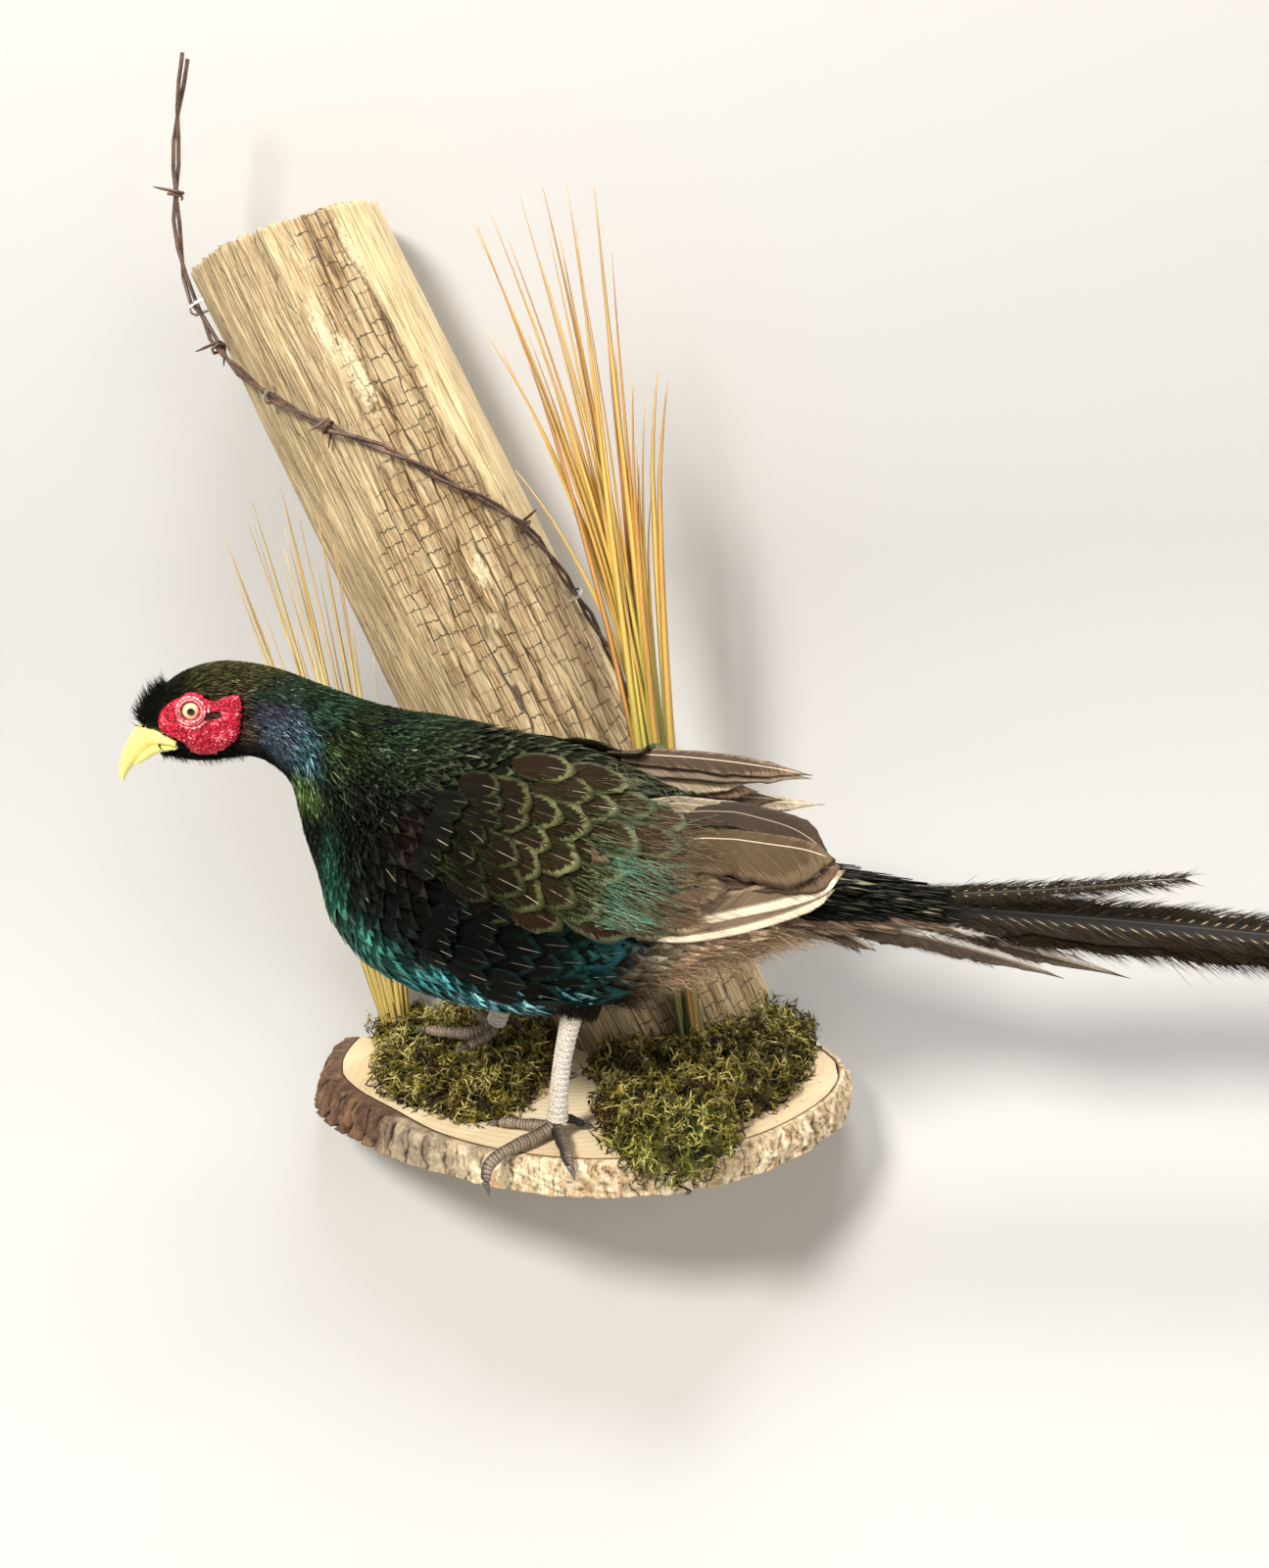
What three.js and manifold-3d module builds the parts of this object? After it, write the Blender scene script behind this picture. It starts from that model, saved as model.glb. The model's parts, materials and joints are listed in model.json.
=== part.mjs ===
// A melanistic cock pheasant, full taxidermy mount for a wall: the bird stands on a live-edge log slice,
// in front of a leaning fence post with barbed wire, between moss and two tufts of dry grass.
// Millimetres, +Z up. The wall is the plane Y = 0, the room is at -Y and the bird's bill points to -X.
// Everything is drawn with Z = 0 at the top of the slice, and the whole is then shifted so that the
// origin is the middle of the post's planed back, on the wall.

import * as THREE from 'three';
import { mergeVertices } from 'three/addons/utils/BufferGeometryUtils.js';
import Module from 'manifold-3d';

const wasm = await Module();
wasm.setup();

// ---- driving dimensions ------------------------------------------------------------------------

const GAP = 0.3;                  // clearance between two pieces that touch

const SLICE_THICK = 18;
const POST_RADIUS = 64;
const POST_FLAT = 9;              // depth planed off the back of the post
const POST_FOOT_X = 40;           // where the post's axis meets the slice
const POST_TILT = 22.2;           // degrees that the post leans towards -X
const POST_LENGTH = 500;          // along its axis, from the slice to the middle of the sawn top
const POST_TAPER = 0.14;          // share by which the post narrows towards its top

const STRAND_RADIUS = 1.2;        // one wire of the twisted pair
const STRAND_OFFSET = 1.6;        // from the pair's centreline to one wire's centre
const TWIST_PITCH = 72;           // wire length for one full twist
const BARB_RADIUS = 0.9;

const SHANK_RADIUS = 5.0;         // tarsus
const TOE_RADIUS = 3.9;
const EYE_RADIUS = 5.6;
const TAIL_LENGTH = 455;          // central feathers, measured from the rump

const COLOURS = {
  plumage: [0x11231c, 0.45], green: [0x1c3d2a, 0.45], brown: [0x4a3c30, 0.6],
  tail: [0x26241f, 0.55], faceSkin: [0xb3142c, 0.6], bill: [0xe3d79a, 0.4], eye: [0xd9c48e, 0.1],
  leg: [0x8b857b, 0.55], claw: [0x4f463d, 0.45], wood: [0xe6d6b0, 0.7], bark: [0x7a5a3c, 0.9],
  post: [0xb9a582, 0.85], moss: [0x4c5222, 0.95], grass: [0xd7ab48, 0.6], wire: [0x5b4334, 0.6],
  zinc: [0xc9c6bd, 0.35],
};

// ---- helpers -----------------------------------------------------------------------------------

const V = (x, y, z) => new THREE.Vector3(x, y, z);
const Z_AXIS = V(0, 0, 1);

/** A BufferGeometry from a flat list of positions and a list of triangle indices, faces outwards. */
function closedBody(positions, index) {
  let volume = 0;
  const [a, b, c] = [V(0, 0, 0), V(0, 0, 0), V(0, 0, 0)];
  for (let i = 0; i < index.length; i += 3) {
    a.fromArray(positions, index[i] * 3);
    b.fromArray(positions, index[i + 1] * 3);
    c.fromArray(positions, index[i + 2] * 3);
    volume += a.dot(b.cross(c));
  }
  const geometry = new THREE.BufferGeometry();
  geometry.setAttribute('position', new THREE.Float32BufferAttribute(positions, 3));
  geometry.setIndex(volume < 0 ? [...index].reverse() : index);
  return geometry;
}

/** A closed body through a row of rings: each is a list of points, all with the same count. */
function loft(rings) {
  const around = rings[0].length;
  const last = (rings.length - 1) * around;
  const positions = rings.flat().flatMap((p) => [p.x, p.y, p.z]);
  const index = [];
  for (let r = 0; r < rings.length - 1; r++) {
    for (let i = 0; i < around; i++) {
      const here = r * around + i;
      const next = r * around + ((i + 1) % around);
      index.push(here, next, here + around, next, next + around, here + around);
    }
  }
  for (const [first, flip] of [[0, true], [last, false]]) {
    const centre = positions.length / 3;
    const middle = rings[first / around].reduce((sum, p) => sum.add(p), V(0, 0, 0)).divideScalar(around);
    positions.push(middle.x, middle.y, middle.z);
    for (let i = 0; i < around; i++) {
      const [p, q] = [first + i, first + ((i + 1) % around)];
      index.push(...(flip ? [q, p, centre] : [p, q, centre]));
    }
  }
  return closedBody(positions, index);
}

/** One oval ring: half-sizes a along u and b along v, squarer as power rises above 2. */
function oval(centre, u, a, v, b, sides, power = 2) {
  return Array.from({ length: sides }, (_, i) => {
    const angle = (i / sides) * 2 * Math.PI;
    const bend = (x) => Math.sign(x) * Math.abs(x) ** (2 / power);
    return centre.clone()
      .addScaledVector(u, a * bend(Math.cos(angle)))
      .addScaledVector(v, b * bend(Math.sin(angle)));
  });
}

/** A tube along a smooth curve through points; radius is a function of the share of its length. */
function tube(points, radius, sides, steps) {
  const curve = new THREE.CatmullRomCurve3(points);
  const frames = curve.computeFrenetFrames(steps, false);
  return loft(Array.from({ length: steps + 1 }, (_, i) => {
    const r = radius(i / steps);
    return oval(curve.getPointAt(i / steps), frames.normals[i], r, frames.binormals[i], r, sides);
  }));
}

function solid(geometry) {
  const bare = geometry.clone();
  bare.deleteAttribute('normal');
  bare.deleteAttribute('uv');
  const merged = mergeVertices(bare, 1e-4);
  const mesh = new wasm.Mesh({
    numProp: 3,
    vertProperties: new Float32Array(merged.attributes.position.array),
    triVerts: new Uint32Array(merged.index.array),
  });
  return new wasm.Manifold(mesh);
}

function geometryOf(manifold) {
  const { vertProperties, triVerts } = manifold.getMesh();
  const geometry = new THREE.BufferGeometry();
  geometry.setAttribute('position', new THREE.BufferAttribute(vertProperties, 3));
  geometry.setIndex(new THREE.BufferAttribute(triVerts, 1));
  return geometry;
}

const joined = (geometries) => geometries.map(solid).reduce((all, one) => all.add(one));

/** The biggest of a solid's separate pieces: slivers that a cut leaves are dropped. */
function largest(manifold) {
  return manifold.decompose().reduce((best, one) => (one.volume() > best.volume() ? one : best));
}

/** A box given by its lowest and highest corner. */
function box(low, high) {
  const size = high.clone().sub(low);
  const geometry = new THREE.BoxGeometry(size.x, size.y, size.z);
  return geometry.translate(low.x + size.x / 2, low.y + size.y / 2, low.z + size.z / 2);
}

/** A prism: a smooth closed outline of [x, z] points, pushed along Y from y0 to y1. */
function sidePrism(outline, y0, y1, divisions = 24) {
  const curve = new THREE.CatmullRomCurve3(outline.map(([x, z]) => V(x, z, 0)), true);
  const corners = curve.getSpacedPoints(divisions).slice(0, -1);
  const shape = new THREE.Shape(corners.map((p) => new THREE.Vector2(p.x, p.y)));
  const geometry = new THREE.ExtrudeGeometry(shape, { depth: y1 - y0, bevelEnabled: false });
  return geometry.rotateX(Math.PI / 2).translate(0, y1, 0);
}

const display = new THREE.Group();
display.name = 'pheasant_wall_mount';

function add(name, shape, [colour, roughness], metalness = 0) {
  const geometry = shape.isBufferGeometry ? shape : geometryOf(shape);
  const material = new THREE.MeshStandardMaterial({ color: colour, roughness, metalness });
  const mesh = new THREE.Mesh(geometry, material);
  mesh.name = name;
  display.add(mesh);
  return mesh;
}

// ---- the bird's body: one skin from the bill's base to the rump, parted into head, neck and trunk ----

// Each station: the dorsal point and the ventral point [x, z], the middle's y, and the half width.
const STATIONS = [
  { dorsal: [-194, 230], ventral: [-192, 213], y: -213, half: 7 },       // forehead, at the bill
  { dorsal: [-183, 243], ventral: [-188, 210], y: -211, half: 13 },
  { dorsal: [-170, 251], ventral: [-181, 208], y: -208, half: 16 },      // the eye
  { dorsal: [-154, 254], ventral: [-169, 205], y: -204, half: 17.5 },    // crown and ear
  { dorsal: [-140, 252], ventral: [-155, 205], y: -200, half: 18 },
  { dorsal: [-127, 248], ventral: [-140, 204], y: -198, half: 19 },      // back of the head
  { dorsal: [-106, 238], ventral: [-128, 194], y: -195, half: 22 },
  { dorsal: [-85, 227], ventral: [-125, 175], y: -190, half: 28 },
  { dorsal: [-64, 219], ventral: [-122, 157], y: -187, half: 37 },       // neck's base
  { dorsal: [-42, 214], ventral: [-117, 135], y: -184, half: 48 },
  { dorsal: [-16, 208], ventral: [-111, 111], y: -183, half: 56 },       // shoulders
  { dorsal: [4, 202], ventral: [-91, 87], y: -182, half: 61 },
  { dorsal: [24, 196], ventral: [-36, 65], y: -182, half: 62 },          // the deepest point
  { dorsal: [49, 184], ventral: [16, 63], y: -182, half: 58 },
  { dorsal: [90, 161], ventral: [62, 80], y: -181, half: 43 },           // vent
  { dorsal: [120, 141], ventral: [108, 94], y: -180, half: 28 },
  { dorsal: [148, 127], ventral: [140, 108], y: -180, half: 13 },        // rump, over the tail's root
];
const HEAD_ENDS = 5;              // station numbers where the skin is parted
const NECK_ENDS = 8.5;
const LAST = STATIONS.length - 1;
const BODY_SIDES = 16;

const throughStations = (point) => new THREE.CatmullRomCurve3(STATIONS.map(point), false, 'centripetal');
const dorsalLine = throughStations((s) => V(s.dorsal[0], s.y, s.dorsal[1]));
const ventralLine = throughStations((s) => V(s.ventral[0], s.y, s.ventral[1]));
const widthLine = throughStations((s) => V(s.half, 0, 0));

/** The body's section at a station number: its centre, its own up and side directions, and half-sizes. */
function section(station) {
  const at = THREE.MathUtils.clamp(station / LAST, 0, 1);
  const [before, after] = [Math.max(at - 0.01, 0), Math.min(at + 0.01, 1)];
  const middle = (t) => dorsalLine.getPoint(t).add(ventralLine.getPoint(t)).multiplyScalar(0.5);
  const top = dorsalLine.getPoint(at);
  const centre = middle(at);
  const up = top.clone().sub(centre);
  const along = middle(after).sub(middle(before));
  const side = up.clone().cross(along).normalize();
  const halfSide = widthLine.getPoint(at).x;
  return { centre, up: up.clone().normalize(), side, halfUp: up.length(), halfSide };
}

/** The skin between two stations; grow adds to it all round, and flare widens it towards the rump. */
function bodyPiece(from, to, steps, grow = 0, flare = () => 0) {
  return loft(Array.from({ length: steps + 1 }, (_, i) => {
    const station = from + ((to - from) * i) / steps;
    const s = section(station);
    const wide = s.halfSide + grow + flare(station);
    return oval(s.centre, s.up, s.halfUp + grow, s.side, wide, BODY_SIDES, 2.25);
  }));
}

// ---- head: eye, face skin and bill -----------------------------------------------------------------

const EYE_STATION = 2.42;
const EYE_HEIGHT = 0.14;          // share of the head's half-height above its middle
const SIDES = [['left', 1], ['right', -1]];

const sideOf = section(6).side.y < 0 ? 1 : -1;   // makes +1 the bird's left

function headPoint(station, height, out, hand) {
  const s = section(station);
  return s.centre.clone()
    .addScaledVector(s.up, s.halfUp * height)
    .addScaledVector(s.side, out * hand * sideOf);
}
const EYE_OUT = section(EYE_STATION).halfSide - EYE_RADIUS * 0.62;
const eyeBall = (hand, radius) => {
  const c = headPoint(EYE_STATION, EYE_HEIGHT, EYE_OUT, hand);
  return new THREE.IcosahedronGeometry(radius, 1).translate(c.x, c.y, c.z);
};

// The bare red skin's outline on the side of the head: [distance ahead of the neck joint, z].
const FACE_OUTLINE = [
  [53, 225], [49.5, 236], [42, 241], [33, 243], [24, 239], [12, 240.5],
  [9.5, 236], [11, 226], [14, 217], [22, 210], [35, 209.5], [41, 218], [49, 220.5],
];
const HEAD_TURN = THREE.MathUtils.degToRad(14);   // the head looks a little into the room
const HEAD_PIVOT = V(-133, -198, 0);
const FACE_THICK = 1.3;
const HEAD_STEPS = 9;

/** The face skin's outline as a prism across one side of the turned head. */
function facePrism(hand) {
  const outline = FACE_OUTLINE.map(([ahead, z]) => [-ahead, z]);
  const reach = hand > 0 ? [-60, 0] : [0, 60];
  return sidePrism(outline, ...reach, 15).rotateZ(HEAD_TURN).translate(HEAD_PIVOT.x, HEAD_PIVOT.y, 0);
}

const headFull = solid(bodyPiece(0, HEAD_ENDS - 0.01, HEAD_STEPS));
const headOver = solid(bodyPiece(0, HEAD_ENDS - 0.01, HEAD_STEPS, FACE_THICK));
const headUnder = solid(bodyPiece(0, HEAD_ENDS - 0.01, HEAD_STEPS, GAP));

let head = headFull;
for (const [name, hand] of SIDES) {
  const socket = solid(eyeBall(hand, EYE_RADIUS + GAP));
  head = head.subtract(socket);
  const face = headOver.intersect(solid(facePrism(hand))).subtract(headUnder).subtract(socket);
  add(`face_skin_${name}`, largest(face), COLOURS.faceSkin);
  add(`eye_${name}`, eyeBall(hand, EYE_RADIUS), COLOURS.eye);
}

add('head', largest(head), COLOURS.plumage);

// The bill: each half is a row of ovals from the face to its tip, [x, y, z, half height, half width].
const UPPER_BILL = [
  [-187, -212.5, 221, 6.6, 7.2], [-193, -213.5, 219.5, 5.9, 6.3], [-198, -214.8, 214.5, 5.2, 5.0],
  [-202.5, -216, 209, 4.0, 3.8], [-205.6, -217, 203.8, 2.6, 2.4], [-206.6, -217.6, 199.4, 1.1, 1.1],
];
const LOWER_BILL = [
  [-184, -212.5, 213, 2.6, 5.2], [-190, -213.8, 211.4, 2.3, 4.4], [-195, -215.0, 208.8, 1.8, 3.2],
  [-199, -216, 206.2, 1.0, 1.6],
];
function billHalf(rows, tilt) {
  const across = V(Math.sin(tilt), -Math.cos(tilt), 0);
  return loft(rows.map(([x, y, z, high, wide], i) => {
    const [ahead, behind] = [rows[Math.min(i + 1, rows.length - 1)], rows[Math.max(i - 1, 0)]];
    const along = V(ahead[0] - behind[0], ahead[1] - behind[1], ahead[2] - behind[2]).normalize();
    const up = along.clone().cross(across).normalize();
    return oval(V(x, y, z), up, high, across, wide, 10, 2.2);
  }));
}
const upperBill = solid(billHalf(UPPER_BILL, HEAD_TURN)).subtract(headUnder);
const upperBillGrown = solid(billHalf(
  UPPER_BILL.map(([x, y, z, high, wide]) => [x, y, z, high + GAP, wide + GAP]),
  HEAD_TURN,
));
const lowerBill = solid(billHalf(LOWER_BILL, HEAD_TURN)).subtract(headUnder).subtract(upperBillGrown);
add('bill_upper', largest(upperBill), COLOURS.bill);
add('bill_lower', largest(lowerBill), COLOURS.bill);

// ---- wings: shells that lie on the trunk, and run on past it to the flight feathers ---------------

const WING_RISE = 4.2;            // how far a folded wing stands proud of the flank
const WING_DEPTH = 4.4;
const wingFlare = (station) => THREE.MathUtils.smoothstep(station, 12, LAST) * 20;
const LEFT_WING = [
  [-52, 172], [-38, 194], [-5, 205], [36, 201], [78, 186], [109, 171], [138, 154],
  [136, 141], [118, 133], [86, 124], [58, 121], [26, 128], [0, 134], [-28, 148],
];
const RIGHT_WING = [
  [-52, 168], [-38, 190], [-5, 203], [36, 199], [78, 187], [108, 172], [132, 156],
  [128, 144], [98, 143], [72, 138], [40, 134], [0, 136], [-28, 148],
];
const BODY_MIDDLE_Y = -182;
const OVERREACH = 150;            // longer than any half-width, for the cutting prisms

const former = (grow) => solid(bodyPiece(NECK_ENDS + 0.3, LAST, 8, grow, wingFlare));
const trunkSkin = (grow) => solid(bodyPiece(NECK_ENDS + 0.01, LAST, 12, grow));
const trunkGrown = trunkSkin(GAP).add(trunkSkin(GAP).translate(2 * GAP, 0, -0.1));
const wingShell = former(WING_RISE).subtract(former(WING_RISE - WING_DEPTH));

const FEATHER_SIDES = 4;          // a flat lozenge: sharp edges, a ridge along the quill

/** One feather: a flat body that widens from its root and narrows to its tip, along a bowed midline. */
function feather({ root, tip, sag = 0, width, thick, face, steps = 5, fullness = 0.55 }) {
  const control = root.clone().lerp(tip, 0.5).addScaledVector(Z_AXIS, -sag);
  const midline = new THREE.QuadraticBezierCurve3(root, control, tip);
  return loft(Array.from({ length: steps + 1 }, (_, i) => {
    const t = i / steps;
    const along = midline.getTangent(t);
    const across = face.clone().cross(along).normalize();
    const out = along.clone().cross(across).normalize();
    const taper = Math.max(0.06, 1 - Math.max(0, (t - fullness) / (1 - fullness)) ** 1.8);
    const spread = Math.min(1, 0.45 + 1.6 * t) * taper;
    const half = Math.max(0.5, (width / 2) * spread);
    return oval(midline.getPoint(t), across, half, out, (thick / 2) * (0.5 + 0.5 * spread), FEATHER_SIDES);
  }));
}

/** A wing: the shell inside its outline, joined to its flight feathers and clear of the trunk. */
function wing(outline, y0, y1, flightFeathers) {
  const shell = largest(wingShell.intersect(solid(sidePrism(outline, y0, y1))));
  return largest(shell.add(joined(flightFeathers.map(feather))).subtract(trunkGrown));
}
const SIDE_FACE = V(0, -1, 0.15).normalize();
const leftWing = wing(LEFT_WING, BODY_MIDDLE_Y - OVERREACH, BODY_MIDDLE_Y - 4, [
  { root: V(66, -236, 128), tip: V(155, -209, 141), sag: 9, width: 19, face: SIDE_FACE, thick: 2.4 },
  { root: V(56, -237, 121), tip: V(146, -212, 133), sag: 9, width: 17, face: SIDE_FACE, thick: 2.4 },
]);
const FAR_FACE = V(0.05, -1, 0.5).normalize();
const rightWing = wing(RIGHT_WING, BODY_MIDDLE_Y + 4, BODY_MIDDLE_Y + OVERREACH, [
  { root: V(42, -149, 180), tip: V(137, -145, 169), sag: -5, width: 18, face: FAR_FACE, thick: 2.4 },
  { root: V(44, -145, 172), tip: V(114, -143, 162), sag: -2, width: 18, face: FAR_FACE, thick: 2 },
  { root: V(50, -138, 165), tip: V(142, -140, 154.5), sag: -3, width: 15, face: FAR_FACE, thick: 2.4 },
  { root: V(54, -133, 156), tip: V(118, -140, 142), sag: -3, width: 17, face: FAR_FACE, thick: 2 },
]);
add('wing_left', leftWing, COLOURS.brown);
add('wing_right', rightWing, COLOURS.brown);
const wingSpace = solid(bodyPiece(NECK_ENDS + 0.3, LAST, 8, WING_RISE + GAP, wingFlare))
  .subtract(former(WING_RISE - WING_DEPTH - GAP));

const feathers = (list) => joined(list.map(feather));

// ---- tail ----------------------------------------------------------------------------------------

const TAIL_ROOT = V(136, -180, 116);
const ROOF = V(0, -0.5, 1).normalize();
const FLAT_ROOF = V(0, -0.3, 1).normalize();
const NEAR_FACE = V(0, -1, 0.35).normalize();
const REAR_FACE = V(0, 1, 0.35).normalize();
const tailTip = (share, y, drop) => V(TAIL_ROOT.x + TAIL_LENGTH * share, y, TAIL_ROOT.z - drop);
const long = { steps: 7, thick: 3, fullness: 0.3 };
const tailCentre = feathers([
  { root: TAIL_ROOT, tip: tailTip(1, -178, 60), sag: -13, width: 36, face: FLAT_ROOF, ...long },
  { root: V(138, -180, 112), tip: tailTip(0.86, -182, 49), sag: -11, width: 36, face: ROOF, ...long },
  { root: V(138, -180, 118), tip: tailTip(0.4, -176, -6), sag: 5, width: 12, face: ROOF, thick: 2 },
]);
const tailNear = feathers([
  { root: V(140, -190, 111), tip: tailTip(0.34, -195, 39), sag: -8, width: 20, face: NEAR_FACE, thick: 1.8 },
  { root: V(138, -191, 110), tip: tailTip(0.27, -197, 38), sag: -7, width: 19, face: NEAR_FACE, thick: 1.8 },
  { root: V(136, -193, 110), tip: tailTip(0.07, -201, 21), sag: -1, width: 13, face: NEAR_FACE, thick: 1.8 },
]);
const tailFar = feathers([
  { root: V(140, -170, 111), tip: tailTip(0.34, -163, 40), sag: -8, width: 20, face: REAR_FACE, thick: 1.8 },
  { root: V(138, -169, 110), tip: tailTip(0.27, -160, 39), sag: -7, width: 19, face: REAR_FACE, thick: 1.8 },
]);
const coverts = (grow) => loft([
  [149.4, 116, 11, 15], [162, 112, 13, 17], [185, 107, 13, 15], [220, 101, 10, 12], [262, 95, 4, 7],
].map(([x, z, high, wide]) => oval(V(x, -180, z), Z_AXIS, high + grow, V(0, -1, 0), wide + grow, 10)));
const tailSpace = trunkGrown.add(solid(coverts(GAP))).add(wingSpace);
const centreGrown = tailCentre.add(tailCentre.translate(0, 0, -0.8)).add(tailCentre.translate(0, -0.5, -0.5))
  .add(tailCentre.translate(0, 0.5, -0.5));
add('tail_coverts', coverts(0), COLOURS.plumage);
add('tail_centre', largest(tailCentre.subtract(tailSpace)), COLOURS.tail);
add('tail_side_left', largest(tailNear.subtract(tailSpace).subtract(centreGrown)), COLOURS.tail);
add('tail_side_right', largest(tailFar.subtract(tailSpace).subtract(centreGrown)), COLOURS.tail);

// ---- legs: feathered thigh, scaled shank, toes and claws -------------------------------------------

// Each foot: where the hip, ankle and toe joint are. Each toe is a route to its claw's root, and then
// the claw's tip.
const LEGS = {
  left: {
    thigh: [V(22, -204, 96), V(14, -210, 68)],
    shank: [V(12, -210, 63), V(6, -211, 40), V(1, -211.5, 8)],
    toes: {
      middle: [
        V(0, -211, 5.4), V(-11, -225, 4.3), V(-22, -238, 3.7),
        V(-28, -246, 0), V(-29, -250.5, -6), V(-27.5, -251, -14),
      ],
      inner: [V(-1, -210, 5.4), V(-13, -206, 3.9), V(-26, -203, 4), V(-33, -201.5, 3), V(-39, -200.5, 1.2)],
      outer: [V(1, -213, 5.4), V(7, -228, 4), V(11, -240, 4), V(14, -247, 1), V(17, -251, -5)],
      back: [V(2, -209, 9), V(8, -206, 7), V(14, -204, 2.8), V(18.5, -202.5, 1)],
    },
  },
  right: {
    thigh: [V(-8, -158, 98), V(-24, -150, 72)],
    shank: [V(-25, -149.5, 73), V(-38, -139, 50), V(-48, -131, 31)],
    toes: {
      middle: [
        V(-49, -130, 28), V(-62, -134, 25.5), V(-76, -132, 25.5), V(-90, -128, 25.5), V(-97, -127, 23.8),
      ],
      inner: [V(-48, -132, 28), V(-54, -143, 25.5), V(-60, -153, 25.5), V(-65, -159, 23.8)],
      outer: [V(-48, -129, 28), V(-55, -118, 25.5), V(-64, -108, 25.5), V(-70, -102, 23.8)],
      back: [V(-47, -130, 31), V(-40, -129, 31), V(-34, -130, 26.5), V(-31.5, -130.5, 24)],
    },
  },
};
const TOE_WIDTH = { middle: 1, inner: 0.86, outer: 0.9, back: 0.66 };
const CLAW_SEAT = 1.4;             // from the toe's end to the claw's root
const knuckles = (t) => 1 + 0.1 * Math.cos(t * 5 * Math.PI);

/** The feathered thigh, from inside the trunk to the top of the shank. */
function thighBody(leg, grow) {
  const ankle = leg.shank[0].clone().lerp(leg.shank[1], 0.12);
  return solid(tube([...leg.thigh, ankle], (t) => 17 - 9.5 * t + grow, 8, 3));
}

for (const [name, leg] of Object.entries(LEGS)) {
  const shank = tube(leg.shank, (t) => SHANK_RADIUS * (1.12 - 0.2 * Math.sin(Math.PI * t)), 7, 3);
  const toes = Object.entries(leg.toes).map(([toe, route]) => tube(
    route.slice(0, -1), (t) => TOE_RADIUS * TOE_WIDTH[toe] * (1 - 0.3 * t) * knuckles(t), 5, 5));
  let foot = joined([shank, ...toes]).subtract(thighBody(leg, GAP)).subtract(trunkGrown);
  for (const [toe, route] of Object.entries(leg.toes)) {
    const [behind, root, tip] = route.slice(-3);
    const start = root.clone().addScaledVector(root.clone().sub(behind).normalize(), CLAW_SEAT);
    const bend = start.clone().lerp(tip, 0.5).add(V(0, 0, 0.8));
    const size = 2.1 * TOE_WIDTH[toe];
    const claw = tube([start, bend, tip], (t) => size * (1 - 0.8 * t), 5, 3);
    add(`claw_${name}_${toe}`, claw, COLOURS.claw);
  }
  const spurRoot = leg.shank[1].clone().lerp(leg.shank[2], 0.25);
  const inward = name === 'left' ? 1 : -1;
  const spurLine = [V(2.5, 2 * inward, 0), V(7, 3.4 * inward, 0.6), V(10.5, 4 * inward, 3)];
  const spurPoints = spurLine.map((p) => p.add(spurRoot));
  const spur = (grow) => tube(spurPoints, (t) => 1.9 - 1.3 * t + grow, 5, 2);
  foot = foot.subtract(solid(spur(GAP)));
  add(`spur_${name}`, spur(0), COLOURS.claw);
  add(`leg_${name}`, largest(foot), COLOURS.leg);
  add(`thigh_${name}`, largest(thighBody(leg, 0).subtract(trunkGrown)), COLOURS.plumage);
}

// The neck and the trunk are whole lengths of the body: what lies on them is cut clear of them.
add('neck', bodyPiece(HEAD_ENDS + 0.01, NECK_ENDS - 0.01, 6), COLOURS.green);
add('trunk', trunkSkin(0), COLOURS.plumage);

// ---- slice: a live-edge round of wood with its bark, flat where it meets the wall -------------------

const RIM = [
  [-86, 30], [-112, -8], [-141, -48], [-149, -93], [-143, -127], [-127, -151], [-98, -178], [-62, -209],
  [-21, -229], [21, -237], [61, -232], [98, -214], [126, -183], [141, -150], [141, -119], [122, -83],
  [96, -38], [62, 30],
];
const BARK_THICK = { left: 9, front: 4.6, right: 3.4 };

/** The rim's points, each moved outwards by offset(x, y). */
function rimRing(z, offset) {
  const curve = new THREE.CatmullRomCurve3(RIM.map(([x, y]) => V(x, y, 0)), true, 'centripetal');
  const count = 34;
  return Array.from({ length: count }, (_, i) => {
    const p = curve.getPointAt(i / count);
    const out = curve.getTangentAt(i / count).cross(Z_AXIS).negate();
    return p.addScaledVector(out, -offset(p.x, p.y)).setZ(z);
  });
}
const barkThick = (x, y) => {
  const left = THREE.MathUtils.smoothstep(-x, 20, 120);
  const right = THREE.MathUtils.smoothstep(x, 60, 130);
  const plain = BARK_THICK.front + (BARK_THICK.left - BARK_THICK.front) * left;
  return plain + (BARK_THICK.right - plain) * right + 0.8 * Math.sin(x * 0.21 + y * 0.13);
};
const flareOut = (x) => 3 + 7 * THREE.MathUtils.smoothstep(-x, 40, 130);
const rimSolid = (grow) => solid(loft([
  rimRing(0, () => grow),
  rimRing(-SLICE_THICK, (x) => grow + flareOut(x)),
]));
const inTheRoom = solid(box(V(-900, -900, -900), V(900, 0, 900)));
let sliceWood = rimSolid(0).intersect(inTheRoom);
const barkOuter = solid(loft([
  rimRing(-0.4, (x, y) => barkThick(x, y) - 0.8),
  rimRing(-SLICE_THICK / 2, (x, y) => barkThick(x, y) + flareOut(x) * 0.5 + 1),
  rimRing(-SLICE_THICK, (x, y) => barkThick(x, y) * 0.8 + flareOut(x)),
]));
const sliceBark = barkOuter.subtract(rimSolid(GAP)).intersect(inTheRoom);
add('slice_bark', largest(sliceBark), COLOURS.bark);

// ---- fence post: a leaning round with a planed back ------------------------------------------------

const TILT = THREE.MathUtils.degToRad(POST_TILT);
const POST_AXIS = V(-Math.sin(TILT), 0, Math.cos(TILT));
const POST_RIGHT = V(Math.cos(TILT), 0, Math.sin(TILT));
const POST_FRONT = V(0, -1, 0);
const postRadius = (s) => POST_RADIUS * (1 - (POST_TAPER * s) / POST_LENGTH);
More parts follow.
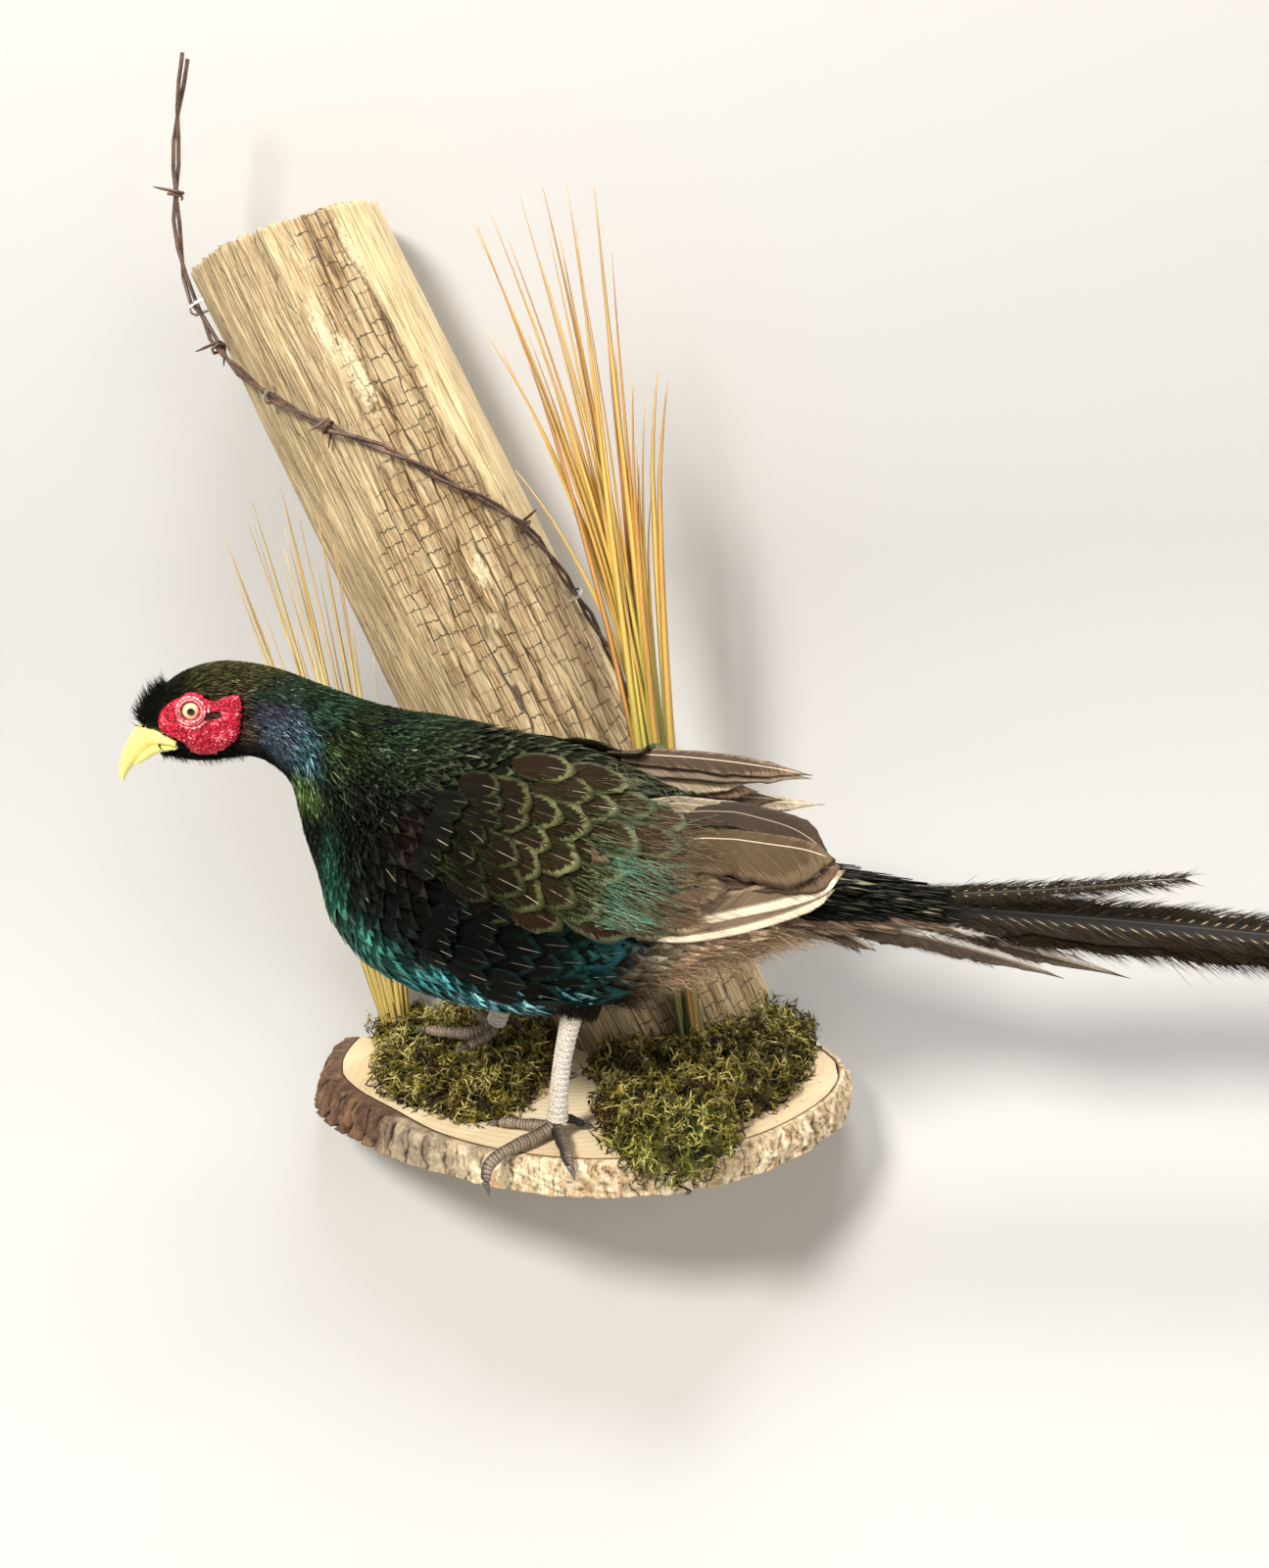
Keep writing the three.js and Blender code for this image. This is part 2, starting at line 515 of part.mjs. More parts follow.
/** The post's core at s along it; the planed back is as wide at the top as at the foot. */
const postCore = (s) => V(POST_FOOT_X, POST_FLAT - postRadius(s), 0).addScaledVector(POST_AXIS, s);
const alongPost = (point) => point.clone().sub(V(POST_FOOT_X, 0, 0)).dot(POST_AXIS);
const lumps = (angle) => 1 + 0.018 * Math.sin(3 * angle + 0.6) + 0.012 * Math.sin(5 * angle + 2);

/** A point on the post: s along it, angle from the front towards its right, lift off its surface. */
function onPost(s, angle, lift = 0) {
  const r = postRadius(s) * lumps(angle) + lift;
  return postCore(s)
    .addScaledVector(POST_RIGHT, r * Math.sin(angle))
    .addScaledVector(POST_FRONT, r * Math.cos(angle));
}
const POST_SIDES = 24;
function postBody(grow) {
  return solid(loft([-60, 100, 240, 380, POST_LENGTH].map((s) => Array.from(
    { length: POST_SIDES },
    (_, i) => {
      const angle = (i / POST_SIDES) * 2 * Math.PI;
      const sawn = s === POST_LENGTH ? 5 * Math.cos(angle + 1.4) + grow : 0;
      return onPost(s + sawn, angle, grow);
    },
  ))));
}
const aboveSlice = solid(box(V(-900, -900, GAP), V(900, 900, 900)));

// The hanger: a toothed strip in a shallow slot across the back, held by two nails.
const HANGER = { along: 400, length: 42, height: 14, thick: 1.2, slot: 3.4 };
const hangerMiddle = postCore(HANGER.along);
const acrossPost = (shape) => shape.translate(hangerMiddle.x, 0, hangerMiddle.z);
const slotBox = acrossPost(box(
  V(-HANGER.length / 2 - 3, -HANGER.slot, -HANGER.height / 2 - 2),
  V(HANGER.length / 2 + 3, 20, HANGER.height / 2 + 2),
));
function hangerStrip() {
  const [half, high] = [HANGER.length / 2, HANGER.height / 2];
  const teeth = Array.from({ length: 7 }, (_, i) => [[-9 + i * 3, -high], [-7.5 + i * 3, -high + 1.8]]);
  const shape = new THREE.Shape([
    [-half, -high], ...teeth.flat().slice(0, -1), [half, -high],
    [half, high * 0.4], [12, high], [-12, high], [-half, high * 0.4],
  ].map(([x, z]) => new THREE.Vector2(x, z)));
  const strip = new THREE.ExtrudeGeometry(shape, { depth: HANGER.thick, bevelEnabled: false });
  return acrossPost(strip.rotateX(Math.PI / 2).translate(0, -HANGER.slot + HANGER.thick + 1.2, 0));
}
const nail = (x, grow) => acrossPost(new THREE.CylinderGeometry(1.1 + grow, 1.1 + grow, 16 + grow, 8)
  .translate(x, -HANGER.slot + 0.9 - 8 - grow / 2, 0));
const NAIL_X = [-17, 17];
let post = postBody(0).intersect(inTheRoom).intersect(aboveSlice).subtract(solid(slotBox));
let hanger = solid(hangerStrip());
NAIL_X.forEach((x, i) => {
  post = post.subtract(solid(nail(x, GAP)));
  hanger = hanger.subtract(solid(nail(x, GAP)));
  add(`hanger_nail_${i + 1}`, nail(x, 0), COLOURS.zinc, 0.8);
});
add('hanger', largest(hanger), COLOURS.zinc, 0.8);

// ---- barbed wire: a twisted pair wrapped across the post, with barbs and staples --------------------

// The route: [s along the post, degrees round it, lift of the pair's centreline].
const PAIR_LIFT = STRAND_OFFSET + STRAND_RADIUS + 0.6;
const WRAP = [
  [499, -80, 2.5], [478, -70, 1], [462, -64, 1.8], [430, -40, 0], [394, -6, 1.8], [369, 16, 0], [341, 36, 0],
  [302, 65, 1.8], [255, 88, 0], [215, 112, 0], [150, 124, 0], [90, 112, 0], [46, 84, 1.8], [30, 78, 1.8],
];
const FREE_END = [V(-190, -58, 563), V(-199, -58, 530), V(-204, -58, 500), V(-207, -58, 474)];
const degrees = THREE.MathUtils.degToRad;
const wirePath = new THREE.CatmullRomCurve3([
  ...FREE_END,
  ...WRAP.map(([s, angle, lift]) => onPost(s, degrees(angle), PAIR_LIFT + lift)),
], false, 'centripetal');
const wireLength = wirePath.getLength();

/** A frame on the wire at a share of its length: its place, its direction, and out from the post. */
function wireFrame(share) {
  const along = wirePath.getTangentAt(share);
  const at = wirePath.getPointAt(share);
  const radial = at.clone().sub(postCore(alongPost(at)));
  const side = along.clone().cross(radial).normalize();
  return { at, along, side, out: side.clone().cross(along).normalize() };
}
/** A ring of points round a centre set off from the pair's middle by radius at an angle. */
function offWire(share, radius, angle) {
  const { at, side, out } = wireFrame(share);
  return at.addScaledVector(side, radius * Math.cos(angle)).addScaledVector(out, radius * Math.sin(angle));
}
const TWIST_STEPS = 5;            // steps for each full twist
const steps = Math.round((wireLength / TWIST_PITCH) * TWIST_STEPS);
const twist = (share) => (share * wireLength * 2 * Math.PI) / TWIST_PITCH;
function strand(phase, trim) {
  return loft(Array.from({ length: steps + 1 }, (_, i) => {
    const share = trim + (1 - 2 * trim) * (i / steps);
    const { side, out } = wireFrame(share);
    const middle = offWire(share, STRAND_OFFSET, twist(share) + phase);
    return oval(middle, side, STRAND_RADIUS, out, STRAND_RADIUS, 5);
  }));
}
add('wire_strand_1', strand(0, 0), COLOURS.wire, 0.5);
add('wire_strand_2', strand(Math.PI, 0.004), COLOURS.wire, 0.5);

/** A barb: a short wire coiled round the pair, with a sharp end standing out to either side. */
function barb(share, turns, lean) {
  const coil = STRAND_OFFSET + STRAND_RADIUS + GAP + BARB_RADIUS;
  const pitch = (2 * BARB_RADIUS + 0.25) / wireLength;
  const points = [];
  const count = Math.round(turns * 8);
  for (let i = 0; i <= count; i++) {
    const turn = (i / 8) * 2 * Math.PI + lean;
    points.push(offWire(share + (i / 8 - turns / 2) * pitch, coil * 1.04, turn));
  }
  const reach = (end, near) => end.clone().addScaledVector(end.clone().sub(near).normalize(), 9)
    .addScaledVector(wirePath.getPointAt(share).sub(end).normalize(), -1.5);
  points.unshift(reach(points[0], points[1]));
  points.push(reach(points.at(-1), points.at(-2)));
  const sharp = (t) => BARB_RADIUS * Math.min(1, 0.35 + 6 * Math.min(t, 1 - t));
  return tube(points, sharp, 4, Math.round(turns * 5) + 4);
}
/** The share of the wire's length that lies nearest to s along the post. */
const shareAt = (s) => {
  let best = 0;
  for (let i = 0; i <= 400; i++) {
    const miss = (share) => Math.abs(alongPost(wirePath.getPointAt(share)) - s);
    if (miss(i / 400) < miss(best)) best = i / 400;
  }
  return best;
};
// Each barb: s along the post, turns of its coil, and where the coil starts.
const BARBS = [[548, 1.5, 2.2], [462, 1.5, 2.5], [394, 1.5, 2.1], [302, 1.5, 2.7], [44, 1.5, 2.4]];
const STAPLES = [488, 424, 254, 36];

/** A fencing staple: a bent round wire over the pair, with both legs in the post. */
function staple(s, grow) {
  const share = shareAt(s);
  const { at, along } = wireFrame(share);
  const outward = at.clone().sub(postCore(s)).normalize();
  const over = outward.clone().cross(along).normalize();
  const reach = STRAND_OFFSET + STRAND_RADIUS + 1.7;
  const crown = 4.2;
  const points = [[-1, -9], [-1, 0], [-0.72, crown * 0.78], [0, crown], [0.72, crown * 0.78], [1, 0], [1, -9]]
    .map(([x, y]) => at.clone().addScaledVector(over, x * reach).addScaledVector(outward, y));
  return tube(points, () => 0.85 + grow, 4, 8);
}
BARBS.forEach(([s, turns, lean], i) => {
  add(`barb_${i + 1}`, barb(shareAt(s), turns, lean), COLOURS.wire, 0.5);
});
STAPLES.forEach((s, i) => {
  post = post.subtract(solid(staple(s, GAP)));
  add(`staple_${i + 1}`, staple(s, 0), COLOURS.zinc, 0.8);
});

// Two screws come up through the slice into the post.
const SCREWS = [[18, -54], [62, -54]];
const screw = (x, y, grow) => new THREE.LatheGeometry([
  [0, -SLICE_THICK - grow], [4.4 + grow, -SLICE_THICK - grow], [4.4 + grow, -SLICE_THICK + 0.6 + grow],
  [2.1 + grow, -SLICE_THICK + 3.4 + grow], [2.1 + grow, 16], [0, 21 + grow],
].map(([r, z]) => new THREE.Vector2(r, z)), 8).rotateX(Math.PI / 2).translate(x, y, 0);
SCREWS.forEach(([x, y], i) => {
  sliceWood = sliceWood.subtract(solid(screw(x, y, GAP)));
  post = post.subtract(solid(screw(x, y, GAP)));
  add(`screw_${i + 1}`, screw(x, y, 0), COLOURS.zinc, 0.8);
});
add('slice_wood', largest(sliceWood), COLOURS.wood);
add('post', largest(post), COLOURS.post);

// ---- moss: two cushions on the slice ----------------------------------------------------------------

const MOSS = {
  left: {
    outline: [[-152, -46], [-138, -78], [-128, -108], [-120, -140], [-109, -162], [-73, -186], [-47, -201],
      [-27, -187], [-20, -160], [-17, -124], [-30, -70], [-80, -30], [-125, -22]],
    high: 21,
  },
  right: {
    outline: [[0, -112], [12, -150], [17, -192], [27, -218], [42, -250], [61, -266], [82, -260], [92, -240],
      [90, -208], [110, -184], [124, -150], [128, -100], [123, -62], [102, -24], [70, -60]],
    high: 24,
  },
};
function mossLump(x, y) {
  const wide = 0.28 * Math.sin(x * 0.11 + 1) * Math.cos(y * 0.13);
  return 0.5 + wide + 0.22 * Math.sin(x * 0.29 + y * 0.23);
}
function cushion({ outline, high }) {
  const curve = new THREE.CatmullRomCurve3(outline.map(([x, y]) => V(x, y, 0)), true, 'centripetal');
  const total = outline.reduce((sum, [x, y]) => sum.add(V(x, y, 0)), V(0, 0, 0));
  const middle = total.divideScalar(outline.length);
  const ring = (inset, share, lump) => Array.from({ length: 22 }, (_, i) => {
    const p = curve.getPointAt(i / 22).lerp(middle, inset);
    return p.setZ(GAP + high * (share + lump * (mossLump(p.x, p.y) - 0.5)));
  });
  return solid(loft([
    ring(0.03, 0, 0), ring(0, 0.3, 0.1), ring(0.07, 0.72, 0.25),
    ring(0.24, 0.88, 0.22), ring(0.6, 0.86, 0.22),
  ]));
}

// ---- grass: two dry tufts, each a sheaf of blades joined at a tied root -----------------------------

/** One blade: a three-sided sliver along a bowed curve from the root to the tip. */
function blade(root, tip, bow, width) {
  const middle = root.clone().lerp(tip, 0.45).add(bow);
  const curve = new THREE.QuadraticBezierCurve3(root, middle, tip);
  return loft([0, 0.35, 0.7, 1].map((t) => {
    const half = (width / 2) * (1 - 0.72 * t ** 1.5);
    const along = curve.getTangent(t);
    const across = along.clone().cross(V(0, -1, 0)).normalize();
    return oval(curve.getPoint(t), across, half, V(0, -1, 0), half * 0.7, 3);
  }));
}
function tuft({ root, neck, radius, blades }) {
  const lean = neck.clone().sub(root);
  const sheath = loft([0, 0.5, 1].map((t) => oval(
    root.clone().addScaledVector(lean, t), V(1, 0, 0), radius * (1 - 0.12 * t),
    V(0, 1, 0), radius * (0.9 - 0.12 * t), 7)));
  return joined([sheath, ...blades]);
}
// Blades fan from the sheath: tips at [x, z] in order from left to right.
const LEFT_TIPS = [
  [-196, 308], [-186, 314], [-176, 322], [-168, 298], [-160, 330], [-150, 326], [-143, 300], [-136, 322],
  [-128, 318], [-118, 300], [-108, 262],
];
const RIGHT_TIPS = [
  [-34, 462], [-30, 402], [-24, 470], [-14, 452], [-6, 474], [0, 440], [8, 476], [14, 452], [22, 476],
  [27, 430], [33, 474], [38, 398], [42, 440], [48, 376], [53, 366], [58, 380],
];
const LEFT_ROOT = V(-119, -88, 1);
const LEFT_NECK = V(-124, -86, 34);
const RIGHT_ROOT = V(63, -128, 1);
const RIGHT_NECK = V(48, -106, 182);
// The blades on the right of the left tuft pass in front of the post.
const leftTipY = (i) => -70 + 6 * Math.sin(i * 1.7) - 44 * THREE.MathUtils.smoothstep(i, 4, 6);
const leftTuft = () => tuft({
  root: LEFT_ROOT, neck: LEFT_NECK, radius: 6.5,
  blades: LEFT_TIPS.map(([x, z], i) => blade(
    LEFT_ROOT.clone().lerp(LEFT_NECK, 0.2).add(V(-4 + 0.8 * i, 2.6 * Math.sin(i * 2.1), 0)),
    V(x, leftTipY(i), z), V(12 - i, 0, 0), 2.4)),
});
const rightTuft = () => tuft({
  root: RIGHT_ROOT, neck: RIGHT_NECK, radius: 6.6,
  blades: RIGHT_TIPS.map(([x, z], i) => blade(
    RIGHT_ROOT.clone().lerp(RIGHT_NECK, 0.85).add(V(-4.4 + 0.55 * i, 2.4 * Math.sin(i * 2.3), 0)),
    V(x, -88 + 8 * Math.sin(i * 1.9), z), V(1 + i * 0.5, 1, 0), 2.8)),
});
add('grass_left', leftTuft(), COLOURS.grass);
add('grass_right', rightTuft(), COLOURS.grass);

// The moss is cut clear of the post and of the sheaths that stand in it.
const sheathSpace = (root, radius) => solid(new THREE.CylinderGeometry(radius, radius, 90, 12)
  .rotateX(Math.PI / 2).translate(root.x, root.y, 44));
const postGrown = postBody(GAP);
const mossLeft = cushion(MOSS.left).subtract(postGrown).subtract(sheathSpace(LEFT_ROOT, 10));
const mossRight = cushion(MOSS.right).subtract(postGrown).subtract(sheathSpace(RIGHT_ROOT, 11));
add('moss_left', largest(mossLeft), COLOURS.moss);
add('moss_right', largest(mossRight), COLOURS.moss);

// ---- the object's frame: its origin is the middle of the post's planed back ------------------------

const postMiddle = postCore(POST_LENGTH / 2);
display.position.set(-postMiddle.x, 0, -postMiddle.z);

export default display;
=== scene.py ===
"""A dark-plumaged cock pheasant on a slice of log with a leaning fence post, hung on a wall.

Lengths are millimetres in the slice's own frame until a piece is made: x runs to the tail, y to the
wall, z up, and zero is on top of the slice, at the wall.
"""

import json
import math

import bmesh
import bpy
import numpy as np
from mathutils import Matrix, Vector
from mathutils.bvhtree import BVHTree

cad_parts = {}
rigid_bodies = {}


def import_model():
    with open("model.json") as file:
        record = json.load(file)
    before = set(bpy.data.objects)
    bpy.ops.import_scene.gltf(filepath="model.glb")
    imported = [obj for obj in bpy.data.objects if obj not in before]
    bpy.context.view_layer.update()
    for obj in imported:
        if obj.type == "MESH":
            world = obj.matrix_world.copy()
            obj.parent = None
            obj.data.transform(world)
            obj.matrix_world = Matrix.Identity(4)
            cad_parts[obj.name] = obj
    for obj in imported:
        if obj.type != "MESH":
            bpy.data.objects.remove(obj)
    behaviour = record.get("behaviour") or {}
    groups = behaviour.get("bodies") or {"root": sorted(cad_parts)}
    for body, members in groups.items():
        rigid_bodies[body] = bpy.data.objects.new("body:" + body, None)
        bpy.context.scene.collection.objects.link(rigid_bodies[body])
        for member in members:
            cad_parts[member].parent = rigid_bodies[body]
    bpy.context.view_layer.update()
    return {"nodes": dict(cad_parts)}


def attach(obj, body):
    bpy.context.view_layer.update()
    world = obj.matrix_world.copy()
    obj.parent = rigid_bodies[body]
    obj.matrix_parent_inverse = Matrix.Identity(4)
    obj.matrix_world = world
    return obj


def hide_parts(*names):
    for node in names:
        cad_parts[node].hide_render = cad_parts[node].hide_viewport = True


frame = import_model()

MM = 0.001
WALL_MARK = np.array([-54.46, 0.0, 231.47])      # the frame's origin, on the post's planed back
UP = np.array([0.0, 0.0, 1.0])
BODY_Y = -182.0                                  # the bird's middle plane behind the neck
TURN = 2 * math.pi                               # a full turn in radians
NEAR, FAR = -1, 1                                # the bird's left side faces the room
SIDE_NAMES = {NEAR: "left", FAR: "right"}


# ---- numbers --------------------------------------------------------------------------------------

def smooth(value, low, high):
    """0 below low, 1 above high, and an even slope between them."""
    share = np.clip((np.asarray(value, float) - low) / (high - low), 0, 1)
    return share * share * (3 - 2 * share)


def unit(vectors):
    return vectors / np.maximum(np.linalg.norm(vectors, axis=-1, keepdims=True), 1e-9)


def lerp(a, b, share):
    return a + (b - a) * share


def through(points, t):
    """Places on a centripetal curve through points; t counts the points from 0."""
    p = np.asarray(points, float)
    t = np.asarray(t, float)
    i = np.clip(np.floor(t).astype(int), 0, len(p) - 2)
    w = (t - i)[..., None]
    p = np.concatenate([[2 * p[0] - p[1]], p, [2 * p[-1] - p[-2]]])
    a, b, c, d = p[i], p[i + 1], p[i + 2], p[i + 3]
    gap = [np.maximum(np.linalg.norm(q - o, axis=-1, keepdims=True) ** 0.5, 1e-3)
           for o, q in ((a, b), (b, c), (c, d))]
    leave = ((b - a) / gap[0] - (c - a) / (gap[0] + gap[1]) + (c - b) / gap[1]) * gap[1]
    reach = ((c - b) / gap[1] - (d - b) / (gap[1] + gap[2]) + (d - c) / gap[2]) * gap[1]
    return b + leave * w + (3 * (c - b) - 2 * leave - reach) * w ** 2 + (2 * (b - c) + leave + reach) * w ** 3


def running_length(line):
    """The length along a line of points, up to each of them."""
    return np.concatenate([[0], np.cumsum(np.linalg.norm(np.diff(line, axis=0), axis=1))])


def evenly(points, count, closed=False):
    """count places at even distances along a curve through points."""
    p = np.asarray(points, float)
    if closed:
        p = np.concatenate([p[-1:], p, p[:2]])
    first, last = (1, len(p) - 2) if closed else (0, len(p) - 1)
    fine = through(p, np.linspace(first, last, 40 * len(p)))
    run = running_length(fine)
    at = np.linspace(0, run[-1], count, endpoint=not closed)
    return np.stack([np.interp(at, run, fine[:, k]) for k in range(fine.shape[1])], axis=1)


def tint(code):
    """A colour in linear light from its six-digit code."""
    share = np.array([int(code[i:i + 2], 16) for i in (0, 2, 4)]) / 255
    return np.where(share < 0.04045, share / 12.92, ((share + 0.055) / 1.055) ** 2.4)


def ripple(points, size, seed):
    """Smooth random values from -1 to 1 over points, about size long."""
    draw = np.random.default_rng(seed)
    total = 0
    for _ in range(7):
        way = unit(draw.normal(size=3)) * draw.uniform(0.6, 1.6) * TURN / size
        total = total + np.sin(np.asarray(points) @ way + draw.uniform(0, 6.28))
    return total / 3.4


def framed(points):
    """Millimetres in the slice's frame as metres in the object's own."""
    return (points - WALL_MARK) * MM


def sliced(points):
    """Metres in the object's own frame as millimetres in the slice's."""
    return points / MM + WALL_MARK


def varied(draw, size, by):
    """Random factors about 1, most of them within a share by of it."""
    return np.exp(draw.normal(size=size) * by)


# ---- meshes ---------------------------------------------------------------------------------------

ATTRIBUTE_KINDS = {1: ("FLOAT", "value"), 3: ("FLOAT_VECTOR", "vector"), 4: ("FLOAT_COLOR", "color")}


def add_attribute(mesh, key, values):
    """A value, a vector or a colour for each point of a mesh."""
    kind, field = ATTRIBUTE_KINDS[1 if values.ndim == 1 else values.shape[1]]
    mesh.attributes.new(key, kind, "POINT").data.foreach_set(field, values.astype(np.float32).ravel())


def make_mesh(name, points, faces, uvs=None, attributes=None):
    """A mesh from points in millimetres and arrays of faces, each array with one corner count."""
    mesh = bpy.data.meshes.new(name)
    corners = np.concatenate([f.ravel() for f in faces]).astype(np.int32)
    counts = np.concatenate([np.full(len(f), f.shape[1]) for f in faces])
    starts = np.concatenate([[0], np.cumsum(counts)[:-1]]).astype(np.int32)
    mesh.vertices.add(len(points))
    mesh.vertices.foreach_set("co", framed(points).astype(np.float32).ravel())
    mesh.loops.add(len(corners))
    mesh.loops.foreach_set("vertex_index", corners)
    mesh.polygons.add(len(counts))
    mesh.polygons.foreach_set("loop_start", starts)
    mesh.update(calc_edges=True)
    for key, uv in (uvs or {}).items():
        mesh.uv_layers.new(name=key).data.foreach_set("uv", uv[corners].astype(np.float32).ravel())
    for key, values in (attributes or {}).items():
        add_attribute(mesh, key, values)
    mesh.validate()
    return mesh


def stand(name, data):
    """A new object in the scene that holds a mesh, a light or a camera."""
    holder = bpy.data.objects.new(name, data)
    bpy.context.scene.collection.objects.link(holder)
    return holder


def stand_finished(name, mesh, material):
    """A new object with smooth faces and one material."""
    mesh.polygons.foreach_set("use_smooth", [True] * len(mesh.polygons))
    mesh.materials.clear()
    mesh.materials.append(material)
    return stand(name, mesh)


def place(name, mesh, material, replaces=()):
    """Puts a finished mesh in the scene as a piece of the object."""
    piece = stand_finished(name, mesh, material)
    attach(piece, "root")
    if replaces:
        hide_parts(*replaces)


def place_part(name, part, finish, replaces=()):
    """Puts a part, a dict of points, faces, uvs and attributes, in the scene as a piece."""
    place(name, make_mesh(name, **part), finish, replaces)


def turn_out(mesh):
    """Turns a closed mesh's faces outwards if its volume comes out negative."""
    shape = bmesh.new()
    shape.from_mesh(mesh)
    if shape.calc_volume(signed=True) < 0:
        bmesh.ops.reverse_faces(shape, faces=shape.faces[:])
        shape.to_mesh(mesh)
    shape.free()


def place_solid(name, mesh, finish, replaces):
    """Puts a closed mesh in the scene as a piece, with its faces turned outwards."""
    turn_out(mesh)
    place(name, mesh, finish, replaces)


def join_parts(parts):
    """Stacks parts, each a dict of points, faces, uvs and attributes, into one such dict."""
    shift = np.cumsum([0] + [len(p["points"]) for p in parts[:-1]])
    widths = sorted({f.shape[1] for p in parts for f in p["faces"]})
    return {
        "points": np.concatenate([p["points"] for p in parts]),
        "faces": [np.concatenate([f + s for p, s in zip(parts, shift) for f in p["faces"] if f.shape[1] == w])
                  for w in widths],
        "uvs": {k: np.concatenate([p["uvs"][k] for p in parts]) for k in parts[0].get("uvs", {})},
        "attributes": {k: np.concatenate([p["attributes"][k] for p in parts])
                       for k in parts[0].get("attributes", {})},
    }


def grid_faces(rows, columns, closed=False):
    """Faces of a grid of points; a closed grid joins its last column to its first."""
    r = np.arange(rows - 1)[:, None]
    c = np.arange(columns if closed else columns - 1)[None, :]
    n = (c + 1) % columns
    return np.stack([r * columns + c, r * columns + n, (r + 1) * columns + n, (r + 1) * columns + c],
                    axis=-1).reshape(-1, 4)


def capped_faces(rows, columns):
    """Faces of a closed grid with a flat cap on its first row and its last."""
    ring = np.arange(columns)
    return [grid_faces(rows, columns, closed=True), ring[::-1][None], ((rows - 1) * columns + ring)[None]]


def tube_part(line, radius, sides, across=None, flat=1.0, lift=None):
    """A closed tube along line: radius for each point, flat squashes it along its own up, and
    lift(angle) swells it round its section.
    """
    line = np.asarray(line, float)
    radius = np.broadcast_to(radius, len(line))
    along = unit(np.gradient(line, axis=0))
    if across is None:
        side = np.cross(along[0], UP if abs(along[0][2]) < 0.9 else [1.0, 0, 0])
        frames = []
        for way in along:
            side = unit(side - way * (side @ way))
            frames.append(side)
        side = np.array(frames)
    else:
        side = unit(np.cross(np.cross(along, across), along))
    up = np.cross(side, along)
    angle = np.linspace(0, TURN, sides, endpoint=False)
    ring = (np.cos(angle)[None, :, None] * side[:, None] + flat * np.sin(angle)[None, :, None] * up[:, None])
    swell = 1.0 if lift is None else lift(angle[None, :])
    points = (line[:, None]
              + ring * radius[:, None, None] * np.broadcast_to(swell, (len(line), sides))[..., None])
    lay = [np.tile(angle, len(line)), np.repeat(running_length(line), sides), np.zeros(len(line) * sides)]
    return {
        "points": points.reshape(-1, 3),
        "faces": [f[:, ::-1] for f in capped_faces(len(line), sides)],
        "uvs": {},
        "attributes": {"lay": np.stack(lay, axis=1)},
    }


# ---- the camera, the light and the floor ----------------------------------------------------------

CAMERA_AT = np.array([192.9, -1033.2, 394.6])
CAMERA_RIGHT = (0.986409, 0.149723, -0.067684)
CAMERA_UP = (0.028533, 0.249586, 0.967932)
CAMERA_LENS, CAMERA_SENSOR = 40.5, 36


def make_camera():
    camera = stand("camera", bpy.data.cameras.new("camera"))
    right, up = Vector(CAMERA_RIGHT), Vector(CAMERA_UP)
    turn = Matrix((right, up, right.cross(up))).transposed().to_4x4()
    camera.matrix_world = Matrix.Translation(framed(CAMERA_AT)) @ turn
    camera.data.lens = CAMERA_LENS
    camera.data.sensor_width = CAMERA_SENSOR
    bpy.context.scene.camera = camera


SKY_COLOUR, SKY_STRENGTH = (1.0, 0.98, 0.95, 1), 0.5
# Each light: its place, what it looks at, its size, power and colour.
LIGHTS = {
    "key": ((-0.7, -1.7, 1.5), (0.15, -0.15, 0.0), 0.6, 70, (1.0, 0.97, 0.92)),
    "fill": ((1.7, -1.5, 0.5), (0.2, -0.1, 0.0), 1.2, 16, (1.0, 0.98, 0.96)),
    "top": ((0.3, -0.35, 1.7), (0.2, -0.15, 0.0), 0.7, 24, (1, 1, 1)),
    "behind": ((0.4, 1.5, 0.9), (0.2, 0.0, 0.0), 1.0, 18, (1, 1, 1)),
}


def area_light(name, at, towards, size, power, colour):
    lamp = bpy.data.lights.new(name, "AREA")
    lamp.shape, lamp.size, lamp.energy, lamp.color = "DISK", size, power, colour
    holder = stand(name, lamp)
    holder.location = at
    holder.rotation_euler = (Vector(towards) - Vector(at)).to_track_quat("-Z", "Y").to_euler()


FLOOR_Z = -0.46
WALL_Y = 0.0035
COVE = 0.5                                       # radius of the sweep between wall and floor
WALL_TOP, ROOM_REACH = 3.0, 4.0                  # metres the backdrop reaches up, and out and to each side


def make_stage(finish):
    """A pale wall that sweeps down into a pale floor; it shows only from the room's side."""
    bend = [(WALL_Y - COVE * (1 - math.cos(a)), FLOOR_Z + COVE * (1 - math.sin(a)))
            for a in np.linspace(0, math.pi / 2, 24)]
    profile = [(WALL_Y, WALL_TOP), *bend, (-ROOM_REACH, FLOOR_Z)]
    points = np.array([[x, y, z] for y, z in profile for x in (-ROOM_REACH, ROOM_REACH)])
    mesh = make_mesh("backdrop", sliced(points), [grid_faces(len(profile), 2)[:, ::-1]])
    backdrop = stand_finished("backdrop", mesh, finish)


def light_studio():
    scene = bpy.context.scene
    scene.view_settings.view_transform = "Standard"
    world = bpy.data.worlds.new("studio")
    world.use_nodes = True
    sky = world.node_tree.nodes["Background"].inputs
    sky["Color"].default_value, sky["Strength"].default_value = SKY_COLOUR, SKY_STRENGTH
    scene.world = world
    for name, light in LIGHTS.items():
        area_light(name, *light)


# ---- finishes -------------------------------------------------------------------------------------

def add_node(tree, kind, inputs, **settings):
    """A new node with its settings, and with sockets or plain values at its inputs."""
    made = tree.nodes.new(kind)
    for name, value in settings.items():
        setattr(made, name, value)
    for key, value in dict(inputs).items():
        if isinstance(value, bpy.types.NodeSocket):
            tree.links.new(value, made.inputs[key])
        else:
            made.inputs[key].default_value = value
    return made


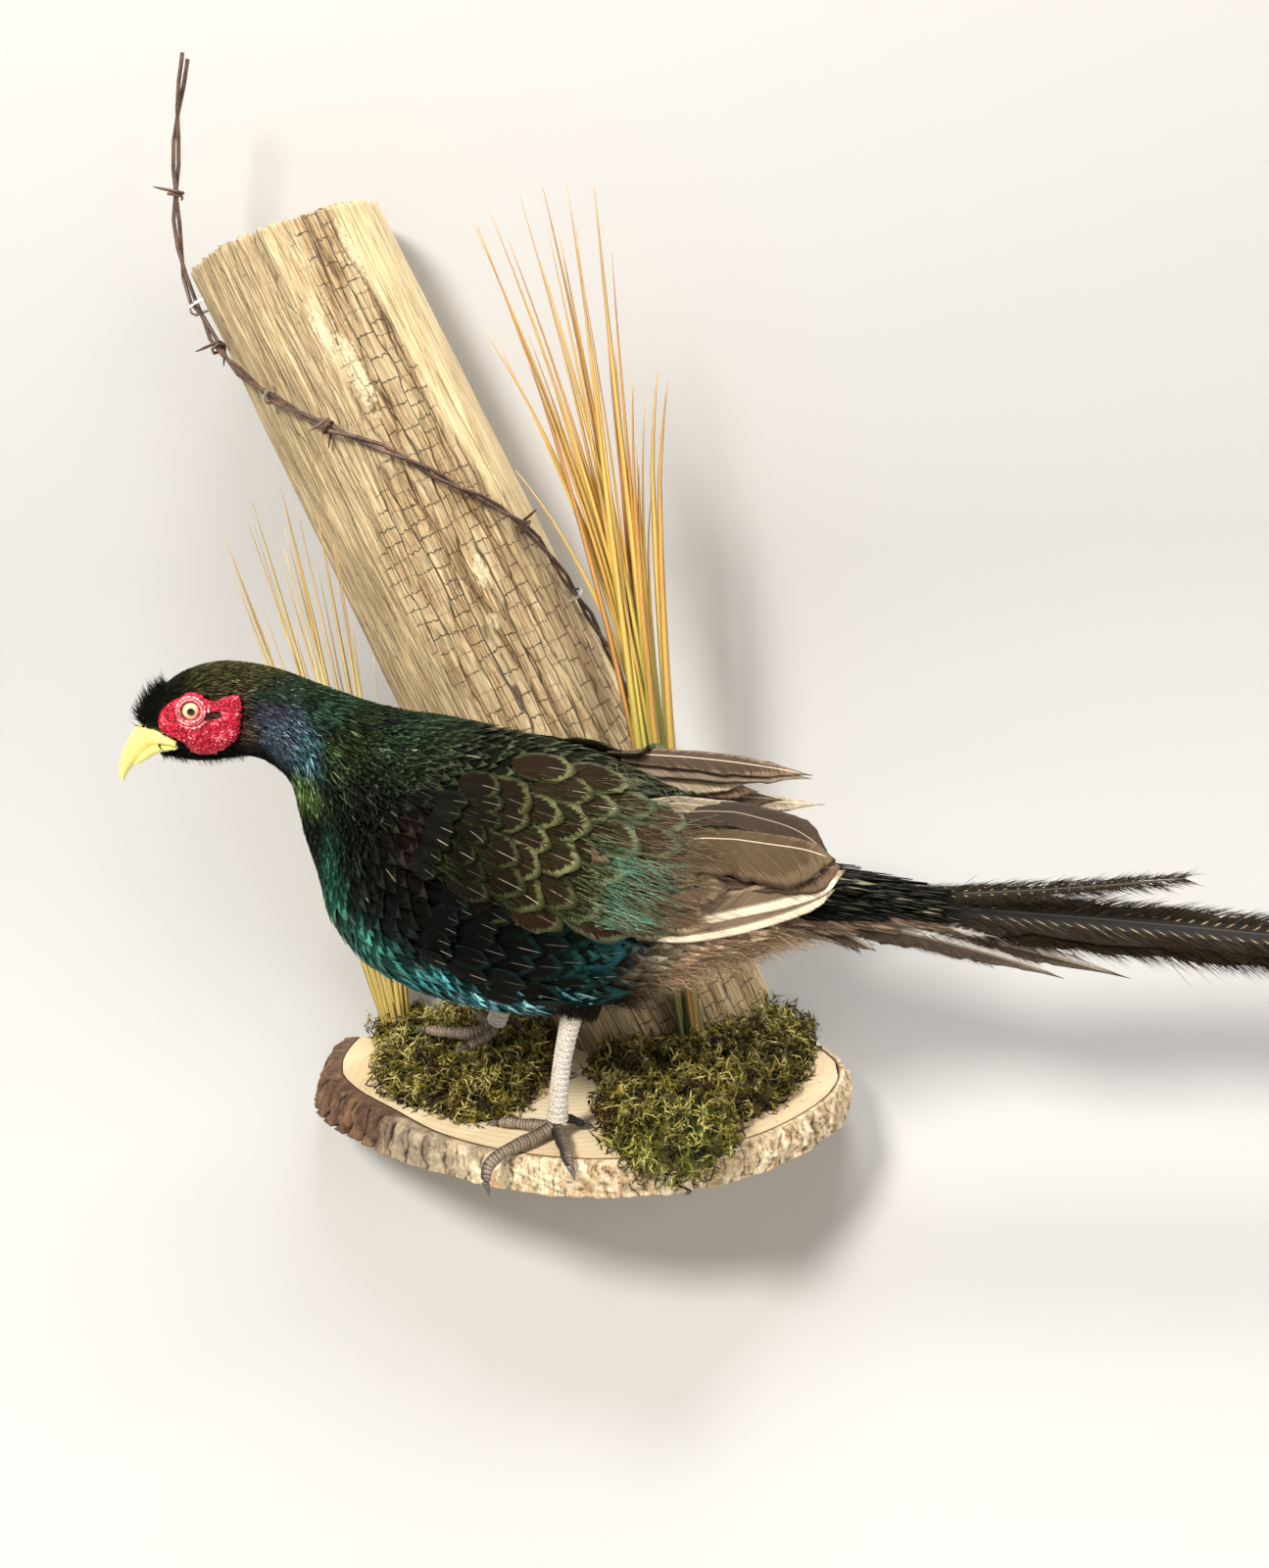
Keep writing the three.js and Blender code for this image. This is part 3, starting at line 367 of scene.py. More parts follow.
class Nodes:
    """Short calls for building one shader tree. Colours may be given as six-digit codes."""

    def __init__(self, tree, finish=None):
        self.tree, self.finish = tree, finish

    def node(self, kind, inputs=(), **settings):
        return add_node(self.tree, "ShaderNode" + kind, inputs, **settings)

    def link(self, value, socket):
        self.tree.links.new(value, socket)

    def math(self, operation, *values):
        return self.node("Math", dict(enumerate(values)), operation=operation).outputs[0]

    def times(self, a, b):
        return self.math("MULTIPLY", a, b)

    def plus(self, a, b):
        return self.math("ADD", a, b)

    def minus(self, a, b):
        return self.math("SUBTRACT", a, b)

    def most(self, a, b):
        return self.math("MAXIMUM", a, b)

    def swing(self, value, size):
        """A value from 0 to 1 turned into one that swings half of size to either side of 0."""
        return self.times(self.minus(value, 0.5), size)

    def scaled(self, vector, factors):
        return self.vector("MULTIPLY", vector, factors)

    def vector(self, operation, *values):
        return self.node("VectorMath", dict(enumerate(values)), operation=operation).outputs[0]

    def mix(self, share, a, b, blend="MIX"):
        return self.node(
            "Mix", {0: share, 6: rgba(a), 7: rgba(b)}, data_type="RGBA", blend_type=blend).outputs[2]

    def range(self, value, low, high, to_low=0.0, to_high=1.0):
        return self.node("MapRange", {0: value, 1: low, 2: high, 3: to_low, 4: to_high},
                         interpolation_type="SMOOTHSTEP").outputs[0]

    def noise(self, vector, scale, detail, rough=0.55, bend=0.0):
        return self.node("TexNoise", {"Vector": vector, "Scale": scale, "Detail": detail, "Roughness": rough,
                                      "Distortion": bend}).outputs[0]

    def ramp(self, value, *stops):
        made = self.node("ValToRGB", {0: value})
        steps = made.color_ramp.elements
        while len(steps) < len(stops):
            steps.new(0.5)
        for step, (at, colour) in zip(steps, stops):
            step.position = at
            step.color = rgba(colour)
        return made.outputs[0]

    def shade(self, colour, value, *stops):
        """A colour multiplied by a ramp of a value."""
        return self.mix(1.0, colour, self.ramp(value, *stops), "MULTIPLY")

    def attribute(self, name, output="Color"):
        return self.node("Attribute", attribute_name=name).outputs[output]

    def parts(self, vector):
        return self.node("SeparateXYZ", {0: vector}).outputs

    def stretched(self, vector, scale, turn=(0, 0, 0)):
        return self.node("Mapping", {"Vector": vector, "Scale": scale, "Rotation": turn}).outputs[0]

    def object_place(self):
        return self.node("TexCoord").outputs["Object"]

    def group(self, tree, inputs):
        return self.node("Group", inputs, node_tree=tree).outputs


def rgba(colour):
    """A shader's colour from a six-digit code or a grey's number; anything else is passed on as it is."""
    if isinstance(colour, str):
        return (*tint(colour), 1.0)
    return (colour, colour, colour, 1) if isinstance(colour, float) else colour


def new_finish(name):
    finish = bpy.data.materials.new(name)
    finish.use_nodes = True
    finish.node_tree.nodes.clear()
    return Nodes(finish.node_tree, finish)


def close_finish(n, colour, rough, bump=None, bump_height=1.0, bump_depth=0.001, **plain):
    """Ends a finish in one Principled shader; plain holds values for its own sockets."""
    inputs = {"Base Color": colour, "Roughness": rough}
    if bump is not None:
        inputs["Normal"] = n.node("Bump", {"Strength": bump_height, "Distance": bump_depth, "Height": bump}
                                  ).outputs[0]
    shader = n.node("BsdfPrincipled", inputs)
    for key, value in plain.items():
        shader.inputs[key.replace("_", " ")].default_value = value
    n.link(shader.outputs[0], n.node("OutputMaterial").inputs[0])
    return n.finish


def new_group(name, inputs, outputs):
    """A node group with named float and vector sockets, and its input and output nodes."""
    tree = bpy.data.node_groups.new(name, "ShaderNodeTree")
    kinds = {float: "NodeSocketFloat", tuple: "NodeSocketVector"}
    for key, default in inputs.items():
        socket = tree.interface.new_socket(key, in_out="INPUT", socket_type=kinds[type(default)])
        if isinstance(default, float):
            socket.default_value = default
    for key, kind in outputs.items():
        tree.interface.new_socket(key, in_out="OUTPUT", socket_type=kinds[kind])
    n = Nodes(tree)
    return tree, n, tree.nodes.new("NodeGroupInput").outputs, tree.nodes.new("NodeGroupOutput").inputs


def barbs_group():
    """The barbs of a vane: fine slanting lines either side of the quill, and clumps where they part."""
    tree, n, given, out = new_group(
        "barbs", {"Lay": (), "Slant": 1.6, "Per mm": 1.1}, {"Lines": float, "Clumps": float})
    across, along, seed = n.parts(given["Lay"])
    side = n.math("ABSOLUTE", across)
    run = n.minus(along, n.times(side, given["Slant"]))
    wander = n.noise(given["Lay"], 0.35, 2.0)
    run = n.plus(run, n.times(wander, 1.6))
    lines = n.math("SINE", n.times(run, n.times(given["Per mm"], TURN)))
    lines = n.math("MULTIPLY_ADD", lines, 0.5, 0.5)
    joined = n.node("CombineXYZ", {0: run, 1: n.times(side, 0.12), 2: seed})
    clumps = n.noise(joined.outputs[0], 0.7, 4.0, 0.7)
    n.link(lines, out["Lines"])
    n.link(clumps, out["Clumps"])
    return tree


def grit_group():
    """Fine uneven light and dark with a soft dust in it, for surfaces with no grain."""
    tree, n, given, out = new_group(
        "grit", {"Place": (), "Per metre": 300.0, "Contrast": 1.0}, {"Value": float})
    fine = n.noise(given["Place"], given["Per metre"], 4.0, 0.6)
    wide = n.noise(given["Place"], n.times(given["Per metre"], 0.13), 3.0)
    both = n.plus(n.times(fine, 0.6), n.times(wide, 0.4))
    centred = n.swing(both, given["Contrast"])
    n.link(n.plus(centred, 0.5), out["Value"])
    return tree


def vane_finish(name, gloss, rough=0.42, shine=0.16, bars=None, outer=None, outer_side=1.0,
                outer_from=0.0, quill_from=0.5, quill_wide=0.3):
    """Feathers. The colours come from each feather's own attributes; bars and outer add markings."""
    n = new_finish(name)
    lay = n.attribute("lay", "Vector")
    across, along, seed = n.parts(lay)
    u, v, _ = n.parts(n.node("UVMap", uv_map="Vane").outputs[0])
    side = n.math("ABSOLUTE", n.math("MULTIPLY_ADD", u, 2.0, -1.0))
    plume = n.attribute("plume")
    rim = n.attribute("rim")
    rim_width = n.attribute("rim", "Alpha")
    lines, clumps = n.group(BARBS, {"Lay": lay})
    towards_tip = n.range(v, 0.4, 1.0, 0.0, 1.0)
    edge = n.math("SQRT", n.plus(n.times(side, side), n.times(towards_tip, towards_tip)))
    edge = n.plus(edge, n.swing(clumps, 0.8))
    rim_share = n.range(edge, n.minus(1.0, rim_width), n.math("MULTIPLY_ADD", rim_width, -0.35, 1.0))
    rim_share = n.times(rim_share, n.range(lines, 0.3, 0.7, 0.4, 0.95))
    colour = plume
    if bars:
        code, every = bars
        slant = n.math("MULTIPLY_ADD", n.math("ABSOLUTE", across), -1.5, along)
        wave = n.math("SINE", n.times(n.math("MULTIPLY_ADD", clumps, 3.0, slant), 6.283 / every))
        where = n.times(n.range(side, 0.25, 0.45), n.range(side, 0.65, 0.85, 1.0, 0.0))
        colour = n.mix(n.times(n.range(wave, 0.7, 0.95), where), colour, code)
    if outer:
        beside = n.times(across, outer_side)
        white = n.times(n.range(beside, 0.3, 0.9), n.times(
            n.range(v, 0.90, 0.97, 1.0, 0.0), n.range(v, outer_from - 0.1, outer_from + 0.1)))
        colour = n.mix(white, n.mix(rim_share, colour, rim), outer)
    else:
        colour = n.mix(rim_share, colour, rim)
    # Barb lines and clumps, which also raise the bump below, scale the colour from a sixth to twice as
    # bright. This is partly the vane's own texture and partly painted glints on the raised barbs, with
    # painted shade in the gaps between clumps.
    light = n.plus(n.times(lines, 0.35), n.times(clumps, 0.95))
    colour = n.shade(colour, light, (0.30, 0.15), (0.80, 2.0))
    quill = n.range(n.math("ABSOLUTE", across), quill_wide * 0.3, quill_wide, 1.0, 0.0)
    quill = n.times(quill, n.times(n.range(v, quill_from, quill_from + 0.12),
                                   n.range(v, 0.88, 0.96, 1.0, 0.0)))
    quill = n.times(quill, n.range(n.math("FRACT", seed), 0.0, 1.0, 0.3, 1.0))
    colour = n.mix(n.times(quill, n.attribute("quill", "Fac")), colour, "e2d3b6")
    height = n.plus(n.times(lines, 0.5), clumps)
    return close_finish(n, colour, n.range(clumps, 0.3, 0.7, rough - 0.1, rough + 0.15), height, 0.55, 0.0004,
                        Specular_Tint=rgba(gloss), Specular_IOR_Level=shine)


BARBS = barbs_group()
GRIT = grit_group()


# ---- the bird's body ------------------------------------------------------------------------------

# Each station from the forehead to the rump: the dorsal point [x, z], the ventral point, the middle's y
# and the half width.
STATIONS = [
    (-194, 230, -192, 213, -213, 7), (-183, 243, -188, 210, -211, 13), (-170, 251, -181, 208, -208, 16),
    (-154, 254, -169, 205, -204, 17.5), (-140, 252, -155, 205, -200, 18), (-127, 248, -140, 204, -198, 19),
    (-106, 238, -128, 194, -195, 22), (-85, 227, -125, 175, -190, 28), (-64, 219, -122, 157, -187, 37),
    (-42, 214, -117, 135, -184, 48), (-16, 208, -111, 111, -183, 56), (4, 202, -91, 87, -182, 61),
    (24, 196, -36, 65, -182, 62), (49, 184, 16, 63, -182, 58), (90, 161, 62, 80, -181, 43),
    (120, 141, 108, 94, -180, 28), (148, 127, 140, 108, -180, 13),
]
LAST = len(STATIONS) - 1
SQUARENESS = 2 / 2.25
DORSAL = np.array([(x, y, z) for x, z, _, _, y, _ in STATIONS], float)
VENTRAL = np.array([(x, y, z) for _, _, x, z, y, _ in STATIONS], float)
WIDTH = np.array([[half] for *_, half in STATIONS], float)


def body_section(t):
    """The body's centre at station t, its up and near-side directions, and its half sizes."""
    middle = lambda at: (through(DORSAL, at) + through(VENTRAL, at)) / 2
    centre = middle(t)
    up = through(DORSAL, t) - centre
    along = middle(np.minimum(t + 0.16, LAST)) - middle(np.maximum(t - 0.16, 0))
    side = unit(np.cross(up, along))
    side = side * -np.sign(side[..., 1:2])
    return centre, unit(up), side, np.linalg.norm(up, axis=-1), through(WIDTH, t)[..., 0]


def body_place(t, angle):
    """Points on the body: angle 0 is the back's ridge, a quarter turn the near side, half the belly."""
    inside = np.clip(t, 0, LAST)
    centre, up, side, high, wide = body_section(inside)
    bend = lambda x: (np.sign(x) * np.abs(x) ** SQUARENESS)[..., None]
    return centre + up * high[..., None] * bend(np.cos(angle)) + side * wide[..., None] * bend(np.sin(angle))


def body_frame(t, angle):
    """Points, outward normals, and millimetres for each station there, past the last station too."""
    inside = np.clip(t, 0.02, LAST - 0.02)
    here = body_place(inside, angle)
    ahead = body_place(inside + 0.02, angle) - body_place(inside - 0.02, angle)
    round_ = body_place(inside, angle + 0.03) - body_place(inside, angle - 0.03)
    out = unit(np.cross(ahead, round_))
    out = out * np.sign(np.sum(out * (here - body_section(inside)[0]), axis=-1, keepdims=True))
    stride = ahead / 0.04
    return here + stride * (t - inside)[..., None], out, np.linalg.norm(stride, axis=-1)


# Plumage colours: a feather's middle and its rim.
DARK = ("060605", "161d17")
BLOTS = [
    # x, z, reach along x, reach along z, middle, rim, width of the rim
    (-40, 204, 44, 15, "060604", "2e3524", 0.30),        # mantle
    (-66, 214, 16, 10, "080b07", "2f3f2e", 0.32),
    (2, 200, 26, 9, "0a0b07", "3d422d", 0.32),
    (32, 192, 26, 10, "0e0f09", "474833", 0.32),
    (100, 160, 60, 26, "0d0f0b", "2a3122", 0.40),        # rump
    (-45, 135, 44, 34, "040404", "0f0f0e", 0.28),        # breast's side
    (-80, 178, 26, 30, "040403", "181d15", 0.30),
    (-56, 170, 17, 17, "140709", "33141a", 0.45),        # wine-red flecks
    (-103, 146, 8, 26, "0c211a", "2f5f4a", 0.50),        # the breast's front
    (-92, 118, 15, 18, "0f322c", "387065", 0.50),
    (-64, 98, 20, 11, "103a3c", "4b9294", 0.50),
    (-24, 80, 38, 9, "1a434c", "79b0b8", 0.50),          # belly
    (30, 98, 34, 22, "060a09", "143030", 0.35),          # flank
    (72, 90, 34, 20, "9b8268", "c9b190", 0.50),          # vent
    (108, 100, 26, 14, "9b8268", "c9b190", 0.50),
    (-151, 250, 26, 10, "18160c", "4c4a2c", 0.50),       # crown
    (-176, 246, 10, 10, "0a0a08", "14140d", 0.40),
    (-145, 228, 7, 15, "2e2119", "6a5644", 0.50),        # behind the face
    (-150, 208, 22, 7, "070707", "101110", 0.40),        # under the face
    (-122, 219, 12, 15, "232933", "56646f", 0.60),       # slate patch
    (-126, 230, 10, 6, "221f2b", "443e50", 0.60),
    (-110, 208, 9, 13, "22353b", "54787c", 0.55),
    (-120, 240, 14, 7, "131a15", "303e30", 0.50),
    (-100, 228, 10, 8, "0f1a14", "304a38", 0.46),        # green ring round it
    (-114, 191, 9, 9, "253619", "6a7e48", 0.50),
    (-98, 207, 7, 12, "181f13", "404f2f", 0.50),
    (-104, 240, 16, 6, "10170e", "2f3f29", 0.50),
    (-87, 216, 9, 12, "10150c", "2a3319", 0.40),
]


def plumage(points, draw, spread=0.32):
    """The middle colour and rim colour of feathers that root at points; alpha is the rim's width."""
    x, z = points[:, 0], points[:, 2]
    total = np.full(len(points), 0.12)
    middle = np.outer(total, tint(DARK[0]))
    rim = np.outer(total, tint(DARK[1]))
    width = total * 0.35
    ragged = 1 + 0.25 * ripple(points, 24, 5) + draw.normal(size=len(points)) * 0.12
    for bx, bz, reach_x, reach_z, code, rim_code, rim_width in BLOTS:
        away = ((x - bx) / reach_x) ** 2 + ((z - bz) / reach_z) ** 2
        weight = np.exp(-1.6 * away * ragged) ** 1.5
        total = total + weight
        middle = middle + weight[:, None] * tint(code)
        rim = rim + weight[:, None] * tint(rim_code)
        width = width + weight * rim_width
    change = varied(draw, (len(points), 1), spread) * (1 + draw.normal(size=(len(points), 3)) * 0.06)
    pale = 1 + 0.9 * draw.random((len(points), 1)) ** 3
    middle = middle / total[:, None] * change
    rim = rim / total[:, None] * change * pale
    return np.column_stack([middle, np.ones(len(points))]), np.column_stack([rim, width / total])


# ---- feathers -------------------------------------------------------------------------------------

BAKE_PATCH = 0.003


def frames(spine, out):
    """Directions along and across spines and out of their faces, for one row of points each."""
    along = unit(np.gradient(spine, axis=1))
    across = unit(np.cross(along, out))
    return along, across, np.cross(across, along)


def inset(uv):
    """Places on a bake map, drawn in a little from its edges."""
    return uv * 0.96 + 0.02


def feather_part(points, faces, u, v, across, spine, draw, middle, rim, root_uv, quill, patch):
    """Many like feathers as one part: points has a row for each, and faces are one feather's own.

    u and v are its points' places over the vane, from -1 to 1 across and from root to tip.
    """
    count, each = points.shape[:2]
    length = np.linalg.norm(np.diff(spine, axis=1), axis=2).sum(axis=1)
    base = (np.arange(count) * each)[:, None, None]
    seed = draw.uniform(0, 900, count)
    vane_uv = np.stack([u / 2 + 0.5, v], axis=1)
    lay = np.stack([across, v[None] * length[:, None], np.repeat(seed[:, None], each, 1)], axis=2)
    return {
        "points": points.reshape(-1, 3),
        "faces": [(f[None] + base).reshape(-1, f.shape[1]) for f in faces],
        "uvs": {
            "OFBake": (root_uv[:, None] + (vane_uv[None] - 0.5) * patch).reshape(-1, 2),
            "Vane": np.tile(vane_uv, (count, 1)),
        },
        "attributes": {
            "lay": lay.reshape(-1, 3),
            "plume": np.repeat(middle, each, axis=0),
            "rim": np.repeat(rim, each, axis=0),
            "quill": np.repeat(np.broadcast_to(quill, count), each),
        },
    }


def vanes(spine, out, half, middle, rim, root_uv, draw, round_tip, quill, columns=3, camber=0.22, thick=0.25,
          patch=BAKE_PATCH, notch=0.0, skew=0.0):
    """Feathers as closed blades: spine is one row of points for each, out the way their faces look.

    skew widens the vane on one side of the spine and narrows it on the other.
    """
    count, rows = spine.shape[:2]
    v = np.linspace(0, 1, rows)
    along, across, out = frames(spine, out)
    length = np.linalg.norm(np.diff(spine, axis=1), axis=2).sum(axis=1)
    u = np.linspace(-1, 1, columns)
    ragged = 1 + notch * draw.normal(size=(count, rows, columns)) * (np.abs(u) > 0.9)
    sides = u * (1 + np.sign(u) * np.broadcast_to(skew, count)[:, None, None])
    reach = (half[..., None] * sides * ragged)[..., None]
    drop = (half[..., None] * camber * u ** 2)[..., None]
    back = (length[:, None, None] * round_tip * u ** 2 * (v ** 3)[None, :, None])[..., None]
    top = spine[:, :, None] + across[:, :, None] * reach - out[:, :, None] * drop - along[:, :, None] * back
    under = spine - out * thick
    points = np.concatenate([top.reshape(count, -1, 3), under], axis=1)
    quads = grid_faces(rows, columns)
    k = np.arange(rows - 1)
    ridge = rows * columns + k
    left, right = k * columns, k * columns + columns - 1
    quads = np.concatenate([
        quads,
        np.stack([right, ridge, ridge + 1, right + columns], axis=1),
        np.stack([ridge, left, left + columns, ridge + 1], axis=1),
    ])
    root_cap = np.concatenate([[rows * columns], np.arange(columns)[::-1]])
    tip_cap = np.concatenate([(rows - 1) * columns + np.arange(columns), [rows * columns + rows - 1]])
    caps = np.stack([root_cap, tip_cap])
    flat_u = np.concatenate([np.tile(u, rows), np.zeros(rows)])
    flat_v = np.concatenate([np.repeat(v, columns), v])
    across_by = np.concatenate([reach[..., 0].reshape(count, -1), np.zeros((count, rows))], axis=1)
    return feather_part(
        points, [quads, caps], flat_u, flat_v, across_by, spine, draw, middle, rim, root_uv, quill, patch)


def strands(spine, out, radius, middle, rim, root_uv, draw):
    """Hair-like barbs: three-sided slivers that taper to a point."""
    count, rows = spine.shape[:2]
    _, across, up = frames(spine, out)
    v = np.linspace(0, 1, rows)
    thick = radius[:, None] * (1 - v[None]) ** 0.6
    width = thick[..., None]
    rings = np.stack([spine - across * width, spine + up * width * 0.8, spine + across * width], axis=2)
    rings = rings[:, :-1].reshape(count, -1, 3)
    points = np.concatenate([rings, spine[:, -1:]], axis=1)
    each = points.shape[1]
    quads = grid_faces(rows - 1, 3, closed=True)[:, ::-1]
    last = (rows - 2) * 3
    tips = np.array([[last + i, last + (i + 1) % 3, each - 1] for i in range(3)])[:, ::-1]
    ends = np.concatenate([tips, [[0, 1, 2]]])
    flat_v = np.concatenate([np.repeat(v[:-1], 3), [1.0]])
    return feather_part(points, [quads, ends], np.zeros(each), flat_v, np.full((count, each), 0.9), spine,
                        draw, middle, rim, root_uv, 0.0, BAKE_PATCH)


def loose_colours(code, rim_code, change, rim_width=0.4):
    """The middle and rim colours of loose barbs, from two codes and each barb's own brightness."""
    plain = np.ones((len(change), 1))
    return np.hstack([tint(code) * change, plain]), np.hstack([tint(rim_code) * change, plain * rim_width])


def body_uv(t, angle):
    """Where a root lies on the body's own unwrap: round the body, and along it."""
    return inset(np.stack([np.mod(angle / TURN, 1), np.clip(t / LAST, 0, 1)], axis=-1))


def rooted(t_from, t_to, files, spacing, draw):
    """Roots in files that run along the body, each file half a step off its neighbours.

    spacing(t) is the distance between roots at station t. Returns t, angle and the files' gap there.
    """
    angle = (np.arange(files) + 0.5) / files * TURN
    t = np.linspace(t_from, t_to, 260)
    tt, aa = np.meshgrid(t, angle)
    places, _, _ = body_frame(tt, aa)
    step = np.linalg.norm(np.diff(places, axis=1), axis=2)
    gap = spacing(tt)
    run = np.concatenate([np.zeros((files, 1)), np.cumsum(step / gap[:, 1:], axis=1)], axis=1)
    roots = []
    for i in range(files):
        at = np.arange(0.5 * (i % 2), run[i, -1], 1.0)
        at = at + draw.uniform(-0.22, 0.22, len(at))
        roots.append(np.stack([np.interp(at, run[i], t), np.full(len(at), angle[i])], axis=1))
    t, angle = np.concatenate(roots).T
    here = body_place(t, angle)
    beside = np.linalg.norm(body_place(t, angle + TURN / files) - here, axis=1)
    angle = angle + draw.uniform(-0.25, 0.25, len(t)) * TURN / files
    return t, angle, beside


def laid(t, angle, length, rows, lift, drift):
    """Spines that follow the body from their roots: lift is each one's height off it at each share."""
    v = np.linspace(0, 1, rows)
    _, _, stride = body_frame(t, angle)
    tt = t[:, None] + v[None] * (length / stride)[:, None]
    aa = angle[:, None] + v[None] * drift[:, None]
    place_, out, _ = body_frame(tt, aa)
    return place_ + out * lift[..., None], out


def cad_faces(names):
    """The points and faces of some CAD nodes together, in metres."""
    points, faces = [], []
    for name in names:
        mesh = frame["nodes"][name].data
        base = len(points)
        points.extend(v.co.copy() for v in mesh.vertices)
        faces.extend([base + i for i in p.vertices] for p in mesh.polygons)
    return points, faces


def surface_of(*names):
    """A tree for dropping points on to the outside of some CAD nodes."""
    return BVHTree.FromPolygons(*cad_faces(names))


CLEAR_OF_BIRD = 0.6                              # metres to the side, where paths start their drop


def drape(tree, flat, hand):
    """Drops paths of [x, z] on to a surface from one side; past its edge they run straight on."""
    count, rows, _ = flat.shape
    depth = np.zeros((count, rows))
    out = np.zeros((count, rows, 3))
    for i in range(count):
        for k in range(rows):
            x, z = flat[i, k]
            start = Vector(((x - WALL_MARK[0]) * MM, hand * CLEAR_OF_BIRD, (z - WALL_MARK[2]) * MM))
            hit, normal, _, _ = tree.ray_cast(start, Vector((0, -hand, 0)))
            if hit is not None:
                depth[i, k] = hit.y / MM
                out[i, k] = normal if normal.y * hand > 0 else -normal
            elif k > 1:
                stride = 0.35 * np.linalg.norm(flat[i, k] - flat[i, k - 1])
                depth[i, k] = depth[i, k - 1] + np.clip(depth[i, k - 1] - depth[i, k - 2], -stride, stride)
                out[i, k] = out[i, k - 1]
            else:
                depth[i, k] = BODY_Y + hand * 30
                out[i, k] = (0, hand, 0)
    for _ in range(3):
        depth[:, 1:-1] = (depth[:, :-2] + 2 * depth[:, 1:-1] + depth[:, 2:]) / 4
        out[:, 1:-1] = (out[:, :-2] + 2 * out[:, 1:-1] + out[:, 2:]) / 4
    return np.stack([flat[..., 0], depth, flat[..., 1]], axis=-1), unit(out)


# ---- skin -----------------------------------------------------------------------------------------

COAT_DEPTH = 3.0
SWELL = 0.6                                      # joins the solids before the skin is drawn in
SKIN_STEPS = (
    ("WELD", {"merge_threshold": 0.00002}),
    ("DISPLACE", {"strength": SWELL * MM, "mid_level": 0}),
    ("REMESH", {"mode": "VOXEL", "voxel_size": 0.0024}),
    ("SMOOTH", {"factor": 0.5, "iterations": 8}),
    ("DISPLACE", {"strength": -(COAT_DEPTH + SWELL) * MM, "mid_level": 0}),
    ("SMOOTH", {"factor": 0.5, "iterations": 4}),
)
FLESH = ("trunk", "neck", "head", "thigh_left", "thigh_right")


def hide_finish():
    n = new_finish("bare_skin_under_feathers")
    speckle = n.group(GRIT, {"Place": n.object_place(), "Per metre": 900.0})["Value"]
    colour = n.shade(n.attribute("plume"), speckle, (0.3, 0.2), (0.7, 0.6))
    return close_finish(n, colour, 0.85, speckle, 0.4, 0.0004)


def make_skin():
    """One skin over trunk, neck, head, thighs and tail root, inside them by the coat's depth."""
    points, faces = cad_faces((*FLESH, "tail_coverts"))
    rough = bpy.data.meshes.new("flesh")
    rough.from_pydata(points, [], faces)
    holder = stand("flesh", rough)
    for kind, settings in SKIN_STEPS:
        modifier = holder.modifiers.new(kind.lower(), kind)
        for key, value in settings.items():
            setattr(modifier, key, value)
    mesh = bpy.data.meshes.new_from_object(holder.evaluated_get(bpy.context.evaluated_depsgraph_get()))
    bpy.data.objects.remove(holder)
    places = np.empty(len(mesh.vertices) * 3)
    mesh.vertices.foreach_get("co", places)
    places = sliced(places.reshape(-1, 3))
    for leg in LEGS.values():
        hip, ankle = (np.array(p, float) for p in leg["thigh"])
        along = unit(hip - ankle)
        up_by = (places - ankle) @ along
        axis = ankle + np.clip(up_by, 0, None)[:, None] * along
        near = (np.linalg.norm((places - axis)[:, :2], axis=1) < 16) & (up_by < 16) & (up_by > -14)
        keep = (0.35 + 0.65 * smooth(up_by, 1, 15))[:, None]
        places = np.where(near[:, None], axis + (places - axis) * keep, places)
    mesh.vertices.foreach_set("co", framed(places).ravel())
    middle, _ = plumage(places, np.random.default_rng(1), spread=0.0)
    add_attribute(mesh, "plume", middle)
    place("bird_skin", mesh, hide_finish(), FLESH)


# ---- the coat -------------------------------------------------------------------------------------

FACE_OUTLINE = [(53.6, 228), (52.3, 232.8), (46.7, 237.4), (41, 240.2), (36.7, 242.2), (32.6, 242.2),
                (29.8, 240.6), (27.4, 238.2), (23.8, 237.2), (19.6, 238.2), (13.6, 239.4), (11.6, 238.9),
                (10.9, 236), (11.3, 232), (12.6, 225.2), (13.8, 219.7), (16.2, 216.1), (19.9, 213.6),
                (23.5, 211.6), (26.4, 210), (30, 208.7), (35.4, 209.2), (39.4, 210.7), (40.4, 213.6),
                (41.9, 216.5), (44, 218.6), (47.5, 220.5), (51.3, 222.6)]
HEAD_TURN = math.radians(14)
HEAD_PIVOT = np.array([-133.0, -198.0])
LEFT_WING = [(-52, 172), (-38, 194), (-5, 205), (36, 201), (78, 186), (109, 171), (138, 154),
             (136, 141), (118, 133), (86, 124), (58, 121), (26, 128), (0, 134), (-28, 148)]
RIGHT_WING = [(-52, 168), (-38, 190), (-5, 203), (36, 199), (78, 187), (108, 172), (132, 156),
              (128, 144), (98, 143), (72, 138), (40, 134), (0, 136), (-28, 148)]


def within(points, outline):
    """True for each [x, z] point inside an outline."""
    x, z = points[:, 0], points[:, 1]
    inside = np.zeros(len(points), bool)
    for (x0, z0), (x1, z1) in zip(outline, outline[1:] + outline[:1]):
        crosses = (z0 > z) != (z1 > z)
        inside ^= crosses & (x < (x1 - x0) * (z - z0) / (z1 - z0 + 1e-12) + x0)
    return inside


def shrunk(outline, by):
    middle = np.mean(outline, axis=0)
    return [tuple(middle + (np.array(p) - middle) * by) for p in outline]


def ahead_of_neck(points):
    """How far ahead of the neck joint points lie, along the turned head."""
    flat = points[:, :2] - HEAD_PIVOT
    return -(flat[:, 0] * math.cos(HEAD_TURN) + flat[:, 1] * math.sin(HEAD_TURN))


GAPE_OUTLINE = [(76, 200), (76, 225), (56, 224.5), (50, 220.5), (44.5, 216), (44.5, 211.5), (50, 209.5),
                (62, 205)]


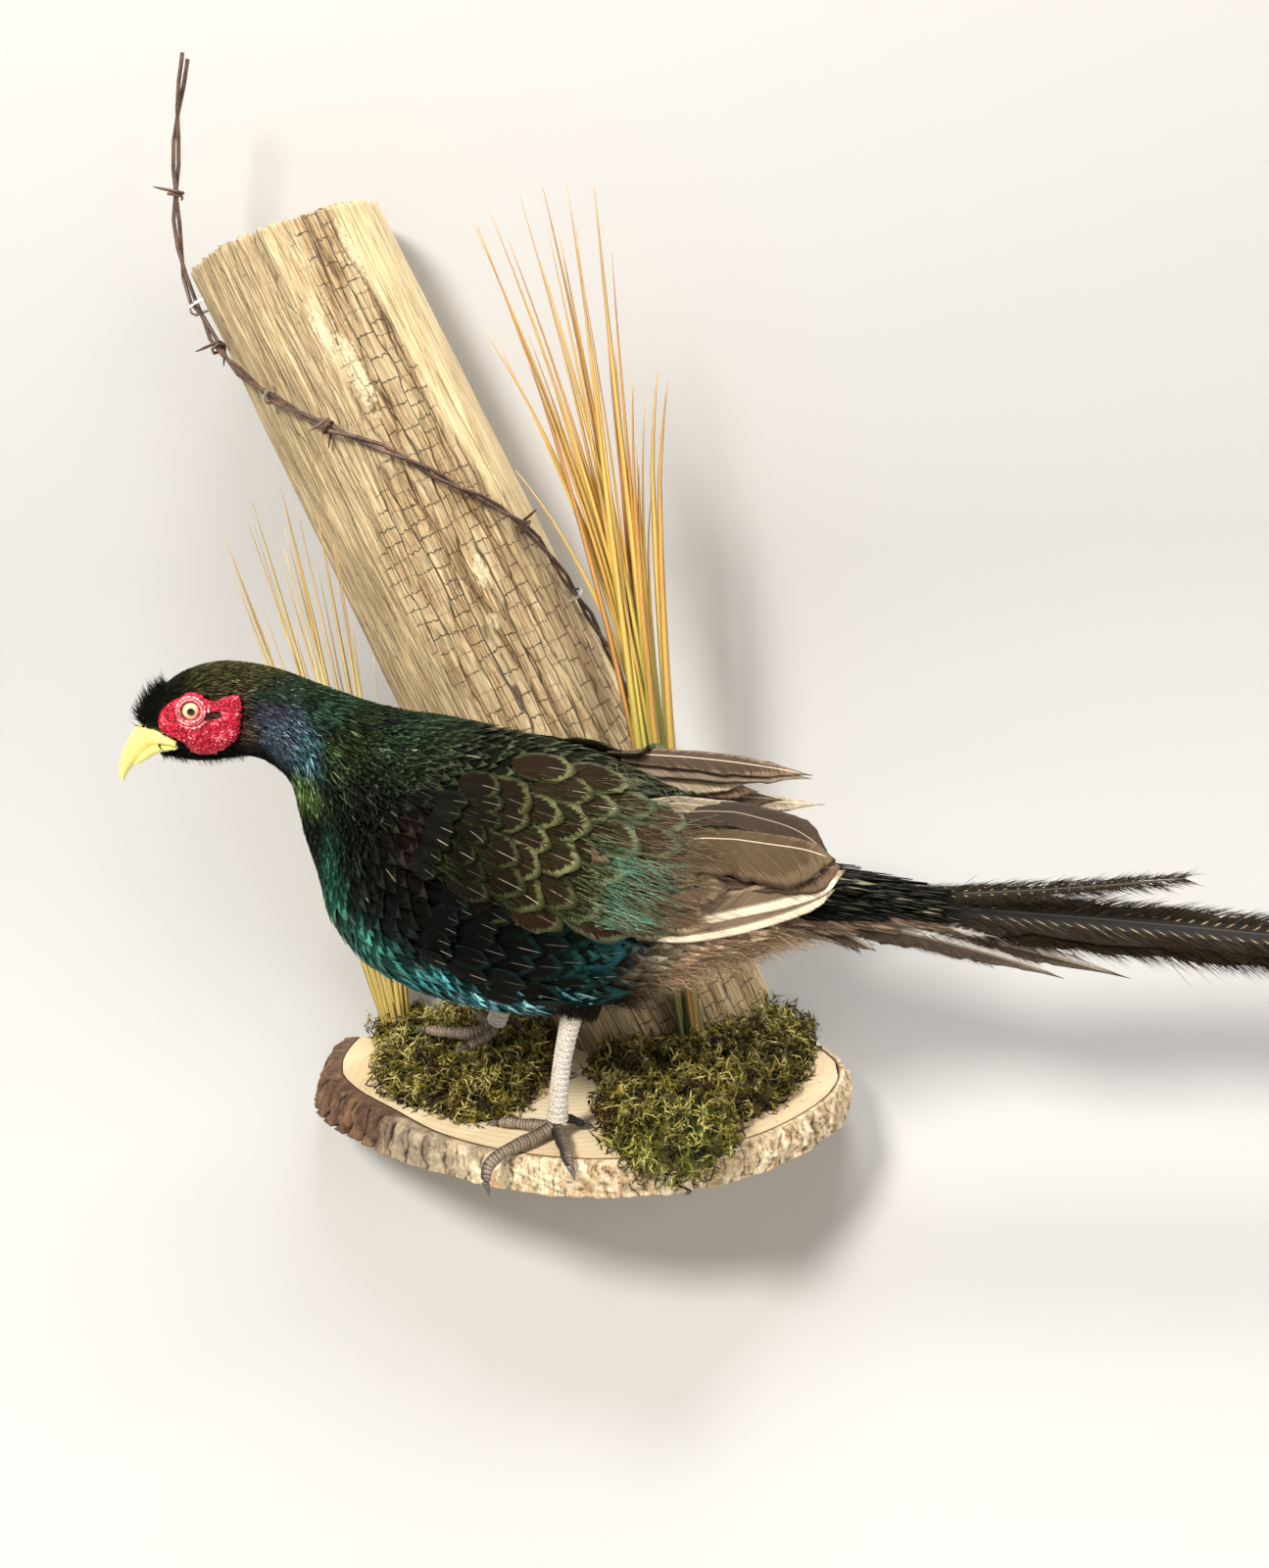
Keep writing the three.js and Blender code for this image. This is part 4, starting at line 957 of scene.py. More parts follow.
def bare(points, margin):
    """True where the red face skin or the bill's root is, so no feather roots there."""
    flat = np.stack([ahead_of_neck(points), points[:, 2]], axis=1)
    return within(flat, shrunk(FACE_OUTLINE, margin)) | within(flat, GAPE_OUTLINE)


def under_wing(points):
    """True where a folded wing hides the body, so no feather roots there."""
    left = (points[:, 1] < BODY_Y - 22) & within(points[:, [0, 2]], shrunk(LEFT_WING, 0.8))
    right = (points[:, 1] > BODY_Y + 34) & within(points[:, [0, 2]], shrunk(RIGHT_WING, 0.6))
    return left | right


def scale_coat(name, on_side, finish, seed):
    """Overlapping round-tipped feathers over one side of the trunk, as one piece."""
    draw = np.random.default_rng(seed)
    t, angle, beside = rooted(7.1, 15.9, 64, lambda t: 3.2 + 4.4 * smooth(t, 7, 11), draw)
    roots, _, _ = body_frame(t, angle)
    chosen = on_side(angle) & ~bare(roots, 1.05) & ~under_wing(roots)
    t, angle, beside, roots = t[chosen], angle[chosen], beside[chosen], roots[chosen]
    size = 0.75 + 0.25 * smooth(t, 7, 10)
    length = (8.0 + 9.5 * smooth(t, 7, 10.5) + 4 * smooth(t, 13, 15)) * varied(draw, len(t), 0.10)
    rows = 5
    v = np.linspace(0, 1, rows)
    tip_lift = 0.7 + 0.5 * draw.random(len(t))
    lift = -2.4 + (2.4 + tip_lift[:, None]) * v[None] ** 0.8
    spine, out = laid(t, angle, length, rows, lift, draw.normal(size=len(t)) * 0.02)
    profile = np.interp(v, [0, 0.3, 0.7, 1], [0.45, 0.85, 1.0, 0.55])
    half = (np.minimum(beside * 1.1, length * 0.36) * size)[:, None] * profile
    middle, rim = plumage(roots, draw)
    streaked = (draw.random(len(t)) < 0.05) & (t > 8)
    part = vanes(spine, out, half, middle, rim, body_uv(t, angle), draw, quill=streaked * 1.0, round_tip=0.26)
    place_part(name, part, finish)


def hair_coat(name, t_from, t_to, files, gap, length, radius, keep, finish, seed, tilt, spread=0.35):
    """Fine hair-like feathers that lie back over part of the body, as one piece."""
    draw = np.random.default_rng(seed)
    rows = 4
    t, angle, _ = rooted(t_from, t_to, files, lambda t: np.full(t.shape, gap), draw)
    t = t + draw.normal(size=len(t)) * 0.02
    roots, _, _ = body_frame(t, angle)
    chosen = keep(roots)
    t, angle, roots = t[chosen], angle[chosen], roots[chosen]
    long = (length(t) if callable(length) else length) * varied(draw, len(t), 0.18)
    v = np.linspace(0, 1, rows)
    lift = -1.2 + (1.2 + (tilt * long * (0.6 + 0.6 * draw.random(len(t))))[:, None] * 0.35) * v[None] ** 0.9
    sway = draw.normal(size=len(t)) * 0.05 + 0.05 * ripple(roots, 9, seed)
    spine, out = laid(t, angle, long, rows, lift, sway)
    middle, rim = plumage(roots, draw, spread)
    clump = 1 + 0.55 * np.clip(ripple(roots, 2.4, seed) + 0.6 * ripple(roots, 6.5, seed + 1), -1.2, 1.6)
    streak = varied(draw, len(t), 0.5)
    middle[:, :3] = lerp(middle[:, :3], rim[:, :3], 0.35) * (clump * streak)[:, None]
    part = strands(spine, out, np.full(len(t), radius) * varied(draw, len(t), 0.2), middle, rim,
                   body_uv(t, angle), draw)
    place_part(name, part, finish)


def make_coat(satin, velvet):
    for hand, seed, on_side in (("left", 11, lambda angle: np.sin(angle) > 0),
                                ("right", 12, lambda angle: np.sin(angle) <= 0)):
        scale_coat(f"breast_and_back_feathers_{hand}", on_side, satin, seed)
    hair_coat("head_feathers", 0.15, 5.9, 118, 1.25, 5.0, 0.34, lambda p: ~bare(p, 0.99), velvet,
              13, 0.22)
    hair_coat("neck_feathers", 4.6, 9.3, 130, 1.75, lambda t: 5.0 + 6.0 * smooth(t, 6.2, 8.0), 0.48,
              lambda p: ~bare(p, 1.02), velvet, 14, 0.24, spread=0.5)
    hair_coat("body_wisps", 8.8, 15.8, 100, 8.0, 9.0, 0.22,
              lambda p: ~under_wing(p) & (ripple(p, 30, 8) > 0.1), velvet, 15, 0.12)


# ---- bigger feathers, each along a path of its own ------------------------------------------------

UV_COLUMNS, UV_ROWS = 24, 8                      # each big feather bakes on its own cell of this grid


def big_feathers(paths, out, widths, colours, draw, shape, quill, columns=7, uv_start=0,
                 camber=0.16, round_tip=0.12, notch=0.05, skew=0.0):
    """Feathers whose colours are [middle, rim, rim width] each; each has a strip of its own to bake on."""
    count, rows, _ = paths.shape
    v = np.linspace(0, 1, rows)
    profile = np.interp(v, *shape)
    half = np.asarray(widths)[:, None] / 2 * profile[None]
    change = varied(draw, (count, 1), 0.14)
    middle = np.column_stack([np.array([tint(c[0]) for c in colours]) * change, np.ones(count)])
    pale = 0.6 + 0.9 * draw.random((count, 1))
    rim = np.column_stack([np.array([tint(c[1]) for c in colours]) * change * pale, [c[2] for c in colours]])
    at = uv_start + np.arange(count)
    root_uv = np.stack([(at % UV_COLUMNS + 0.5) / UV_COLUMNS, (at // UV_COLUMNS + 0.5) / UV_ROWS], axis=1)
    return vanes(paths, out, half, middle, rim, root_uv, draw, columns=columns, camber=camber, thick=0.35,
                 round_tip=round_tip, quill=quill, patch=np.array([0.9 / UV_COLUMNS, 0.11]), notch=notch,
                 skew=skew)


def bowed(root, tip, sag, rows):
    """Midlines from roots to tips, each bowed down by sag at its middle control point."""
    root, tip = np.asarray(root, float), np.asarray(tip, float)
    middle = (root + tip) / 2 - np.outer(np.asarray(sag, float), UP)
    v = np.linspace(0, 1, rows)[None, :, None]
    return (1 - v) ** 2 * root[:, None] + 2 * v * (1 - v) * middle[:, None] + v ** 2 * tip[:, None]


def fringe(spine, out, half, colours, draw, each_side, length, angle, radius=0.22, droop=0.0, end=1.0):
    """Loose barbs that stand out from both edges of vanes, as on a dried tail."""
    count, rows, _ = spine.shape
    along, across, up = frames(spine, out)
    n = each_side * 2
    v = draw.uniform(0.15, end, (count, n))
    side = np.where(np.arange(n) % 2, 1.0, -1.0)[None]
    pick = v * (rows - 1)
    i = np.clip(np.floor(pick).astype(int), 0, rows - 2)
    w = (pick - i)[..., None]
    f = np.arange(count)[:, None]
    at = lambda field: field[f, i] * (1 - w) + field[f, i + 1] * w
    wide = at(half[..., None])[..., 0]
    long = length * varied(draw, (count, n), 0.35)
    lean = angle * varied(draw, (count, n), 0.25)
    root = at(spine) + at(across) * (side * wide * 0.55)[..., None]
    steps = np.linspace(0, 1, 4)
    reach = wide * 0.45 + long * np.sin(lean)
    ahead = long * np.cos(lean) + wide * 0.6
    rise = draw.normal(size=(count, n)) * 0.10 * long
    lines = (root[:, :, None]
             + at(across)[:, :, None] * (side * reach)[..., None, None] * steps[:, None] ** 0.9
             + at(along)[:, :, None] * ahead[..., None, None] * steps[:, None] ** 1.2
             + at(up)[:, :, None] * rise[..., None, None] * steps[:, None] ** 2
             - UP * (droop * long)[..., None, None] * steps[:, None] ** 2)
    outs = np.broadcast_to(at(up)[:, :, None], lines.shape).reshape(-1, 4, 3)
    lines = lines.reshape(-1, 4, 3)
    middle, rim = loose_colours(*colours, varied(draw, (len(lines), 1), 0.35))
    uv = np.stack([np.repeat((np.arange(count) + 0.5) / count, n) * 0.9
                   + draw.uniform(-0.02, 0.02, len(lines)), 0.5 + (v.ravel() - 0.5) * 0.9], axis=1)
    return strands(lines, outs, np.full(len(lines), radius), middle, rim, uv, draw)


# ---- wings ----------------------------------------------------------------------------------------

# Rows from the shoulder back: the top root and the bottom root [x, z], count, length, width, slope at the
# top and at the bottom in degrees below level, middle colour, rim colour, rim width.
SCAPULARS = [
    (-38, 190, -52, 158, 8, 17, 10, 12, 34, "0a0907", "15160e", 0.19),
    (-28, 197, -40, 150, 7, 23, 13, 13, 34, "0e0a07", "262819", 0.19),
    (-17, 200, -28, 146, 5, 30, 19, 13, 33, "140d08", "3a3c24", 0.19),
    (-5, 200, -17, 143, 5, 31, 19, 13, 33, "1a110a", "4c4d31", 0.19),
    (8, 199, -5, 140, 5, 32, 20, 14, 32, "1e140c", "55563a", 0.19),
    (21, 196, 7, 138, 5, 33, 20, 14, 31, "21160e", "56583e", 0.21),
    (34, 191, 18, 136, 5, 35, 20, 15, 30, "271b12", "545c44", 0.24),
]
COVERTS = [
    (46, 184, 28, 134, 4, 38, 20, 16, 28, "2c2118", "546049", 0.24),
    (56, 174, 38, 132, 4, 40, 18, 16, 26, "3c2f24", "665f49", 0.24),
    (64, 160, 50, 131, 3, 40, 17, 15, 20, "665341", "8f7b63", 0.24),
]
# Feathers that make the folded wing's end, lowest first: the path [x, z] of the quill, width, how far the
# vane lies below the quill from -1 to 1, middle and rim colours, rim width, and whether the lower vane is
# white.
NEAR_FLIGHT = [
    ([(51, 121.5), (70, 117.5), (96, 118), (124, 122.5), (139, 127), (149, 131)],
     13, -0.25, "6b5a48", "8a7863", 0.25, True),
    ([(56, 126), (78, 125.5), (101, 127.5), (124, 130), (141, 133.5), (154, 139)],
     15, -0.25, "6b5a48", "8a7863", 0.25, True),
    ([(44, 154), (80, 149), (120, 143), (140, 141), (152, 140.5)], 26, 0.0, "3a2d23", "5a4839", 0.25, False),
    ([(50, 180), (78, 172), (96, 167), (113, 162.5)], 13, 0.0, "6b5f50", "8f816c", 0.35, False),
    ([(44, 175), (80, 169), (111, 162), (130, 156), (145, 147)], 20, 0.1, "2e241c", "4a3c30", 0.30, False),
    ([(36, 169), (80, 159.5), (98, 155.5), (116, 152), (135, 148), (149, 143)],
     31, 0.5, "493a29", "6b5944", 0.20, False),
]


def sloped(start, slopes, lengths, rows, bow=0.12):
    """Paths of [x, z] that leave their roots at a slope below level and bend a little more down."""
    v = np.linspace(0, 1, rows)[None]
    slope = np.radians(slopes)[:, None] * (1 - bow + 2 * bow * v)
    step = (lengths / (rows - 1))[:, None]
    x = (start[:, :1] + np.concatenate(
        [np.zeros((len(start), 1)), np.cumsum(np.cos(slope[:, 1:]) * step, axis=1)], axis=1))
    z = (start[:, 1:] - np.concatenate(
        [np.zeros((len(start), 1)), np.cumsum(np.sin(slope[:, 1:]) * step, axis=1)], axis=1))
    return np.stack([x, z], axis=-1)


def wing_rows(rows_of, tree, hand, draw, lift, end=0.6):
    """Rows of coverts; each later row toward the shoulder lies over the one behind it."""
    parts, used = [], 0
    for order, row in enumerate(reversed(rows_of)):
        x0, z0, x1, z1, count, long, wide, slope0, slope1, code, rim_code, rim_width = row
        share = (np.arange(count) + 0.25 + 0.5 * (order % 2) + draw.uniform(-0.12, 0.12, count)) / count
        start = (np.stack([lerp(x0, x1, share), lerp(z0, z1, share)], axis=1)
                 + draw.normal(size=(count, 2)) * 1.0)
        lengths = long * varied(draw, count, 0.09)
        path = sloped(start, lerp(slope0, slope1, share) + draw.normal(size=count) * 3, lengths, 8)
        spine, out = drape(tree, path, hand)
        v = np.linspace(0, 1, 8)[None, :, None]
        height = lift + 0.45 * order - 1.6 + 2.2 * v ** 0.8
        spine = spine + out * height
        colours = [(code, rim_code, rim_width)] * count
        parts.append(big_feathers(spine, out, wide * varied(draw, count, 0.08), colours, draw,
                                  uv_start=used,
                                  shape=([0, 0.2, 0.6, 0.85, 0.95, 1], [0.4, 0.9, 1.0, 0.95, 0.84, end]),
                                  round_tip=0.17, quill=draw.uniform(0.1, 1.0, count), camber=0.10,
                                  notch=0.0))
        used += count
    return join_parts(parts)


def row_wisps(rows_of, tree, hand, draw, lift, per_feather, code, rim_code, radius=0.2, low=0.0):
    """Loose barbs over the ends of rows of coverts, from a share low down each row to its bottom."""
    lines, outs = [], []
    for row in rows_of:
        x0, z0, x1, z1, count, long, _, slope0, slope1 = row[:9]
        n = count * per_feather
        share = draw.uniform(low, 1.0, n)
        start = np.stack([lerp(x0, x1, share), lerp(z0, z1, share)], axis=1)
        slope = lerp(slope0, slope1, share)
        ahead = draw.uniform(0.45, 0.85, n) * long
        start = (start
                 + np.stack([np.cos(np.radians(slope)), -np.sin(np.radians(slope))], axis=1) * ahead[:, None])
        path = sloped(start, slope + draw.normal(size=n) * 8, draw.uniform(8, 19, n), 4, 0.3)
        spine, out = drape(tree, path, hand)
        rise = lift + draw.uniform(0.2, 1.6, (n, 1, 1)) * np.linspace(0, 1, 4)[None, :, None]
        lines.append(spine + out * rise)
        outs.append(out)
    lines, outs = np.concatenate(lines), np.concatenate(outs)
    middle, rim = loose_colours(code, rim_code, varied(draw, (len(lines), 1), 0.4), 0.5)
    uv = inset(np.stack([draw.random(len(lines)), draw.random(len(lines))], axis=1))
    return strands(lines, outs, np.full(len(lines), radius), middle, rim, uv, draw)


def wing_sheet(flat, hand):
    """Drops paths of [x, z] on to the folded wing's smooth outer form, with the way it faces."""
    x, z = flat[..., 0], flat[..., 1]
    level = np.clip(138 - 0.35 * (x - 69), 127, 150)
    over = np.maximum(0, z - level)
    depth = 61.8 - 0.33 * (x - 50) - 0.024 * over ** 2
    out = np.stack([0.33 + 0 * x, hand + 0 * x, 0.048 * over], axis=-1)
    return np.stack([x, BODY_Y + hand * depth, z], axis=-1), unit(out)


def flight_parts(flights, hand, draw, lift, white):
    """The long wing feathers of one side, lowest first; white picks those with pale lower vanes."""
    parts = []
    for order, (path, wide, skew, code, rim_code, rim_width, pale) in enumerate(flights):
        if pale != white:
            continue
        flat = through(np.array(path, float), np.linspace(0, len(path) - 1, 26))[None]
        spine, out = wing_sheet(flat, hand)
        sunk = 7 * (1 - smooth(np.linspace(0, 1, 26), 0.0, 0.3))[None, :, None]
        spine = spine + out * (lift + 0.6 * order - sunk)
        parts.append(big_feathers(spine, out, [wide], [(code, rim_code, rim_width)], draw, uv_start=order,
                                  columns=11, notch=0.03, camber=0.10, skew=skew, quill=0.9, round_tip=0.05,
                                  shape=([0, 0.1, 0.35, 0.75, 0.9, 0.97, 1],
                                         [0.5, 0.75, 0.95, 1.0, 0.8, 0.5, 0.15])))
    return parts


FAR_FLIGHT = [
    ((58, -139, 152), (119, -139, 142.5), -2, 15), ((56, -142, 163), (120, -141, 158), -2, 12),
    ((60, -142, 160), (142, -140, 154.5), -2, 10), ((60, -146, 172), (108, -143, 163), -1, 12),
    ((50, -148, 175), (104, -144, 168), -2, 14), ((40, -149, 181), (136, -145, 169.5), -5, 13),
    ((38, -150, 187), (137, -145, 171), -5, 12),
]
FAR_COLOURS = [("2e251c", "534436"), ("352a1f", "5b4b3a"), ("7a6d5b", "a1937b"), ("524132", "775f4a"),
               ("7e715d", "a5967c"), ("685a4d", "91806a"), ("493b31", "725f4c")]
FAR_FACE = np.array([0.05, -1, 0.5]) / np.linalg.norm([0.05, -1, 0.5])


def make_wings(satin, flight, primary, velvet):
    near = surface_of("trunk", "neck", "wing_left", "thigh_left")
    draw = np.random.default_rng(21)
    coverts = wing_rows(SCAPULARS + COVERTS, near, NEAR, draw, 0.2)
    place_part("wing_coverts_left", coverts, satin, ["wing_left"])
    brown = join_parts(flight_parts(NEAR_FLIGHT, NEAR, draw, 0.0, False))
    place_part("wing_secondaries_left", brown, flight)
    white = join_parts(flight_parts(NEAR_FLIGHT, NEAR, draw, 0.6, True))
    place_part("wing_primaries_left", white, primary)
    wisps = join_parts([
        row_wisps(SCAPULARS[:6], near, NEAR, draw, 2.2, 22, "232a15", "4d5b33"),
        row_wisps(SCAPULARS[6:] + COVERTS[:1], near, NEAR, draw, 2.2, 24, "4a6e5a", "a4c8b0", 0.18, 0.4),
        row_wisps(SCAPULARS[5:] + COVERTS[:2], near, NEAR, draw, 2.2, 16, "565a40", "989a78", 0.17),
        row_wisps(COVERTS, near, NEAR, draw, 2.2, 34, "5a4838", "9d8a70", 0.17),
    ])
    place_part("wing_wisps_left", wisps, velvet)

    far = surface_of("trunk", "neck", "wing_right", "thigh_right")
    draw = np.random.default_rng(22)
    coverts = wing_rows(SCAPULARS, far, FAR, draw, 0.2)
    place_part("wing_coverts_right", coverts, satin, ["wing_right"])
    root, tip, sag, wide = (np.array(c, float) for c in zip(*FAR_FLIGHT))
    spine = bowed(root, tip, sag, 20)
    out = np.broadcast_to(FAR_FACE, spine.shape).copy()
    spine = spine + out * (np.arange(len(root)) * 0.5)[:, None, None]
    fans = big_feathers(spine, out, wide, [(a, b, 0.3) for a, b in FAR_COLOURS], draw, columns=9, quill=0.8,
                        skew=0.3, shape=([0, 0.12, 0.55, 0.85, 0.95, 1], [0.5, 0.8, 1.0, 0.7, 0.35, 0.08]))
    place_part("wing_flight_right", fans, flight)


# ---- flank, vent and tail -------------------------------------------------------------------------

# Rows of broad square-ended feathers that lie over the wing's lower edge, in the form of the wing's rows.
FLANKS = [
    (-38, 148, -54, 112, 7, 17, 11, 24, 20, "040404", "0b1110", 0.28),
    (-25, 142, -44, 99, 6, 22, 14, 19, 16, "040404", "0b1413", 0.28),
    (-12, 138, -31, 90, 5, 25, 16, 14, 12, "040504", "0c1a18", 0.28),
    (1, 135, -17, 82, 4, 28, 19, 9, 9, "050606", "0e211f", 0.28),
    (14, 132, -4, 76, 4, 29, 20, 5, 5, "040b0a", "0f2725", 0.40),
    (27, 128, 9, 72, 4, 28, 19, 2, 1, "071514", "173c40", 0.50),
]
TAIL_ROOT = np.array([136.0, -180.0, 116.0])
TAIL_LENGTH = 455.0


def tail_tip(share, y, drop):
    return (TAIL_ROOT[0] + TAIL_LENGTH * share, y, TAIL_ROOT[2] - drop)


ROOF = (0, -0.4, 1)
# Each tail feather: root, tip, sag, width, the way its face looks.
TAIL_CENTRE = [
    (tuple(TAIL_ROOT), tail_tip(1, -178, 60), -13, 36, (0, -0.35, 1)),
    ((138, -180, 112), tail_tip(0.86, -182, 49), -11, 36, (0, -0.6, 1)),
    ((138, -180, 118), tail_tip(0.4, -176, -6), 5, 12, ROOF),
    ((138, -182, 114), tail_tip(0.62, -186, 44), -10, 30, (0, -0.8, 1)),
]
TAIL_SIDES = [
    ((140, -190, 111), tail_tip(0.34, -195, 39), -8, 17, (0, -1, 0.35)),
    ((138, -191, 110), tail_tip(0.27, -197, 38), -7, 16, (0, -1, 0.35)),
    ((136, -193, 110), tail_tip(0.07, -201, 21), -1, 12, (0, -1, 0.35)),
    ((140, -170, 111), tail_tip(0.34, -163, 40), -8, 17, (0, 1, 0.35)),
    ((138, -169, 110), tail_tip(0.27, -160, 39), -7, 16, (0, 1, 0.35)),
]


def tail_feathers(rows, colours, draw, quill):
    points = 30
    root, tip, sag, wide, face = (np.array(c, float) for c in zip(*rows))
    spine = bowed(root, tip, sag, points)
    out = np.repeat(unit(face)[:, None], points, axis=1)
    shape = ([0, 0.06, 0.3, 0.6, 0.9, 0.97, 1], [0.35, 0.7, 1.0, 0.85, 0.42, 0.2, 0.05])
    part = big_feathers(
        spine, out, wide * 0.86, colours, draw, columns=9, quill=quill, shape=shape, notch=0.12)
    half = wide[:, None] / 2 * np.interp(np.linspace(0, 1, points), *shape) * 0.86
    return part, spine, out, half


def make_tail(tail, two_toned, velvet):
    draw = np.random.default_rng(31)
    centre_colours = [("1d1b1a", "2f2822", 0.5), ("171412", "3a3026", 0.5), ("141210", "2b251f", 0.4),
                      ("1b1613", "3f3428", 0.5)]
    centre, spine, out, half = tail_feathers(TAIL_CENTRE, centre_colours, draw, 0.15)
    place_part("tail_centre_vanes", centre, tail, ["tail_centre"])
    loose = fringe(spine, out, half, ("221a13", "5a4936"), draw, 620, 7.0, angle=0.5, droop=0.12)
    place_part("tail_centre_fringe", loose, velvet)
    sides, spine, out, half = tail_feathers(TAIL_SIDES, [("332a23", "54473b", 0.3)] * 5, draw, 0.45)
    place_part("tail_side_vanes", sides, two_toned, ["tail_side_left", "tail_side_right"])
    loose = fringe(spine, out, half, ("3f352c", "6b5d4d"), draw, 130, 3.0, angle=0.3, radius=0.16, end=0.7)
    place_part("tail_side_fringe", loose, velvet)


def make_tail_coverts(satin):
    """Long soft feathers over and under the tail's root."""
    draw = np.random.default_rng(32)
    count = 620
    round_ = draw.uniform(0, TURN, count)
    start = draw.uniform(0, 1, count)
    x = 112 + 58 * start
    high, wide, middle_z = (np.interp(x, [112, 149, 185, 220], by)
                            for by in ([22, 12, 11, 8], [30, 15, 13, 10], [118, 116, 107, 101]))
    root = np.stack([x, -180 + np.sin(round_) * wide * 0.8, middle_z + np.cos(round_) * high * 0.8], axis=1)
    face = unit(np.stack([np.zeros(count), np.sin(round_), np.cos(round_) + 0.05], axis=1))
    long = draw.uniform(26, 48, count)
    tip = root + np.stack([long, np.sin(round_) * 3, -long * 0.14 + np.cos(round_) * 3], axis=1)
    spine = bowed(root, tip, np.full(count, -2.0), 6)
    out = np.repeat(face[:, None], 6, axis=1)
    top = np.cos(round_) > -0.1
    edged = draw.random(count) < 0.08
    colours = [("14130f", "7d775f", 0.35) if up and light else ("090907", "1b1b16", 0.4) if up
               else ("4a3d32", "7d6c58", 0.5) for up, light in zip(top, edged)]
    part = big_feathers(spine, out, draw.uniform(5, 9, count), colours, draw, columns=3, quill=0.15,
                        round_tip=0.3, shape=([0, 0.3, 0.7, 1], [0.4, 1.0, 0.9, 0.2]))
    uv = inset(np.stack([round_ / TURN, start], axis=1))
    each = len(part["points"]) // count
    part["uvs"]["OFBake"] = np.repeat(uv, each, axis=0) + (part["uvs"]["Vane"] - 0.5) * BAKE_PATCH
    place_part("tail_covert_feathers", part, satin, ["tail_coverts"])


def make_vent(velvet):
    """Loose hair-like down under the rump, combed back and hanging a little below the body."""
    draw = np.random.default_rng(33)
    count = 9000
    t = draw.uniform(12.7, 16.4, count)
    angle = math.pi + draw.normal(size=count) * 0.62
    keep = (t > 13.0 + 0.9 * np.abs(angle - math.pi)) & (np.abs(angle - math.pi) < 1.5)
    t, angle = t[keep], angle[keep]
    count = len(t)
    root, out, _ = body_frame(t, angle)
    v = np.linspace(0, 1, 5)[None, :, None]
    clump = ripple(root, 12, 3)
    long = (12 + 6 * clump + draw.normal(size=count) * 3).clip(5, 26)
    back = unit(np.array([1.0, 0, 0.12]) + draw.normal(size=(count, 3)) * 0.16)
    curl = draw.normal(size=(count, 3)) * 0.12
    lines = (root - out * 1.5)[:, None] + back[:, None] * (long[:, None, None] * v)
    lines = lines + out[:, None] * (long[:, None, None] * 0.22) * v ** 0.8
    lines = lines - UP * (long[:, None, None] * (0.16 + 0.14 * clump[:, None, None])) * v ** 2
    lines = lines + curl[:, None] * long[:, None, None] * np.sin(v * 4)
    outs = np.repeat(out[:, None], 5, axis=1)
    middle, rim = plumage(root, draw, 0.4)
    part = strands(lines, outs, np.full(count, 0.26), middle, rim, body_uv(np.minimum(t, LAST), angle), draw)
    place_part("vent_down", part, velvet)


def make_flanks(satin):
    for hand, seed in ((NEAR, 41), (FAR, 42)):
        name = SIDE_NAMES[hand]
        tree = surface_of("trunk", "neck", f"wing_{name}")
        draw = np.random.default_rng(seed)
        feathers = wing_rows(FLANKS, tree, hand, draw, 1.8, 0.5)
        place_part(f"flank_feathers_{name}", feathers, satin)


# ---- head -----------------------------------------------------------------------------------------

EYE_RADIUS = 5.6
EYE_STATION, EYE_HEIGHT = 2.45, 0.21


def eye_place(hand):
    centre, up, side, high, wide = body_section(np.array(EYE_STATION))
    side = side * -hand
    return centre + up * high * EYE_HEIGHT + side * (wide - EYE_RADIUS * 0.62), side


def face_finish():
    n = new_finish("wattle_skin")
    place_ = n.object_place()
    bumps = n.node("TexVoronoi", {"Vector": place_, "Scale": 780.0}).outputs["Distance"]
    lid = n.attribute("lid", "Fac")
    fold = n.attribute("fold", "Fac")
    patches = n.noise(place_, 190.0, 3.0, 0.6)
    # Each pimple is painted lighter on its raised crown and darker in the gaps between pimples, as painted
    # highlight and painted shade. In some patches its crown is near white, as painted glints.
    plain = n.ramp(bumps, (0.08, "ff4a66"), (0.26, "e8143c"), (0.62, "7a0016"))
    pimples_with_painted_glints = n.ramp(bumps, (0.14, "ffe0d8"), (0.28, "f0405e"), (0.60, "98041e"))
    colour = n.mix(n.range(patches, 0.46, 0.58), plain, pimples_with_painted_glints)
    # The lid rings are pale pink. This is partly the lids' own colour and partly painted highlight along
    # their raised crests.
    colour = n.mix(n.range(lid, 0.25, 0.7), colour, n.mix(n.range(bumps, 0.2, 0.6), "ffe6da", "dc6070"))
    # Painted shade: the crease behind the eye is darkened almost to black.
    colour = n.mix(
        n.range(fold, 0.15, 0.7, 0.0, 0.95), colour, n.ramp(bumps, (0.1, "3a1410"), (0.4, "0c0403")))
    finish = close_finish(n, colour, n.range(bumps, 0.0, 0.6, 0.34, 0.55), n.times(bumps, -1.0), 0.8, 0.0009,
                          Subsurface_Weight=0.04, Subsurface_Scale=0.002, Specular_IOR_Level=0.3)
    finish.node_tree.nodes["Principled BSDF"].inputs["Subsurface Radius"].default_value = (1.0, 0.3, 0.2)
    return finish


